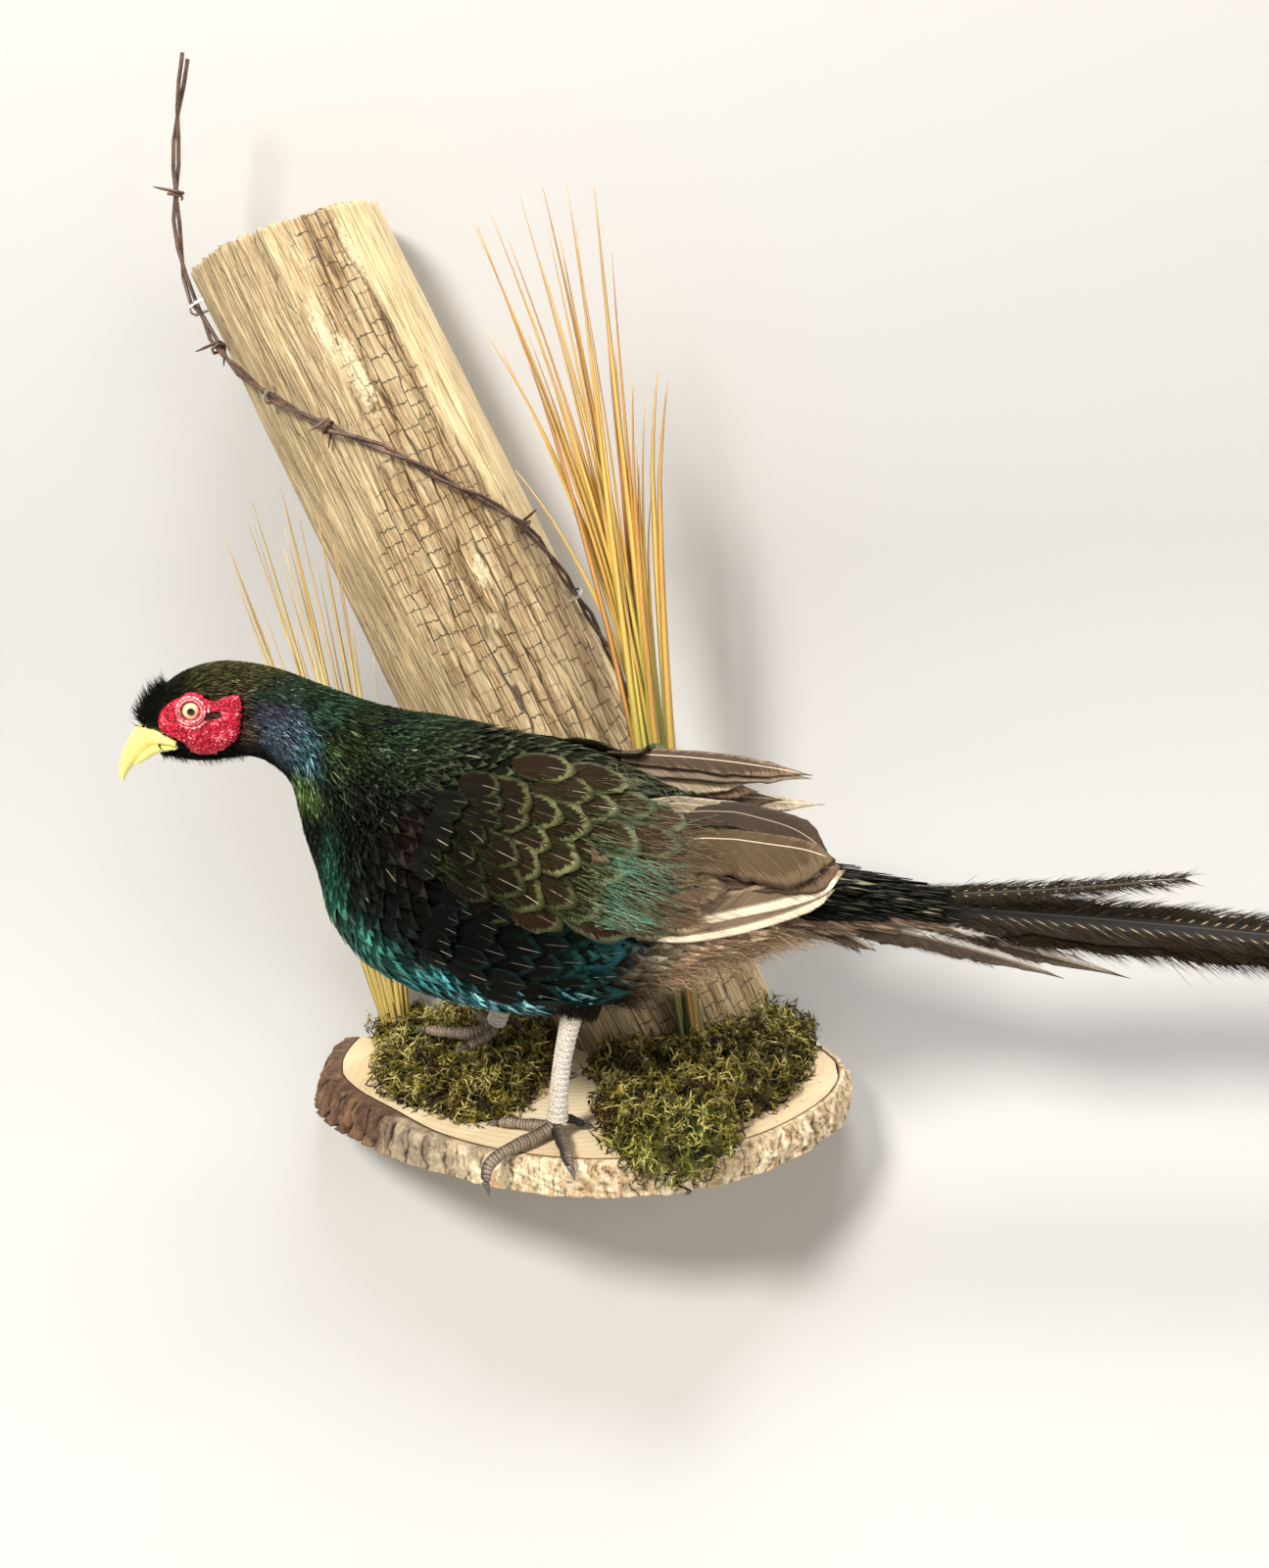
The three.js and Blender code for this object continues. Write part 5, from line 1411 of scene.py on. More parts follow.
def make_face(finish, hand):
    """The bare red skin: domed, pimpled, ringed by lids round the eye and creased behind it."""
    name = SIDE_NAMES[hand]
    tree = surface_of("head", f"face_skin_{name}", "neck")
    eye, _ = eye_place(hand)
    eye_flat = np.array([ahead_of_neck(eye[None])[0], eye[2]])
    around, rings = 200, 54
    loop = np.array([*FACE_OUTLINE, FACE_OUTLINE[0]])
    run = running_length(loop)
    rim = np.stack(
        [np.interp(np.linspace(0, run[-1], around + 1)[:-1], run, loop[:, k]) for k in (0, 1)], axis=1)
    rim = eye_flat + (rim - eye_flat) * (1 + 0.022 * np.random.default_rng(9).normal(size=(around, 1)))
    away = (np.linspace(0, 1, rings) ** 1.05)[:, None, None]
    start = eye_flat + unit(rim - eye_flat) * 3.6
    flat = start[None] + (rim - start)[None] * away
    ahead, z = flat[..., 0], flat[..., 1]
    c, s = math.cos(HEAD_TURN), math.sin(HEAD_TURN)
    x = HEAD_PIVOT[0] - ahead * c
    y0 = HEAD_PIVOT[1] - ahead * s
    way = np.array([s, -c, 0]) * -hand
    points = np.zeros((rings, around, 3))
    for i in range(rings):
        for k in range(around):
            origin = np.array([x[i, k], y0[i, k], z[i, k]]) + way * 60
            hit, *_ = tree.ray_cast(Vector(framed(origin)), Vector(-way))
            points[i, k] = sliced(np.array(hit)) if hit is not None else points[i, k - 1]
    for _ in range(4):
        points[1:-1] = (
            points[:-2] + points[2:] + np.roll(points, 1, 1)[1:-1] + np.roll(points, -1, 1)[1:-1]) / 4
    gap = np.linalg.norm(flat - eye_flat, axis=-1)
    hump = 0.9 * (1 - smooth(away[..., 0], 0.86, 1.0)) - 0.9 * smooth(away[..., 0], 0.93, 1.0)
    behind, level = eye_flat[0] - ahead, z - eye_flat[1]
    low_side = smooth(0.5 * behind - level, 2.0, 6.0)
    rings_at = ((5.6, 0.55, 1.1, 1.0), (7.0, 0.45, 0.7, 1.0), (8.7, 0.5, 0.8, low_side))
    lids = sum(rise * share * np.exp(-((gap - at) / wide) ** 2) for at, wide, rise, share in rings_at)
    crease = (smooth(behind, 5.0, 7.0) * (1 - smooth(behind, 12.5, 16.5)) * (1 - smooth(level, -2.4, -0.8))
              * smooth(level, -7.6 + 0.16 * behind, -6.2 + 0.16 * behind) * smooth(gap, 7.4, 8.4))
    grain = ripple(points, 2.6, 4) * 0.6 + ripple(points, 1.5, 5) * 0.6
    height = (hump + lids - 1.2 * crease + 0.34 * grain * smooth(gap, 6.2, 8.0)
              - 1.3 * smooth(4.6 - gap, 0, 1.0))
    points = points + way * (height + 0.15)[..., None]
    faces = grid_faces(rings, around, closed=True)
    if hand == FAR:
        faces = faces[:, ::-1]
    back = points[[0, -1]] - way * 2.2
    count = rings * around
    allp = np.concatenate([points.reshape(-1, 3), back.reshape(-1, 3)])
    ring = np.arange(around)
    nxt = (ring + 1) % around
    outer = (rings - 1) * around
    wall_in = np.stack([ring, count + ring, count + nxt, nxt], axis=1)
    wall_out = np.stack([outer + ring, outer + nxt, count + around + nxt, count + around + ring], axis=1)
    bottom = np.stack([count + ring, count + around + ring, count + around + nxt, count + nxt], axis=1)
    walls = np.concatenate([wall_in, wall_out, bottom])
    if hand == FAR:
        walls = walls[:, ::-1]
    # Masks for the finish: the lid rings, painted pale as their own pink and as highlight, and the crease,
    # painted dark as shade.
    lid = sum(share * np.exp(-((gap - at) / wide) ** 2) for at, wide, _, share in rings_at)
    pad = np.zeros(2 * around)
    mesh = make_mesh(f"face_wattle_{name}", allp, [faces, walls], attributes={
        "lid": np.concatenate([lid.ravel(), pad]), "fold": np.concatenate([crease.ravel(), pad])})
    place_solid(f"face_wattle_{name}", mesh, finish, [f"face_skin_{name}"])


def eye_finish():
    n = new_finish("glass_eye")
    far = n.attribute("from_pupil", "Fac")
    place_ = n.object_place()
    flecks = n.noise(place_, 900.0, 3.0, 0.6)
    far_ = n.plus(far, n.swing(flecks, 0.05))
    colour = n.ramp(far_, (0.0, "0a0605"), (0.15, "040303"), (0.19, "4a2c18"), (0.25, "d8b478"),
                    (0.38, "f0e0b8"), (0.52, "e8cf98"), (0.62, "b98a52"), (0.9, "5a3a22"))
    return close_finish(n, colour, 0.12, Coat_Weight=0.7, Coat_Roughness=0.02, Specular_IOR_Level=0.3)


def make_eye(finish, hand):
    name = SIDE_NAMES[hand]
    centre, side = eye_place(hand)
    rows, columns = 40, 48
    polar = np.linspace(0.001, math.pi - 0.001, rows)
    turn = np.linspace(0, TURN, columns, endpoint=False)
    a = unit(np.cross(side, UP))
    b = np.cross(a, side)
    bulge = 1 + 0.05 * np.exp(-(polar / 0.5) ** 2)
    ring = np.sin(polar)[:, None, None] * (np.cos(turn)[None, :, None] * a + np.sin(turn)[None, :, None] * b)
    points = centre + EYE_RADIUS * bulge[:, None, None] * (ring + np.cos(polar)[:, None, None] * side)
    away = np.repeat(polar / (math.pi / 2), columns)
    mesh = make_mesh(f"eye_glass_{name}", points.reshape(-1, 3), capped_faces(rows, columns),
                     attributes={"from_pupil": away})
    place_solid(f"eye_glass_{name}", mesh, finish, [f"eye_{name}"])


# Each half of the bill, from the face to its tip: x, y, z, half height, half width.
UPPER_BILL = [(-177, -210.9, 216.5, 2.4, 13.6), (-182, -211.4, 218.6, 4.0, 12.2),
              (-187, -212.5, 220.2, 6.2, 9.2), (-193, -213.5, 219.5, 6.2, 6.6),
              (-198, -214.8, 214.5, 5.2, 5.0), (-202.5, -216, 209, 4.0, 3.8), (-205.6, -217, 203.8, 2.6, 2.4),
              (-206.6, -217.6, 199.4, 1.1, 1.1), (-206.3, -217.7, 197.8, 0.35, 0.4)]
LOWER_BILL = [(-177, -211.0, 214.6, 1.6, 12.0), (-182, -212.2, 214.6, 2.6, 9.8),
              (-187, -213.0, 214.0, 3.2, 6.8), (-190, -213.8, 212.8, 3.0, 4.9),
              (-195, -215.0, 209.6, 2.2, 3.2), (-199, -216, 206.8, 1.2, 1.6),
              (-200.6, -216.4, 205.6, 0.3, 0.5)]


def horn_finish(name, pale, warm, dark):
    """Horn: fine lengthwise fibre mixed with small flakes, in dark, warm and pale tones."""
    n = new_finish(name)
    place_ = n.object_place()
    fibre = n.noise(n.stretched(place_, (1.0, 1.0, 0.35), (0, 0.6, 0)), 900.0, 4.0, 0.6)
    flakes = n.group(GRIT, {"Place": place_, "Per metre": 420.0})["Value"]
    colour = n.ramp(n.plus(n.times(fibre, 0.6), n.times(flakes, 0.4)),
                    (0.25, dark), (0.5, warm), (0.72, pale))
    return close_finish(n, colour, n.range(fibre, 0.2, 0.8, 0.3, 0.48), fibre, 0.25, 0.0003,
                        Coat_Weight=0.25, Coat_Roughness=0.15, Subsurface_Weight=0.06, Subsurface_Scale=0.001)


def bill_part(rows, upper):
    steps, sides = 44, 28
    rows = np.array(rows, float)
    t = np.linspace(0, len(rows) - 1, steps)
    line = through(rows[:, :3], t)
    size = through(rows[:, 3:], t)
    along = unit(np.gradient(line, axis=0))
    across = np.array([math.sin(HEAD_TURN), -math.cos(HEAD_TURN), 0])
    up = unit(np.cross(along, across))
    angle = np.linspace(0, TURN, sides, endpoint=False)
    bend = lambda x: np.sign(x) * np.abs(x) ** (2 / 2.2)
    keel = 1 + (0.10 if upper else 0.03) * np.clip(np.sin(angle), 0, 1) ** 6
    lip = 1 - 0.10 * np.exp(-((np.sin(angle) + 0.75) / 0.25) ** 2) * (1 if upper else 0)
    points = (line[:, None] + up[:, None] * (size[:, :1] * bend(np.sin(angle))[None] * keel)[..., None]
              + across * (size[:, 1:] * bend(np.cos(angle))[None] * lip)[..., None])
    if upper:
        share = np.linspace(0, 1, steps)[:, None]
        flank = np.exp(-((np.abs(np.cos(angle)) - 0.93) / 0.25) ** 2)[None] * (np.sin(angle) > -0.1)[None]
        nostril = (np.exp(-((share - 0.34) / 0.07) ** 2) * flank
                   * np.exp(-((np.sin(angle)[None] - 0.28) / 0.22) ** 2))
        ridge = (np.exp(-((share - 0.28) / 0.16) ** 2) * np.exp(-((np.sin(angle)[None] - 0.55) / 0.25) ** 2)
                 * flank)
        swell = 0.3 * ridge - 0.3 * nostril
        points = points + across * (np.sign(np.cos(angle))[None] * swell)[..., None]
    return make_mesh("bill", points.reshape(-1, 3), capped_faces(steps, sides))


def make_bill(finish):
    for name, rows, upper in (("bill_upper", UPPER_BILL, True), ("bill_lower", LOWER_BILL, False)):
        mesh = bill_part(rows, upper)
        place_solid(f"{name}_horn", mesh, finish, [name])


def make_bristles(velvet):
    """The black tuft over the nostrils, which stands forward and up, and the short beard under the face."""
    draw = np.random.default_rng(51)
    count = 900
    t = draw.uniform(-0.02, 1.25, count)
    angle = np.clip(draw.normal(size=count) * 0.6, -1.15, 1.15)
    root, out, _ = body_frame(t, angle)
    v = np.linspace(0, 1, 5)[None, :, None]
    forward = np.array([-math.cos(HEAD_TURN), -math.sin(HEAD_TURN), 0])
    way = unit(forward * 0.9 + UP * 0.3 + out * 0.75 + draw.normal(size=(count, 3)) * 0.32)
    long = (4.0 + 7.5 * draw.random(count) ** 1.6) * (1 - 0.25 * smooth(t, 0.6, 1.3))
    lines = (root - out * 1.5)[:, None] + way[:, None] * long[:, None, None] * v
    lines = lines + (UP * 0.35 - forward * 0.35) * long[:, None, None] * v ** 2
    beard = 700
    t2 = draw.uniform(0.9, 4.4, beard)
    angle2 = math.pi + draw.normal(size=beard) * 0.55
    root2, out2, _ = body_frame(t2, angle2)
    way2 = unit(np.array([0.75, 0.1, -0.35]) + out2 * 0.35 + draw.normal(size=(beard, 3)) * 0.25)
    long2 = draw.uniform(3.5, 7.0, beard)
    lines2 = (root2 - out2 * 1.2)[:, None] + way2[:, None] * long2[:, None, None] * v
    lines, outs = np.concatenate([lines, lines2]), np.concatenate([out, out2])
    outs = np.repeat(outs[:, None], 5, axis=1)
    total = len(lines)
    dark, rim = loose_colours("0b0b09", "1a1b14", np.ones((total, 1)))
    uv = body_uv(np.concatenate([np.clip(t, 0, None), t2]), np.concatenate([angle, angle2]))
    part = strands(lines, outs, draw.uniform(0.22, 0.34, total), dark, rim, uv, draw)
    place_part("face_bristles", part, velvet)


# ---- legs -----------------------------------------------------------------------------------------

SHANK_RADIUS, TOE_RADIUS = 5.0, 3.9
LEGS = {
    "left": {
        "thigh": [(22, -204, 96), (14, -210, 68)],
        "shank": [(12, -210, 63), (6, -211, 40), (1, -211.5, 8)],
        "middle": [(0, -211, 5.4), (-11, -225, 4.3), (-22, -238, 3.7), (-28, -246, 0), (-29, -250.5, -6),
                   (-27.5, -251, -14)],
        "inner": [(-1, -210, 5.4), (-13, -206, 3.9), (-26, -203, 4), (-33, -201.5, 3), (-39, -200.5, 1.2)],
        "outer": [(1, -213, 5.4), (7, -228, 4), (11, -240, 4), (14, -247, 1), (17, -251, -5)],
        "back": [(2, -209, 9), (8, -206, 7), (14, -204, 2.8), (18.5, -202.5, 1)],
    },
    "right": {
        "thigh": [(-8, -158, 98), (-24, -150, 72)],
        "shank": [(-25, -149.5, 73), (-38, -139, 50), (-48, -131, 31)],
        "middle": [(-49, -130, 28), (-62, -134, 25.5), (-76, -132, 25.5), (-90, -128, 25.5),
                   (-97, -127, 23.8)],
        "inner": [(-48, -132, 28), (-54, -143, 25.5), (-60, -153, 25.5), (-65, -159, 23.8)],
        "outer": [(-48, -129, 28), (-55, -118, 25.5), (-64, -108, 25.5), (-70, -102, 23.8)],
        "back": [(-47, -130, 31), (-40, -129, 31), (-34, -130, 26.5), (-31.5, -130.5, 24)],
    },
}
TOES = {"middle": 1.0, "inner": 0.86, "outer": 0.9, "back": 0.66}
CLAW_SEAT = 1.4


def scale_finish(name, pale, dark):
    """Dry scaled skin: plates with dark joints and dark dust, paler on their raised crowns, partly the
    scales' own pale edges and partly painted highlight.
    """
    n = new_finish(name)
    place_ = n.object_place()
    plates = n.node(
        "TexVoronoi", {"Vector": place_, "Scale": 620.0}, feature="DISTANCE_TO_EDGE").outputs["Distance"]
    joint = n.range(plates, 0.0, 0.22)
    crown = n.attribute("crown", "Fac")
    dust = n.group(GRIT, {"Place": place_, "Per metre": 700.0})["Value"]
    # Raised crowns and the limb's plated side are paler. This is partly the scales' own pale edges and partly
    # painted highlight.
    colour = n.mix(n.range(crown, 0.25, 0.95), dark, pale)
    colour = n.mix(n.range(dust, 0.4, 0.7, 0.0, 0.4), colour, dark)
    colour = n.shade(colour, joint, (0.0, (0.55, 0.5, 0.45, 1)), (0.6, 1.05))
    return close_finish(n, colour, 0.55, n.plus(joint, n.times(dust, 0.4)), 0.5, 0.0004)


PLATE_DEPTH = 0.16                               # how far a plate stands up, as a share of a limb's radius
LIMB_STEP = 0.45


def scaled_limb(route, radius, plate, sides, face):
    """A limb with overlapping plates across its face: radius is a function of the share of its length."""
    route = np.array(route, float)
    span = np.linalg.norm(np.diff(route, axis=0), axis=1).sum()
    count = max(int(span / LIMB_STEP), 12)
    line = evenly(route, count)
    share = np.linspace(0, 1, count)
    run = share * span
    tooth = np.mod(run / plate, 1.0)
    ridge = (1 - tooth) ** 0.7

    def swell(angle):
        front = 0.55 + 0.45 * np.cos(angle - math.pi / 2)
        hexes = 0.05 * np.sin(run[:, None] / plate * TURN * 1.6) * np.cos(3 * angle) * (1 - front)
        return 1 + PLATE_DEPTH * (ridge[:, None] - 0.4) * front + hexes

    ends = np.minimum(1, np.sqrt(np.clip(np.minimum(share * span / 1.6, (1 - share) * span / 1.6), 0.03, 1)))
    part = tube_part(line, radius(share) * ends, sides, across=face, lift=swell)
    angle = np.linspace(0, TURN, sides, endpoint=False)
    # crown: highest on each plate's raised edge and on the limb's plated side; the finish paints it pale,
    # partly as painted highlight.
    part["attributes"]["crown"] = (np.repeat(0.2 + 0.8 * ridge, sides)
                                   * np.tile(0.55 + 0.45 * np.cos(angle - math.pi / 2), count) + 0.15)
    return part


def make_legs(shank_skin, toe_skin, horn, velvet):
    for name, leg in LEGS.items():
        top, *rest = (np.array(p, float) for p in leg["shank"])
        part = scaled_limb([lerp(top, rest[0], -0.24), *rest],
                           lambda s: SHANK_RADIUS * (1.12 - 0.2 * np.sin(np.pi * s)), 3.1, 20,
                           face=(0.3, -1, 0))
        place(f"shank_scales_{name}", make_mesh("shank", **part), shank_skin, [f"leg_{name}"])
        toes = [scaled_limb(leg[toe][:-1], lambda s, w=w: TOE_RADIUS * w * (1.02 - 0.32 * s) * (
            1 + 0.09 * np.cos(s * 5 * np.pi)), 2.0, 14, face=(0, 0, 1)) for toe, w in TOES.items()]
        place(f"toe_scales_{name}", make_mesh("toes", **join_parts(toes)), toe_skin)
        for toe, w in TOES.items():
            behind, root, tip = (np.array(p, float) for p in leg[toe][-3:])
            start = root + unit(root - behind) * (CLAW_SEAT - 1.2)
            bend = (start + tip) / 2 + (0, 0, 0.9)
            line = evenly([start, bend, tip], 18)
            size = 1.95 * w * (1 - np.linspace(0, 0.93, 18) ** 1.3)
            claw = tube_part(line, size, 12, across=(0, 0, 1), flat=1.15)
            mesh = make_mesh("claw", **claw)
            place_solid(f"claw_horn_{name}_{toe}", mesh, horn, [f"claw_{name}_{toe}"])
        inward = 1 if name == "left" else -1
        foot = lerp(np.array(leg["shank"][1], float), np.array(leg["shank"][2], float), 0.25)
        line = evenly(
            [foot + (2.5, 2 * inward, 0), foot + (7, 3.4 * inward, 0.6), foot + (10.5, 4 * inward, 3)], 18)
        spur = make_mesh("spur", **tube_part(line, 2.0 * (1 - np.linspace(0, 0.92, 18) ** 1.5), 12))
        place_solid(f"spur_horn_{name}", spur, horn, [f"spur_{name}"])
        make_thigh(name, leg, velvet)


def make_thigh(name, leg, velvet):
    """Short soft feathers down the thigh to the ankle."""
    draw = np.random.default_rng(60 if name == "left" else 61)
    ankle = lerp(np.array(leg["shank"][0], float), np.array(leg["shank"][1], float), 0.12)
    line = np.array([*leg["thigh"], ankle], float)
    count = 2200
    share = draw.uniform(0.05, 0.46, count)
    turn = draw.uniform(0, TURN, count)
    here = through(line, share * 2)
    along = unit(through(line, np.minimum(share * 2 + 0.05, 2)) - through(line, share * 2 - 0.05))
    side = unit(np.cross(along, UP + np.array([0.3, 0, 0])))
    up = np.cross(side, along)
    out = side * np.cos(turn)[:, None] + up * np.sin(turn)[:, None]
    radius = 16.5 - 9.5 * share
    root = here + out * (radius - 1.5)[:, None]
    long = draw.uniform(6, 12, count) * (1 - 0.6 * smooth(share, 0.25, 0.46))
    v = np.linspace(0, 1, 4)[None, :, None]
    lines = (root[:, None] + along[:, None] * long[:, None, None] * v + out[:, None] * (1.0 + 1.6 * v)
             - out[:, None] * (9.5 * long[:, None, None] / 46) * v * 0.9)
    outs = np.repeat(out[:, None], 4, axis=1)
    middle, rim = loose_colours("16110d", "33291f", varied(draw, (count, 1), 0.3))
    uv = inset(np.stack([turn / TURN, share], axis=1))
    part = strands(lines, outs, draw.uniform(0.3, 0.5, count), middle, rim, uv, draw)
    place(f"thigh_feathers_{name}", make_mesh("thigh", **part), velvet)


# ---- the slice of log -----------------------------------------------------------------------------

RIM = [(-86, 30), (-112, -8), (-141, -48), (-149, -93), (-143, -127), (-127, -151), (-98, -178), (-62, -209),
       (-21, -229), (21, -237), (61, -232), (98, -214), (126, -183), (141, -150), (141, -119), (122, -83),
       (96, -38), (62, 30)]


def flare(x):
    """How far the slice's underside stands out past its top."""
    return 3 + 7 * smooth(-x, 40, 130)


def bark_width(x, y):
    plain = 4.6 + 4.4 * smooth(-x, 20, 120)
    return lerp(plain, 3.4, smooth(x, 60, 130)) + 0.8 * np.sin(0.21 * x + 0.13 * y)


def wood_finish():
    """Sanded end grain: cream, with faint growth rings round the pith and a dark line at the bark."""
    n = new_finish("slice_wood")
    x, y, _ = n.parts(n.object_place())
    from_pith = n.node("CombineXYZ", {0: n.minus(x, 0.050), 1: n.times(n.minus(y, -0.118), 1.12)}).outputs[0]
    far = n.node("VectorMath", {0: from_pith}, operation="LENGTH").outputs["Value"]
    wander = n.noise(n.object_place(), 14.0, 2.0)
    far = n.plus(far, n.times(wander, 0.022))
    rings = n.math("SINE", n.times(far, TURN / 0.0056))
    fine = n.noise(n.object_place(), 900.0, 3.0)
    blotch = n.noise(n.object_place(), 30.0, 3.0)
    colour = n.ramp(blotch, (0.3, "dfc79c"), (0.7, "f0e0bf"))
    colour = n.mix(n.range(rings, 0.2, 1.0, 0.0, 0.34), colour, "c7a877")
    colour = n.mix(n.range(far, 0.118, 0.142, 0.0, 0.55), colour, "c9a97c")
    specks = n.noise(n.object_place(), 260.0, 2.0)
    colour = n.mix(n.range(specks, 0.68, 0.76, 0.0, 0.65), colour, "5a4229")
    return close_finish(n, colour, 0.62, n.plus(fine, n.times(rings, 0.12)), 0.12, 0.0006)


def bark_finish():
    """Bark: red-brown ridges at the left, grey and orange scale, then cream flakes along the front, with its
    sunk splits darkened as painted shade.
    """
    n = new_finish("bark_flakes")
    place_ = n.object_place()
    x, _, _ = n.parts(place_)
    proud = n.attribute("proud", "Fac")
    stretched = n.stretched(place_, (1.0, 1.0, 0.4))
    flake = n.noise(stretched, 170.0, 5.0, 0.65, 0.6)
    grit = n.group(GRIT, {"Place": place_, "Per metre": 650.0, "Contrast": 1.4})["Value"]
    patch = n.noise(place_, 38.0, 3.0, 0.6)
    both = n.plus(n.times(flake, 0.75), n.times(grit, 0.25))
    brown = n.ramp(both, (0.32, "21150d"), (0.48, "4f3524"), (0.66, "7d5c40"), (0.8, "ab8c6a"))
    grey = n.ramp(both, (0.30, "3a2c20"), (0.45, "8c7c66"), (0.6, "b9a98c"), (0.75, "ddd0b8"))
    cream = n.ramp(both, (0.34, "3d2a19"), (0.43, "a98c66"), (0.55, "e0cdaa"), (0.75, "f6ecd4"))
    place_x = n.plus(x, n.swing(patch, 0.10))
    colour = n.mix(n.range(place_x, -0.056, -0.020), brown, grey)
    colour = n.mix(n.range(place_x, -0.006, 0.020), colour, cream)
    warm = n.times(n.range(patch, 0.52, 0.62), n.range(x, 0.09, 0.14, 1.0, 0.4))
    colour = n.mix(n.times(warm, 0.3), colour, "a0754c")
    # Painted shade: where the bark sinks into its splits it is darkened almost to black.
    colour = n.mix(n.range(proud, -1.6, 0.2, 0.85, 0.0), colour, "21150c")
    colour = n.mix(n.attribute("inner", "Fac"), colour, "6b4a2d")
    return close_finish(n, colour, 0.85, both, 0.9, 0.0016)


def make_bark(finish):
    """The ring of bark round the slice: ridged and split, with its flakes standing out."""
    columns = 900
    loop = evenly(np.array([(*p, 0) for p in RIM], float), 2400, closed=True)
    start = np.argmax(loop[:, 1] >= 0) if loop[0, 1] < 0 else 0
    loop = np.roll(loop, -start, axis=0)
    keep = loop[:, 1] < -0.05
    first = np.argmax(keep)
    line = loop[first:first + keep[first:].sum()]
    line = evenly(line, columns)
    along = unit(np.gradient(line, axis=0))
    out = np.stack([along[:, 1], -along[:, 0], np.zeros(columns)], axis=1)
    middle = np.array([0, -100, 0])
    out = out * np.sign(np.sum(out * (line - middle), axis=1))[:, None]
    x, y = line[:, 0], line[:, 1]
    thick, lean = bark_width(x, y), flare(x)
    left = smooth(-x, 40, 95)
    # Each profile row: share of the bark's width, share of the flare, millimetres more, height.
    profile = [(0.0, 0.0, -0.7, 0.22), (0.1, 0.0, 0.2, 0.24)]
    profile += [(s, 0.0, -0.4 * s, 0.22 - 0.5 * s ** 2) for s in np.linspace(0.25, 0.88, 6)]
    rounds = 22
    for k in range(rounds + 1):
        s = k / rounds
        profile.append((1.0 - 0.12 * s ** 3, 0.5 * s + 0.5 * s ** 2,
                        -0.8 + 1.9 * math.sin(math.pi * min(s * 1.15, 1)), -0.5 - 17.3 * s))
    profile += [(s, 1.0, 0.0, -17.95) for s in (0.7, 0.4, 0.12)]
    profile += [(0.0, 1.0, 0.35, -17.9), (0.0, 0.5, 0.35, -9.0), (0.0, 0.02, 0.3, -0.6)]
    share, tilt, more, z = np.array(profile).T
    offset = share[:, None] * thick + tilt[:, None] * lean + more[:, None]
    rows = len(profile)
    points = line[None] + out[None] * offset[..., None] + UP * z[:, None, None]
    run = np.linspace(0, 1, columns)[None] * 760
    deep = -z[:, None]
    wobble = 3.5 * ripple(np.stack(np.broadcast_arrays(run, deep * 1.5, 0 * run), axis=-1), 22, 3)
    plate = np.abs(np.mod((run + wobble) / lerp(15.0, 8.0, smooth(x, -20, 40))[None], 1.0) - 0.5) * 2
    split = np.exp(-((1 - plate) / 0.16) ** 2)
    rough = ripple(points * (1, 1, 0.6), 7, 8) + 0.6 * ripple(points, 3.2, 9)
    proud = 0.55 * rough - (1.2 + 2.6 * left)[None] * split + 0.8 * left[None]
    flakes = 1.1 * np.clip(ripple(points * (1, 1, 2.2), 9, 12), 0, 1) * (1 - left)[None]
    outer = (smooth(np.arange(rows), 6, 11) * (1 - smooth(np.arange(rows), rows - 7, rows - 5)))[:, None]
    shift = (proud + flakes) * outer
    points = points + out[None] * shift[..., None]
    points[..., 2] += 0.28 * rough * outer * (1 - smooth(deep, 12, 17))
    points[..., 1] = np.minimum(points[..., 1], -0.02)
    inner = np.exp(-(np.arange(rows) / 1.6) ** 2)[:, None] * np.ones((1, columns))
    total = rows * columns
    ends = np.stack([np.arange(rows) * columns, np.arange(rows)[::-1] * columns + columns - 1])
    faces = grid_faces(rows, columns)
    joint = np.arange(columns - 1)
    last = (rows - 1) * columns
    seam = np.stack([last + joint, last + joint + 1, joint + 1, joint], axis=1)
    # proud also goes to the finish, which paints shade where the bark sinks.
    mesh = make_mesh("bark_ring", points.reshape(-1, 3), [np.concatenate([faces, seam]), ends[:, ::-1]],
                     attributes={"proud": shift.reshape(total), "inner": inner.reshape(total)})
    place_solid("bark_ring", mesh, finish, ["slice_bark"])


# ---- the fence post -------------------------------------------------------------------------------

POST_RADIUS, POST_FLAT, POST_FOOT_X, POST_LENGTH, POST_TAPER = 64, 9, 40, 500, 0.14
POST_TILT = math.radians(22.2)
POST_AXIS = np.array([-math.sin(POST_TILT), 0, math.cos(POST_TILT)])
POST_RIGHT = np.array([math.cos(POST_TILT), 0, math.sin(POST_TILT)])
FRONT = np.array([0, -1.0, 0])
# The cross-checked band: distance up the post, its left edge and its right edge in degrees round it.
CHECKED = [(-20, 0, 80), (168, 2, 76), (215, 2, 92), (252, -6, 98), (288, -11, 80), (319, -13, 60),
           (338, -4, 56), (370, 16, 54), (404, 14, 52), (440, 22, 49), (510, 25, 46)]
# Each crack: up the post from, to; degrees round it at each end; width and depth in mm.
LONG_CRACKS = [
    (300, 504, 51, 45.5, 0.5, 2.6), (170, 420, 33, 9.5, 0.5, 2.2), (60, 300, 48, 30, 0.6, 2.4),
    (90, 360, 62, 40, 0.6, 2.2), (210, 470, 20, 27, 0.45, 1.8), (20, 240, 15, 4, 0.5, 2.0),
    (330, 505, -22, -24, 0.4, 1.4), (250, 430, -38, -41, 0.4, 1.3), (120, 330, -30, -24, 0.5, 1.5),
    (380, 507, -55, -52, 0.5, 1.5), (40, 180, -52, -48, 0.5, 1.4), (200, 410, 76, 62, 0.5, 1.6),
    (30, 200, 78, 70, 0.5, 1.8), (100, 480, 100, 104, 0.6, 2.0), (150, 450, -92, -88, 0.6, 2.0),
    (360, 506, 2, 0, 0.4, 1.2), (430, 508, 34, 33, 0.5, 1.8), (20, 150, 28, 24, 0.6, 2.0),
]


def post_radius(s):
    return POST_RADIUS * (1 - POST_TAPER * s / POST_LENGTH)


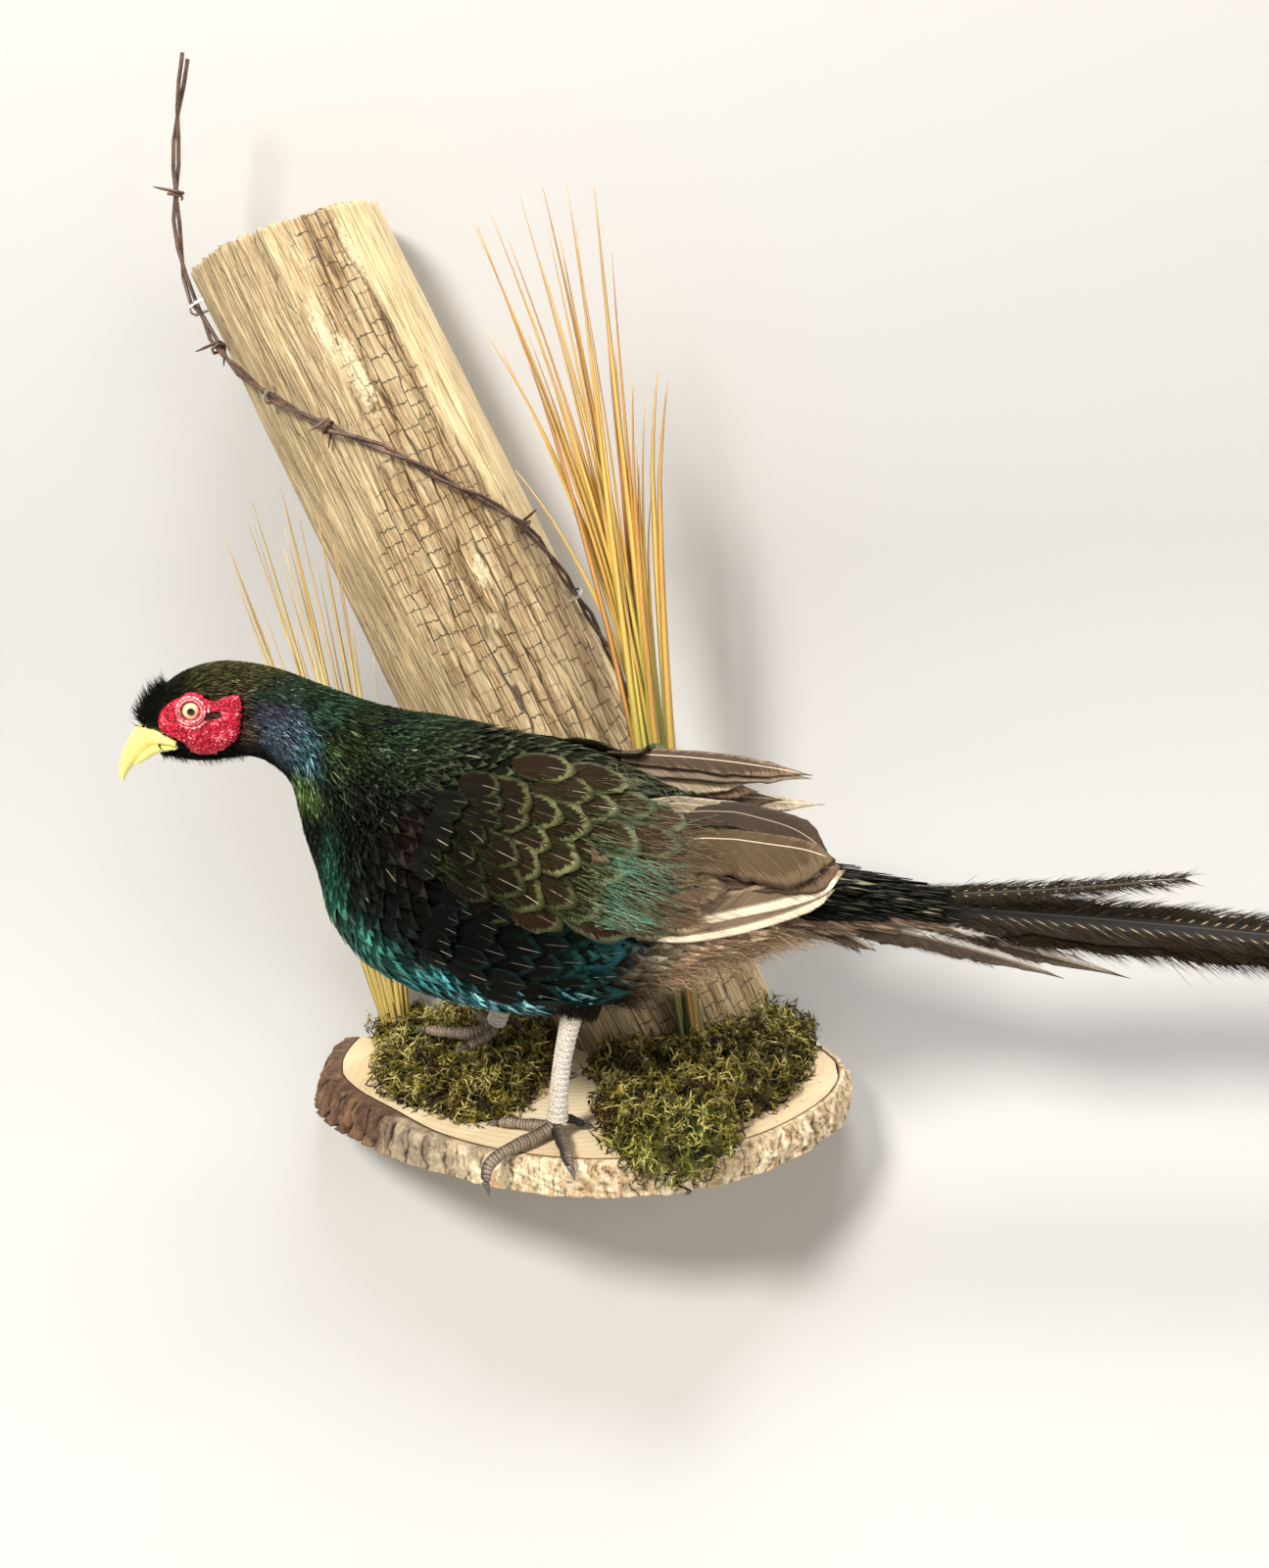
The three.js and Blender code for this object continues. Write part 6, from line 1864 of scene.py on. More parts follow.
def on_post(s, a, lift=0.0):
    """Points on the post: s up its axis, a round it from the front to the tail's side."""
    lumps = 1 + 0.018 * np.sin(3 * a + 0.6) + 0.012 * np.sin(5 * a + 2)
    r = (post_radius(s) * lumps + lift)[..., None]
    core = (np.array([POST_FOOT_X, POST_FLAT, 0]) - np.array([0, 1, 0]) * post_radius(s)[..., None]
            + POST_AXIS * s[..., None])
    return core + POST_RIGHT * r * np.sin(a)[..., None] + FRONT * r * np.cos(a)[..., None]


def checks_group():
    """Rectangular cross-checking: long splits with short uneven cracks between them."""
    tree, n, given, out = new_group("cross_checks", {"Place": (), "Width": 7.0, "Height": 9.0, "Gap": 0.5},
                                    {"Long": float, "Cross": float})
    x, s, _ = n.parts(given["Place"])
    bend = n.noise(n.scaled(given["Place"], (0.10, 0.016, 0.0)), 1.0, 2.0)
    column = n.math("DIVIDE", n.plus(x, n.swing(bend, 14.0)), given["Width"])
    index = n.math("FLOOR", column)
    inside = n.math("FRACT", column)
    away = n.times(n.math("MINIMUM", inside, n.minus(1.0, inside)), given["Width"])
    chance = n.node("TexWhiteNoise", {"W": index}, noise_dimensions="1D").outputs["Value"]
    tall = n.plus(given["Height"], n.times(chance, 7.0))
    jitter = n.noise(n.scaled(given["Place"], (0.55, 0.2, 0.0)), 1.0, 2.0)
    row = n.math("DIVIDE", n.plus(n.plus(s, n.times(chance, 40.0)), n.swing(jitter, 5.0)), tall)
    inside_row = n.math("FRACT", row)
    away_row = n.times(n.math("MINIMUM", inside_row, n.minus(1.0, inside_row)), tall)
    cell = n.node("CombineXYZ", {0: index, 1: n.math("FLOOR", row)}).outputs[0]
    kept = n.range(
        n.node("TexWhiteNoise", {"Vector": cell}, noise_dimensions="2D").outputs["Value"], 0.2, 0.4)
    n.link(n.range(away, 0.0, given["Gap"], 1.0, 0.0), out["Long"])
    n.link(n.times(n.range(away_row, 0.0, n.times(given["Gap"], 0.9), 1.0, 0.0), kept), out["Cross"])
    return tree


CHECKS = checks_group()


def post_finish():
    """Weathered softwood: silver and cream grain, a brown checked band, a clean pale strip, chalky scabs, and
    painted shade dark in the checks and cracks.
    """
    n = new_finish("weathered_post")
    lay = n.attribute("lay", "Vector")
    zones = n.parts(n.attribute("zones", "Vector"))
    ragged = n.noise(n.scaled(lay, (0.14, 0.05, 0.0)), 1.0, 4.0, 0.65)
    edge = n.swing(ragged, 1.3)
    checked = n.range(n.plus(zones[0], edge), 0.30, 0.75)
    strip = n.range(n.plus(zones[1], edge), 0.35, 0.7)
    scabs = n.noise(n.scaled(lay, (0.45, 0.22, 0.0)), 1.0, 4.0, 0.7)
    chalk = n.range(n.plus(zones[2], n.swing(scabs, 2.4)), 0.5, 0.62, 0.0, 0.8)
    streak = n.noise(n.scaled(lay, (1.5, 0.045, 1.0)), 1.0, 5.0, 0.6, 0.3)
    fine = n.noise(n.scaled(lay, (4.5, 0.16, 1.0)), 1.0, 3.0, 0.6)
    wide = n.noise(n.scaled(lay, (0.12, 0.016, 1.0)), 1.0, 3.0, 0.6)
    coarse = n.noise(n.scaled(lay, (0.6, 0.022, 1.0)), 1.0, 4.0, 0.7, 0.4)
    fibres = n.plus(n.times(coarse, 0.55), n.times(n.plus(streak, fine), 0.225))
    pale = n.ramp(fibres, (0.36, "443220"), (0.44, "8e7855"), (0.52, "bfa77c"), (0.62, "eddcb4"))
    pale = n.mix(n.range(wide, 0.40, 0.62, 0.0, 0.6), pale, n.ramp(fibres, (0.35, "6b5a42"), (0.6, "a3916e")))
    brown = n.ramp(fibres, (0.36, "3e2c1a"), (0.45, "846845"), (0.54, "b09469"), (0.66, "e0cb9c"))
    brown = n.mix(
        n.range(wide, 0.38, 0.60, 0.55, 0.0), brown, n.ramp(fibres, (0.34, "8a7350"), (0.6, "d6c69e")))
    colour = n.mix(checked, pale, brown)
    bright = n.ramp(fibres, (0.36, "7d6645"), (0.45, "b59f74"), (0.58, "e2d0a2"))
    colour = n.mix(n.times(strip, 0.85), colour, bright)
    colour = n.mix(chalk, colour, n.ramp(n.noise(lay, 0.5, 3.0), (0.3, "b8a67e"), (0.6, "dccdaa")))
    big = n.group(CHECKS, {"Place": lay, "Width": 9.5, "Height": 8.0, "Gap": 0.6})
    small = n.group(
        CHECKS, {"Place": n.vector("ADD", lay, (40.0, 9.0, 0.0)), "Width": 3.1, "Height": 14.0, "Gap": 0.32})
    depth = n.times(n.most(big["Long"], big["Cross"]), checked)
    hair = n.times(
        n.most(n.times(small["Long"], 0.75), n.times(small["Cross"], 0.4)), n.range(wide, 0.40, 0.55))
    hair = n.times(hair, n.minus(1.0, n.times(strip, 0.8)))
    crack = n.most(depth, n.times(hair, 0.75))
    crack = n.times(crack, n.minus(1.0, n.times(chalk, 0.7)))
    crack = n.most(crack, n.attribute("crack", "Fac"))
    # Painted shade: the checks and cracks are darkened almost to black.
    colour = n.mix(n.times(crack, 0.88), colour, "2a1a0e")
    height = n.minus(n.times(fibres, 0.7), n.times(crack, 1.3))
    return close_finish(n, colour, 0.85, height, 0.8, 0.0015)


HANGER_AT = 400.0                                # how far up the post its back is cut for the hanger
RECESS = (24, 9, 3.4)                            # half width, half height and depth of that cut
FRONT_COLUMNS = 270                              # of the post's columns of points, those that show


def make_post(finish):
    columns, rows = 340, 250
    front = np.linspace(math.radians(-98), math.radians(116), FRONT_COLUMNS)
    back = np.linspace(math.radians(116), math.radians(262), columns - FRONT_COLUMNS + 2)[1:-1]
    angle = np.concatenate([front, back])
    foot = np.zeros(columns)
    for _ in range(12):
        foot = foot - (on_post(foot, angle)[:, 2] - 0.3) / POST_AXIS[2]
    round_top = np.stack([angle * 60, 0 * angle, 0 * angle], 1)
    splinters = np.maximum(ripple(round_top, 2.6, 5) + 0.5 * ripple(round_top, 1.7, 6), 0)
    top = POST_LENGTH + 5 * np.cos(angle + 1.4) + 0.9 * ripple(round_top, 9, 2) + 1.5 * splinters
    share = np.linspace(0, 1, rows)[:, None]
    s = foot + (top - foot) * share
    a = np.broadcast_to(angle, s.shape)
    arc = a * post_radius(s)
    flat = np.stack([arc, s, 0 * s], axis=-1)
    left, right = (np.radians(np.interp(s, [c[0] for c in CHECKED], [c[k] for c in CHECKED])) for k in (1, 2))
    checked = smooth(a - left, -0.32, 0.22) * (1 - smooth(a - right, -0.1, 0.1))
    strip = smooth(a - right, -0.06, 0.1) * (1 - smooth(a, 1.95, 2.3))
    # crack: how deep the long cracks cut; the finish also paints shade there.
    crack = np.zeros_like(s)
    for s0, s1, a0, a1, wide, deep in LONG_CRACKS:
        t = (s - s0) / (s1 - s0)
        inside = smooth(t, 0, 0.12) * (1 - smooth(t, 0.88, 1.0)) if s1 < 500 else smooth(t, 0, 0.12)
        centre = lerp(math.radians(a0), math.radians(a1), t) * post_radius(s) + 1.4 * ripple(
            flat * (0, 1, 0) + s0, 60, int(s0)) + 0.35 * ripple(flat * (0, 1, 0) + s0, 9, 3)
        crack = np.maximum(crack, inside * deep / 3.2 * np.exp(-((arc - centre) / wide) ** 2))
    chalk = np.zeros_like(s)
    for at, turn, tall, broad in ((413, 19, 26, 5.5), (440, 12, 16, 4), (290, 32, 12, 5), (263, 26, 6, 3),
                                  (470, 47, 20, 4)):
        chalk = np.maximum(chalk, np.exp(
            -((s - at) / tall) ** 2 - ((arc - math.radians(turn) * post_radius(s)) / broad) ** 2))
    grooves = ripple(flat * (1, 0.02, 1), 3.2, 6) * 0.22 + ripple(flat * (1, 0.05, 1), 8, 7) * 0.35
    blocks = ripple(flat * (1, 0.7, 1), 8, 8) * 0.35 * checked
    sunk = -0.9 * checked + 0.5 * strip
    lift = grooves + blocks + sunk - 3.2 * crack + 0.3 * smooth(chalk, 0.4, 0.7)
    lift = lift * (1 - smooth(a, 2.1, 2.4) * (1 - smooth(a, 4.2, 4.5)))
    points = on_post(s, a, lift)
    points[..., 1] = np.minimum(points[..., 1], 0.0)
    recess = on_post(np.array(HANGER_AT), np.array(math.pi))
    half_wide, half_high, deep = RECESS
    in_recess = ((np.abs(points[..., 0] - recess[0]) < half_wide)
                 & (np.abs(points[..., 2] - recess[2]) < half_high) & (points[..., 1] > 0.1 - deep))
    points[..., 1] = np.where(in_recess, -deep, points[..., 1])
    rings = 24
    mouth, sole = points[-1], points[0]
    hub, under = mouth.mean(0), sole.mean(0)
    inwards = np.linspace(0, 1, rings + 1)[1:-1, None, None]
    cap = mouth[None] + (hub - mouth)[None] * inwards
    cap = cap + POST_AXIS * (0.5 * ripple(cap, 6, 4) - 0.6 * smooth(inwards[..., 0], 0, 0.1))[..., None]
    base = sole[None] + (under - sole)[None] * np.linspace(0, 1, 6)[1:-1, None, None]
    grid = np.concatenate([base[::-1], points, cap])
    total_rows = len(grid)
    count = total_rows * columns
    faces = grid_faces(total_rows, columns, closed=True)
    hubs = np.array([under, hub])
    ring = np.arange(columns)
    nxt = (ring + 1) % columns
    fans = np.concatenate([np.stack([np.full(columns, count), nxt, ring], axis=1),
                           np.stack([
                               np.full(columns, count + 1), count - columns + ring, count - columns + nxt],
                                    axis=1)])

    def spread(values):
        """One value for each point, with none on the base, the cap and their hubs."""
        return np.concatenate(
            [np.zeros(len(base) * columns), values.ravel(), np.zeros(len(cap) * columns + 2)])

    cap_lay = np.stack([cap[..., 0], cap[..., 1] * 8.0, 0 * cap[..., 0]], axis=-1)
    base_lay = np.repeat(flat[:1], len(base), 0)
    lay = np.concatenate([rows_.reshape(-1, 3) for rows_ in (base_lay, flat, cap_lay, np.zeros((2, 3)))])
    zones = np.stack([spread(checked), spread(strip), spread(chalk)], axis=1)
    mesh = make_mesh("weathered_post", np.concatenate([grid.reshape(-1, 3), hubs]), [faces, fans],
                     attributes={"lay": lay, "zones": zones, "crack": spread(crack)})
    place_solid("weathered_post", mesh, finish, ["post"])


# ---- moss -----------------------------------------------------------------------------------------

MOSS = {
    "left": (21, [(-152, -46), (-138, -78), (-128, -108), (-120, -140), (-109, -162), (-73, -186),
                  (-47, -201), (-27, -187), (-20, -160), (-17, -124), (-30, -70), (-80, -30), (-125, -22)]),
    "right": (24, [(0, -112), (12, -150), (17, -192), (27, -218), (42, -250), (61, -266), (82, -260),
                   (92, -240), (90, -208), (110, -184), (124, -150), (128, -100), (123, -62), (102, -24),
                   (70, -60)])}


MOUND_SIDES = 96
MOSS_HANG = 22                                   # how far the right cushion may hang over the slice's edge
SPRIG_KINDS = 9
SPRIGS_PER_SQUARE_METRE = 44000.0


def moss_finish():
    n = new_finish("moss_strands")
    place_ = n.object_place()
    _, y, _ = n.parts(place_)
    tone = n.attribute("tone", "Fac")
    up = n.attribute("up", "Fac")
    wide = n.noise(place_, 45.0, 2.0)
    mixed = n.plus(n.times(tone, 0.7), n.times(wide, 0.3))
    colour = n.ramp(mixed, (0.16, "1a1905"), (0.32, "544d14"), (0.46, "938829"), (0.60, "cbbb4a"),
                    (0.76, "fff2a0"))
    lobe = n.times(n.range(y, -0.195, -0.24), n.range(wide, 0.35, 0.6, 0.2, 0.55))
    colour = n.mix(lobe, colour, n.mix(tone, "486b12", "b7bd45"))
    colour = n.mix(n.range(tone, 0.90, 0.98), colour, "6b4a22")
    # Patches of tufts are darkened and brightened at random. This is partly the moss's own tone and partly
    # painted shade in the gaps, with painted light on the tufts.
    tufts = n.noise(place_, 110.0, 2.0)
    colour = n.shade(colour, tufts, (0.38, (0.22, 0.20, 0.16, 1)), (0.62, (1.7, 1.65, 1.5, 1)))
    # Painted light and shade: strands are darkened low in the cushion and brightened well past their colour
    # towards its top.
    colour = n.shade(colour, up, (0.05, 0.12), (0.45, 0.7), (0.95, (2.7, 2.6, 2.2, 1)))
    return close_finish(n, colour, 0.7, n.noise(place_, 1500.0, 2.0), 0.3, 0.0003, Specular_IOR_Level=0.25)


def moss_sprig(seed):
    """One curled strand with short leaflets along it, standing on the origin, as a loose mesh."""
    draw = np.random.default_rng(seed)
    v = np.linspace(0, 1, 5)
    turn = draw.uniform(0, 6.28)
    sway = np.stack([np.cos(turn + 4.0 * v), np.sin(turn + 4.0 * v), 0 * v], axis=1)
    stem = np.array([0, 0, 1.0]) * (6.2 * np.sin(1.5 * v))[:, None] + sway * (6.5 * v ** 1.2)[:, None]
    stem_part = strands(stem[None], np.tile(unit(draw.normal(size=3)), (1, 5, 1)), np.array([0.62]),
                        np.ones((1, 4)), np.ones((1, 4)), np.zeros((1, 2)), draw)
    lines = []
    for at in np.linspace(0.2, 0.9, 6):
        root = through(stem, at * 4)
        ahead = unit(through(stem, min(at * 4 + 0.3, 4)) - root)
        way = unit(draw.normal(size=3) + ahead * 0.9 + (0, 0, 0.2))
        curl = unit(draw.normal(size=3))
        long = draw.uniform(2.6, 4.8)
        w = np.linspace(0, 1, 3)[:, None]
        lines.append(root + way * long * w + curl * 1.1 * w ** 2)
    lines = np.array(lines)
    count = len(lines)
    out = np.tile(unit(draw.normal(size=(count, 1, 3))), (1, 3, 1))
    code = np.ones((count, 4))
    leaves = strands(lines, out, np.full(count, 0.52), code, code, np.zeros((count, 2)), draw)
    part = join_parts([stem_part, leaves])
    part["uvs"], part["attributes"] = {}, {}
    part["points"] = part["points"] + WALL_MARK
    return make_mesh(f"sprig_{seed}", **part)


def scatter_tree():
    """Geometry nodes that stand pieces of a collection all over a surface, each with its own tone."""
    tree = bpy.data.node_groups.new("scatter_sprigs", "GeometryNodeTree")
    for key, kind, default in (("Surface", "NodeSocketGeometry", None),
                               ("Sprigs", "NodeSocketCollection", None),
                               ("Density", "NodeSocketFloat", 60000.0), ("Smallest", "NodeSocketFloat", 0.7),
                               ("Largest", "NodeSocketFloat", 1.3), ("Seed", "NodeSocketInt", 1),
                               ("Finish", "NodeSocketMaterial", None)):
        socket = tree.interface.new_socket(key, in_out="INPUT", socket_type=kind)
        if default is not None:
            socket.default_value = default
    tree.interface.new_socket("Geometry", in_out="OUTPUT", socket_type="NodeSocketGeometry")
    given = tree.nodes.new("NodeGroupInput").outputs

    spots = add_node(tree, "GeometryNodeDistributePointsOnFaces",
                     {"Mesh": given["Surface"], "Density": given["Density"], "Seed": given["Seed"]})
    sprigs = add_node(tree, "GeometryNodeCollectionInfo",
                      {"Collection": given["Sprigs"], "Separate Children": True, "Reset Children": True})
    spin = add_node(tree, "FunctionNodeRandomValue",
                    {"Min": (-0.9, -0.9, 0.0), "Max": (0.9, 0.9, 6.283), "Seed": given["Seed"]},
                    data_type="FLOAT_VECTOR")
    size = add_node(tree, "FunctionNodeRandomValue",
                    {2: given["Smallest"], 3: given["Largest"], "Seed": given["Seed"]}, data_type="FLOAT")
    turned = add_node(tree, "FunctionNodeRotateRotation", {0: spots.outputs["Rotation"], 1: spin.outputs[0]},
                      rotation_space="LOCAL")
    stood = add_node(tree, "GeometryNodeInstanceOnPoints", {
        "Points": spots.outputs["Points"], "Instance": sprigs.outputs[0], "Pick Instance": True,
        "Rotation": turned.outputs[0], "Scale": size.outputs[1]})
    tone = add_node(
        tree, "FunctionNodeRandomValue", {2: 0.0, 3: 1.0, "Seed": given["Seed"]}, data_type="FLOAT")
    toned = add_node(tree, "GeometryNodeStoreNamedAttribute",
                     {"Geometry": stood.outputs[0], "Name": "tone", "Value": tone.outputs[1]},
                     data_type="FLOAT", domain="INSTANCE")
    real = add_node(tree, "GeometryNodeRealizeInstances", {"Geometry": toned.outputs[0]})
    dressed = add_node(
        tree, "GeometryNodeSetMaterial", {"Geometry": real.outputs[0], "Material": given["Finish"]})
    tree.links.new(dressed.outputs[0], tree.nodes.new("NodeGroupOutput").inputs[0])
    return tree


def evaluated(mesh, tree, settings):
    """The mesh that a node tree makes of mesh, with the tree's named inputs set."""
    holder = stand("holder", mesh)
    modifier = holder.modifiers.new("nodes", "NODES")
    modifier.node_group = tree
    for item in tree.interface.items_tree:
        if item.in_out == "INPUT" and item.name in settings:
            modifier[item.identifier] = settings[item.name]
    depsgraph = bpy.context.evaluated_depsgraph_get()
    made = bpy.data.meshes.new_from_object(holder.evaluated_get(depsgraph), depsgraph=depsgraph)
    holder.modifiers.remove(modifier)
    bpy.data.objects.remove(holder)
    return made


def moss_mound(outline, high):
    """A lumpy cushion over an outline on the slice."""
    rim = evenly(np.array([(*p, 0) for p in outline], float), MOUND_SIDES, closed=True)
    middle = rim.mean(0)
    inward = middle - rim
    pull = 6 + 6 * smooth(-rim[:, 1:2], 225, 250)
    rim = rim + unit(inward) * np.minimum(pull, 0.3 * np.linalg.norm(inward, axis=1, keepdims=True))
    rings = 26
    away = np.linspace(0.02, 1.0, rings)[:, None, None]
    points = middle + (rim - middle)[None] * away
    dome = high * 0.52 * (1 - away[..., 0] ** 4.5) ** 0.6
    lumps = ripple(points, 34, 3) * 3.0 + ripple(points, 13, 4) * 2.4
    points[..., 2] = 0.4 + np.maximum(dome + lumps * (1 - away[..., 0] ** 6), 0.15) * (away[..., 0] < 1)
    sole = points[-1:].copy()
    sole[..., 2] = 0.35
    grid = np.concatenate([points, sole])
    return grid.reshape(-1, 3), capped_faces(len(grid), MOUND_SIDES)


def make_moss(finish):
    holder = bpy.data.collections.new("sprigs")
    for seed in range(SPRIG_KINDS):
        sprig = bpy.data.objects.new(f"sprig_{seed}", moss_sprig(seed))
        holder.objects.link(sprig)
    tree = scatter_tree()
    for index, (name, (high, outline)) in enumerate(MOSS.items()):
        points, faces = moss_mound(outline, high)
        count = len(points)
        # The ground under the strands gets a low up, so the finish paints it in shade.
        ground = make_mesh(f"moss_ground_{name}", points, faces, attributes={
            "tone": np.full(count, 0.3), "up": np.full(count, 0.25)})
        turn_out(ground)
        for layer, seed in (("under", 11), ("over", 31)):
            tufts = evaluated(ground, tree, {
                "Sprigs": holder, "Density": SPRIGS_PER_SQUARE_METRE, "Smallest": 0.7, "Largest": 1.45,
                "Seed": seed + index, "Finish": finish})
            numbers = np.empty(len(tufts.vertices) * 3, np.float32)
            tufts.vertices.foreach_get("co", numbers)
            places = numbers.reshape(-1, 3)
            _, y, z = sliced(places).T
            low = np.maximum(z, 0.3 - MOSS_HANG * smooth(-y, 240, 250) * (1 if name == "right" else 0))
            places[:, 2] = (low - WALL_MARK[2]) * MM
            places[:, 1] = np.minimum(places[:, 1], -0.0005)
            tufts.vertices.foreach_set("co", numbers)
            # up: how high a strand stands in its cushion, for the finish's painted light and shade. The right
            # cushion's strands are painted brighter, as painted light.
            level = smooth(z / high, 0.05, 0.85) * (0.85 if name == "left" else 1.25)
            add_attribute(tufts, "up", level)
            place(f"moss_strands_{name}_{layer}", tufts, finish, [f"moss_{name}"])
        place(f"moss_ground_{name}", ground, finish)
    for sprig in list(holder.objects):
        bpy.data.objects.remove(sprig)
    bpy.data.collections.remove(holder)


# ---- grass ----------------------------------------------------------------------------------------

def blade_finish(name, low, middle, tips, stripe):
    """Dry grass: from its foot's colour to its tip's, streaked along, each blade a little different."""
    n = new_finish(name)
    lay = n.attribute("lay", "Vector")
    across, along, seed = n.parts(lay)
    _, v, _ = n.parts(n.node("UVMap", uv_map="Vane").outputs[0])
    chance = n.node("TexWhiteNoise", {"W": seed}, noise_dimensions="1D").outputs["Value"]
    at = n.plus(v, n.swing(chance, 0.22))
    colour = n.ramp(at, (0.05, low), (0.30, middle), (0.62, tips), (0.98, "c49a55"))
    colour = n.mix(n.range(chance, 0.62, 0.85, 0.0, 0.75), colour, stripe)
    shifted = n.node("CombineXYZ", {0: n.times(across, 2.6), 1: n.times(along, 0.02), 2: seed})
    lines = n.noise(shifted.outputs[0], 1.0, 3.0, 0.6)
    colour = n.shade(colour, lines, (0.3, (0.5, 0.45, 0.4, 1)), (0.65, (1.25, 1.25, 1.2, 1)))
    return close_finish(n, colour, 0.5, lines, 0.5, 0.0003, Sheen_Weight=0.1)


def make_grass(name, roots, tips, bows, half, finish, seed):
    """Blades from roots to tips, each a narrow closed V that tapers to a hair."""
    draw = np.random.default_rng(seed)
    rows = 26
    t = np.linspace(0, 1, rows)[None, :, None]
    middle = lerp(roots, tips, 0.45) + bows
    spine = roots[:, None] * (1 - t) ** 2 + middle[:, None] * 2 * t * (1 - t) + tips[:, None] * t ** 2
    bend = draw.normal(size=(len(roots), 1, 3)) * (4.0, 1.5, 0.5)
    spine = spine + bend * np.sin(math.pi * t) * 0.8 + bend * (t - 0.8).clip(0) * 2.2
    spine[..., 1] = np.minimum(spine[..., 1], -3)
    turn = draw.uniform(-1.0, 1.0, len(roots))
    out = unit(np.stack([np.sin(turn), -np.cos(turn), 0 * turn], axis=1))
    out = np.repeat(out[:, None], rows, axis=1)
    v = np.linspace(0, 1, rows)[None]
    width = (half * draw.uniform(0.75, 1.15, (len(roots), 1)) * np.minimum(1, 0.55 + 2 * v)
             * (1 - 0.93 * v ** 1.7))
    plain = np.ones((len(roots), 4))
    part = vanes(spine, out, width, plain, plain, np.full((len(roots), 2), 0.5), draw, camber=0.55,
                 round_tip=0.0, thick=0.16, quill=0.0, patch=0.9)
    place_part(name, part, finish, [name.replace("_blades", "")])


LEFT_TIPS = [(-196, 308), (-186, 314), (-176, 322), (-168, 298), (-160, 330), (-150, 326), (-143, 300),
             (-136, 322), (-128, 318), (-118, 300), (-108, 262)]
RIGHT_TIPS = [(-34, 462), (-30, 402), (-24, 470), (-14, 452), (-6, 474), (0, 440), (8, 476), (14, 452),
              (22, 476), (27, 430), (33, 474), (38, 398), (42, 440), (48, 376), (53, 366), (58, 380)]
LEFT_ROOT, RIGHT_ROOT = np.array([-119.0, -88, 1]), np.array([63.0, -128, 1])
RIGHT_NECK = np.array([48.0, -106, 182])         # the blades of the right tuft draw together here
NECK_SHARE = 0.38


def fanned(i, first, step, sway, rate):
    """How far the i-th blade's root lies from the tuft's own."""
    return np.stack([first + step * i, sway * np.sin(rate * i), 0 * i], axis=1)


def make_tuft(name, draw, roots, tips, bows, bow_share, fall, half, finish, seed):
    """Long blades, and beside each a shorter one: up to fall lower, with a share of its bow."""
    more = tips + draw.normal(size=tips.shape) * (5, 4, 0)
    lower = np.zeros(tips.shape)
    lower[:, 2] = draw.uniform(2, fall, len(tips))
    beside = roots + draw.normal(size=roots.shape) * (2, 2, 0)
    make_grass(name, np.concatenate([roots, beside]), np.concatenate([tips, more - lower]),
               np.concatenate([bows, bows * bow_share]), half, finish, seed)


def make_grasses():
    draw = np.random.default_rng(77)
    ends = np.array(LEFT_TIPS, float)
    i = np.arange(len(ends))
    tips = np.stack([ends[:, 0], -70 + 6 * np.sin(1.7 * i) - 44 * smooth(i, 4, 6), ends[:, 1]], axis=1)
    bows = np.stack([12.0 - i, 0 * i, 0 * i], axis=1)
    make_tuft("grass_left_blades", draw, LEFT_ROOT + fanned(i, -4, 0.8, 2.6, 2.1), tips, bows, 0.8, 45, 2.4,
              blade_finish("cream_blades", "c2a546", "ead893", "ecdca2", "cdb05a"), 5)
    ends = np.array(RIGHT_TIPS, float)
    i = np.arange(len(ends))
    tips = np.stack([ends[:, 0], -88 + 8 * np.sin(1.9 * i), ends[:, 1]], axis=1)
    fan = fanned(i, -4.4, 0.55, 2.4, 2.3)
    roots = lerp(RIGHT_ROOT, RIGHT_NECK, 0.02) + fan
    near, far = 1 - NECK_SHARE, NECK_SHARE
    bows = ((RIGHT_NECK + fan - roots * near ** 2 - tips * far ** 2) / (2 * far * near)
            - lerp(roots, tips, 0.45))
    make_tuft("grass_right_blades", draw, roots, tips, bows, 1.0, 70, 3.1,
              blade_finish("golden_blades", "4d6a22", "a3ac40", "e9be5a", "b87430"), 6)


# ---- wire and fixings -----------------------------------------------------------------------------

def rust_finish():
    n = new_finish("rusty_wire")
    place_ = n.object_place()
    grit = n.group(GRIT, {"Place": place_, "Per metre": 1100.0, "Contrast": 1.5})["Value"]
    colour = n.ramp(grit, (0.3, "2a201a"), (0.5, "574236"), (0.68, "80614e"), (0.85, "a38a78"))
    return close_finish(n, colour, n.range(grit, 0.3, 0.7, 0.45, 0.8), grit, 0.6, 0.0004, Metallic=0.25)


def zinc_finish():
    n = new_finish("zinc")
    place_ = n.object_place()
    spangle = n.node("TexVoronoi", {"Vector": place_, "Scale": 480.0}).outputs["Color"]
    shade = n.noise(place_, 700.0, 3.0)
    colour = n.mix(n.range(shade, 0.3, 0.7, 0.1, 0.5), "d9d9d6", spangle, "MULTIPLY")
    return close_finish(n, n.mix(0.75, colour, "cfcfcb"), n.range(shade, 0.3, 0.7, 0.22, 0.42), shade, 0.2,
                        0.0002, Metallic=1.0)


def dress_nodes():
    """Gives the nodes that stay as they are their finishes."""
    wood, rust, zinc = wood_finish(), rust_finish(), zinc_finish()
    for prefix, finish in (("slice_wood", wood), ("wire_strand", rust), ("barb", rust), ("staple", zinc),
                           ("hanger", zinc), ("screw", zinc)):
        for node in bpy.data.objects:
            if node.type == "MESH" and node.name.startswith(prefix):
                for holder in node.material_slots:
                    holder.material = finish


# ---- everything together --------------------------------------------------------------------------

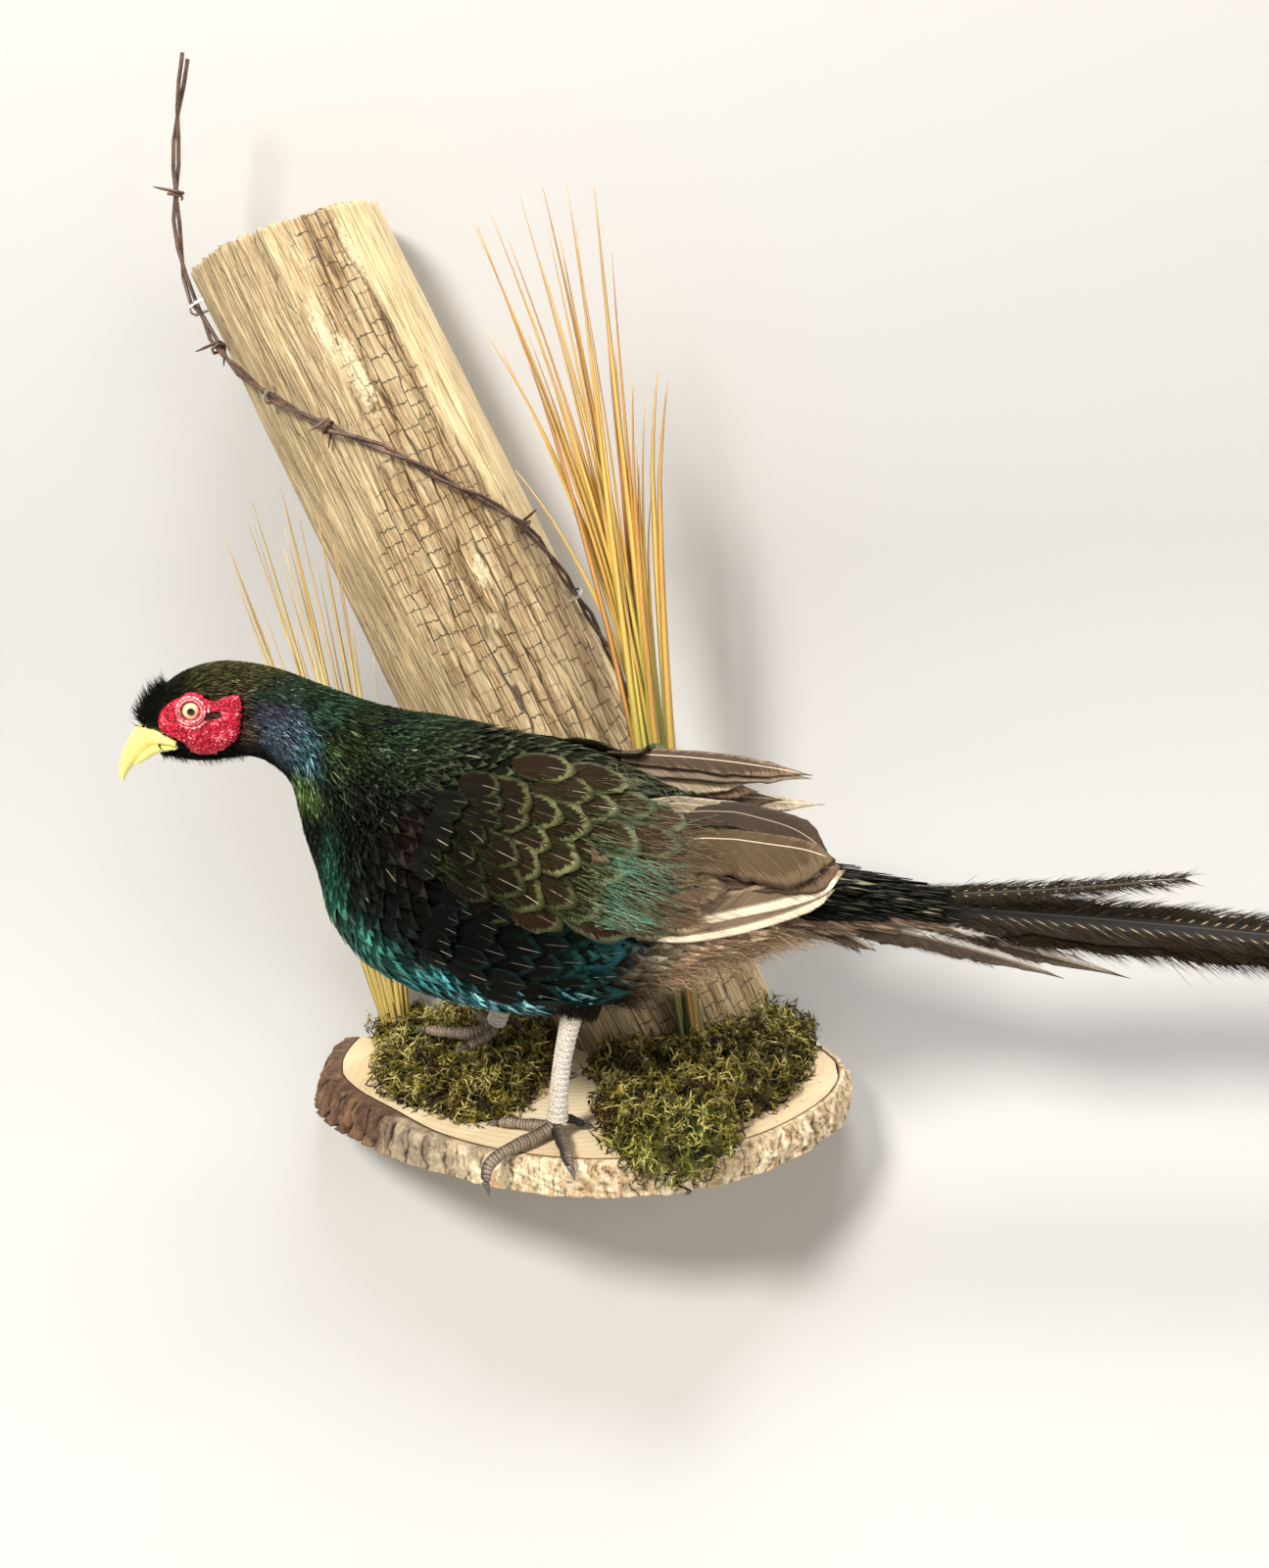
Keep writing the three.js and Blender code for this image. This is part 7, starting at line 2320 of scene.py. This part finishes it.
def stage_finish():
    """Matt and pale; it shows only from the front, and lets light from behind reach the object's back."""
    n = new_finish("pale_backdrop")
    matt = n.node("BsdfDiffuse", {"Color": (0.46, 0.452, 0.44, 1)}).outputs[0]
    clear = n.node("BsdfTransparent").outputs[0]
    hidden = n.most(n.node("NewGeometry").outputs["Backfacing"], n.node("LightPath").outputs["Is Shadow Ray"])
    n.link(n.node("MixShader", {0: hidden, 1: matt, 2: clear}).outputs[0], n.node("OutputMaterial").inputs[0])
    return n.finish


def main():
    make_camera()
    light_studio()
    make_stage(stage_finish())
    satin = vane_finish("satin_feather", gloss="93a184", shine=0.06, quill_wide=0.17)
    velvet = vane_finish("velvet_feather", rough=0.5, gloss="8fa082", shine=0.09)
    plain = "d8cbb8"
    flight = vane_finish("flight_feather", rough=0.5, gloss=plain, quill_from=0.0, quill_wide=0.42)
    primary = vane_finish("primary_feather", rough=0.5, gloss=plain, outer="cfbfa6", quill_from=0.0)
    tail = vane_finish(
        "tail_feather", rough=0.5, gloss=plain, bars=("7a6a52", 6.5), quill_from=0.0, quill_wide=0.5)
    two_toned = vane_finish("two_toned_feather", rough=0.5, gloss=plain, outer="8e8780", outer_side=-1.0,
                            outer_from=0.35, quill_from=0.0, quill_wide=0.4)
    make_skin()
    make_coat(satin, velvet)
    make_wings(satin, flight, primary, velvet)
    make_flanks(satin)
    make_vent(velvet)
    make_tail(tail, two_toned, velvet)
    make_tail_coverts(satin)
    wattle, glass = face_finish(), eye_finish()
    for hand in (NEAR, FAR):
        make_face(wattle, hand)
        make_eye(glass, hand)
    make_bill(horn_finish("bill_horn", "f4ee9c", "ecdf7c", "cfb95c"))
    make_bristles(velvet)
    make_legs(scale_finish("shank_scales", "fffdf8", "cfc4b4"),
              scale_finish("toe_scales", "a3917c", "17110c"),
              horn_finish("claw_horn", "8a8378", "4a443c", "241f1a"), velvet)
    dress_nodes()
    make_bark(bark_finish())
    make_post(post_finish())
    make_moss(moss_finish())
    make_grasses()


main()
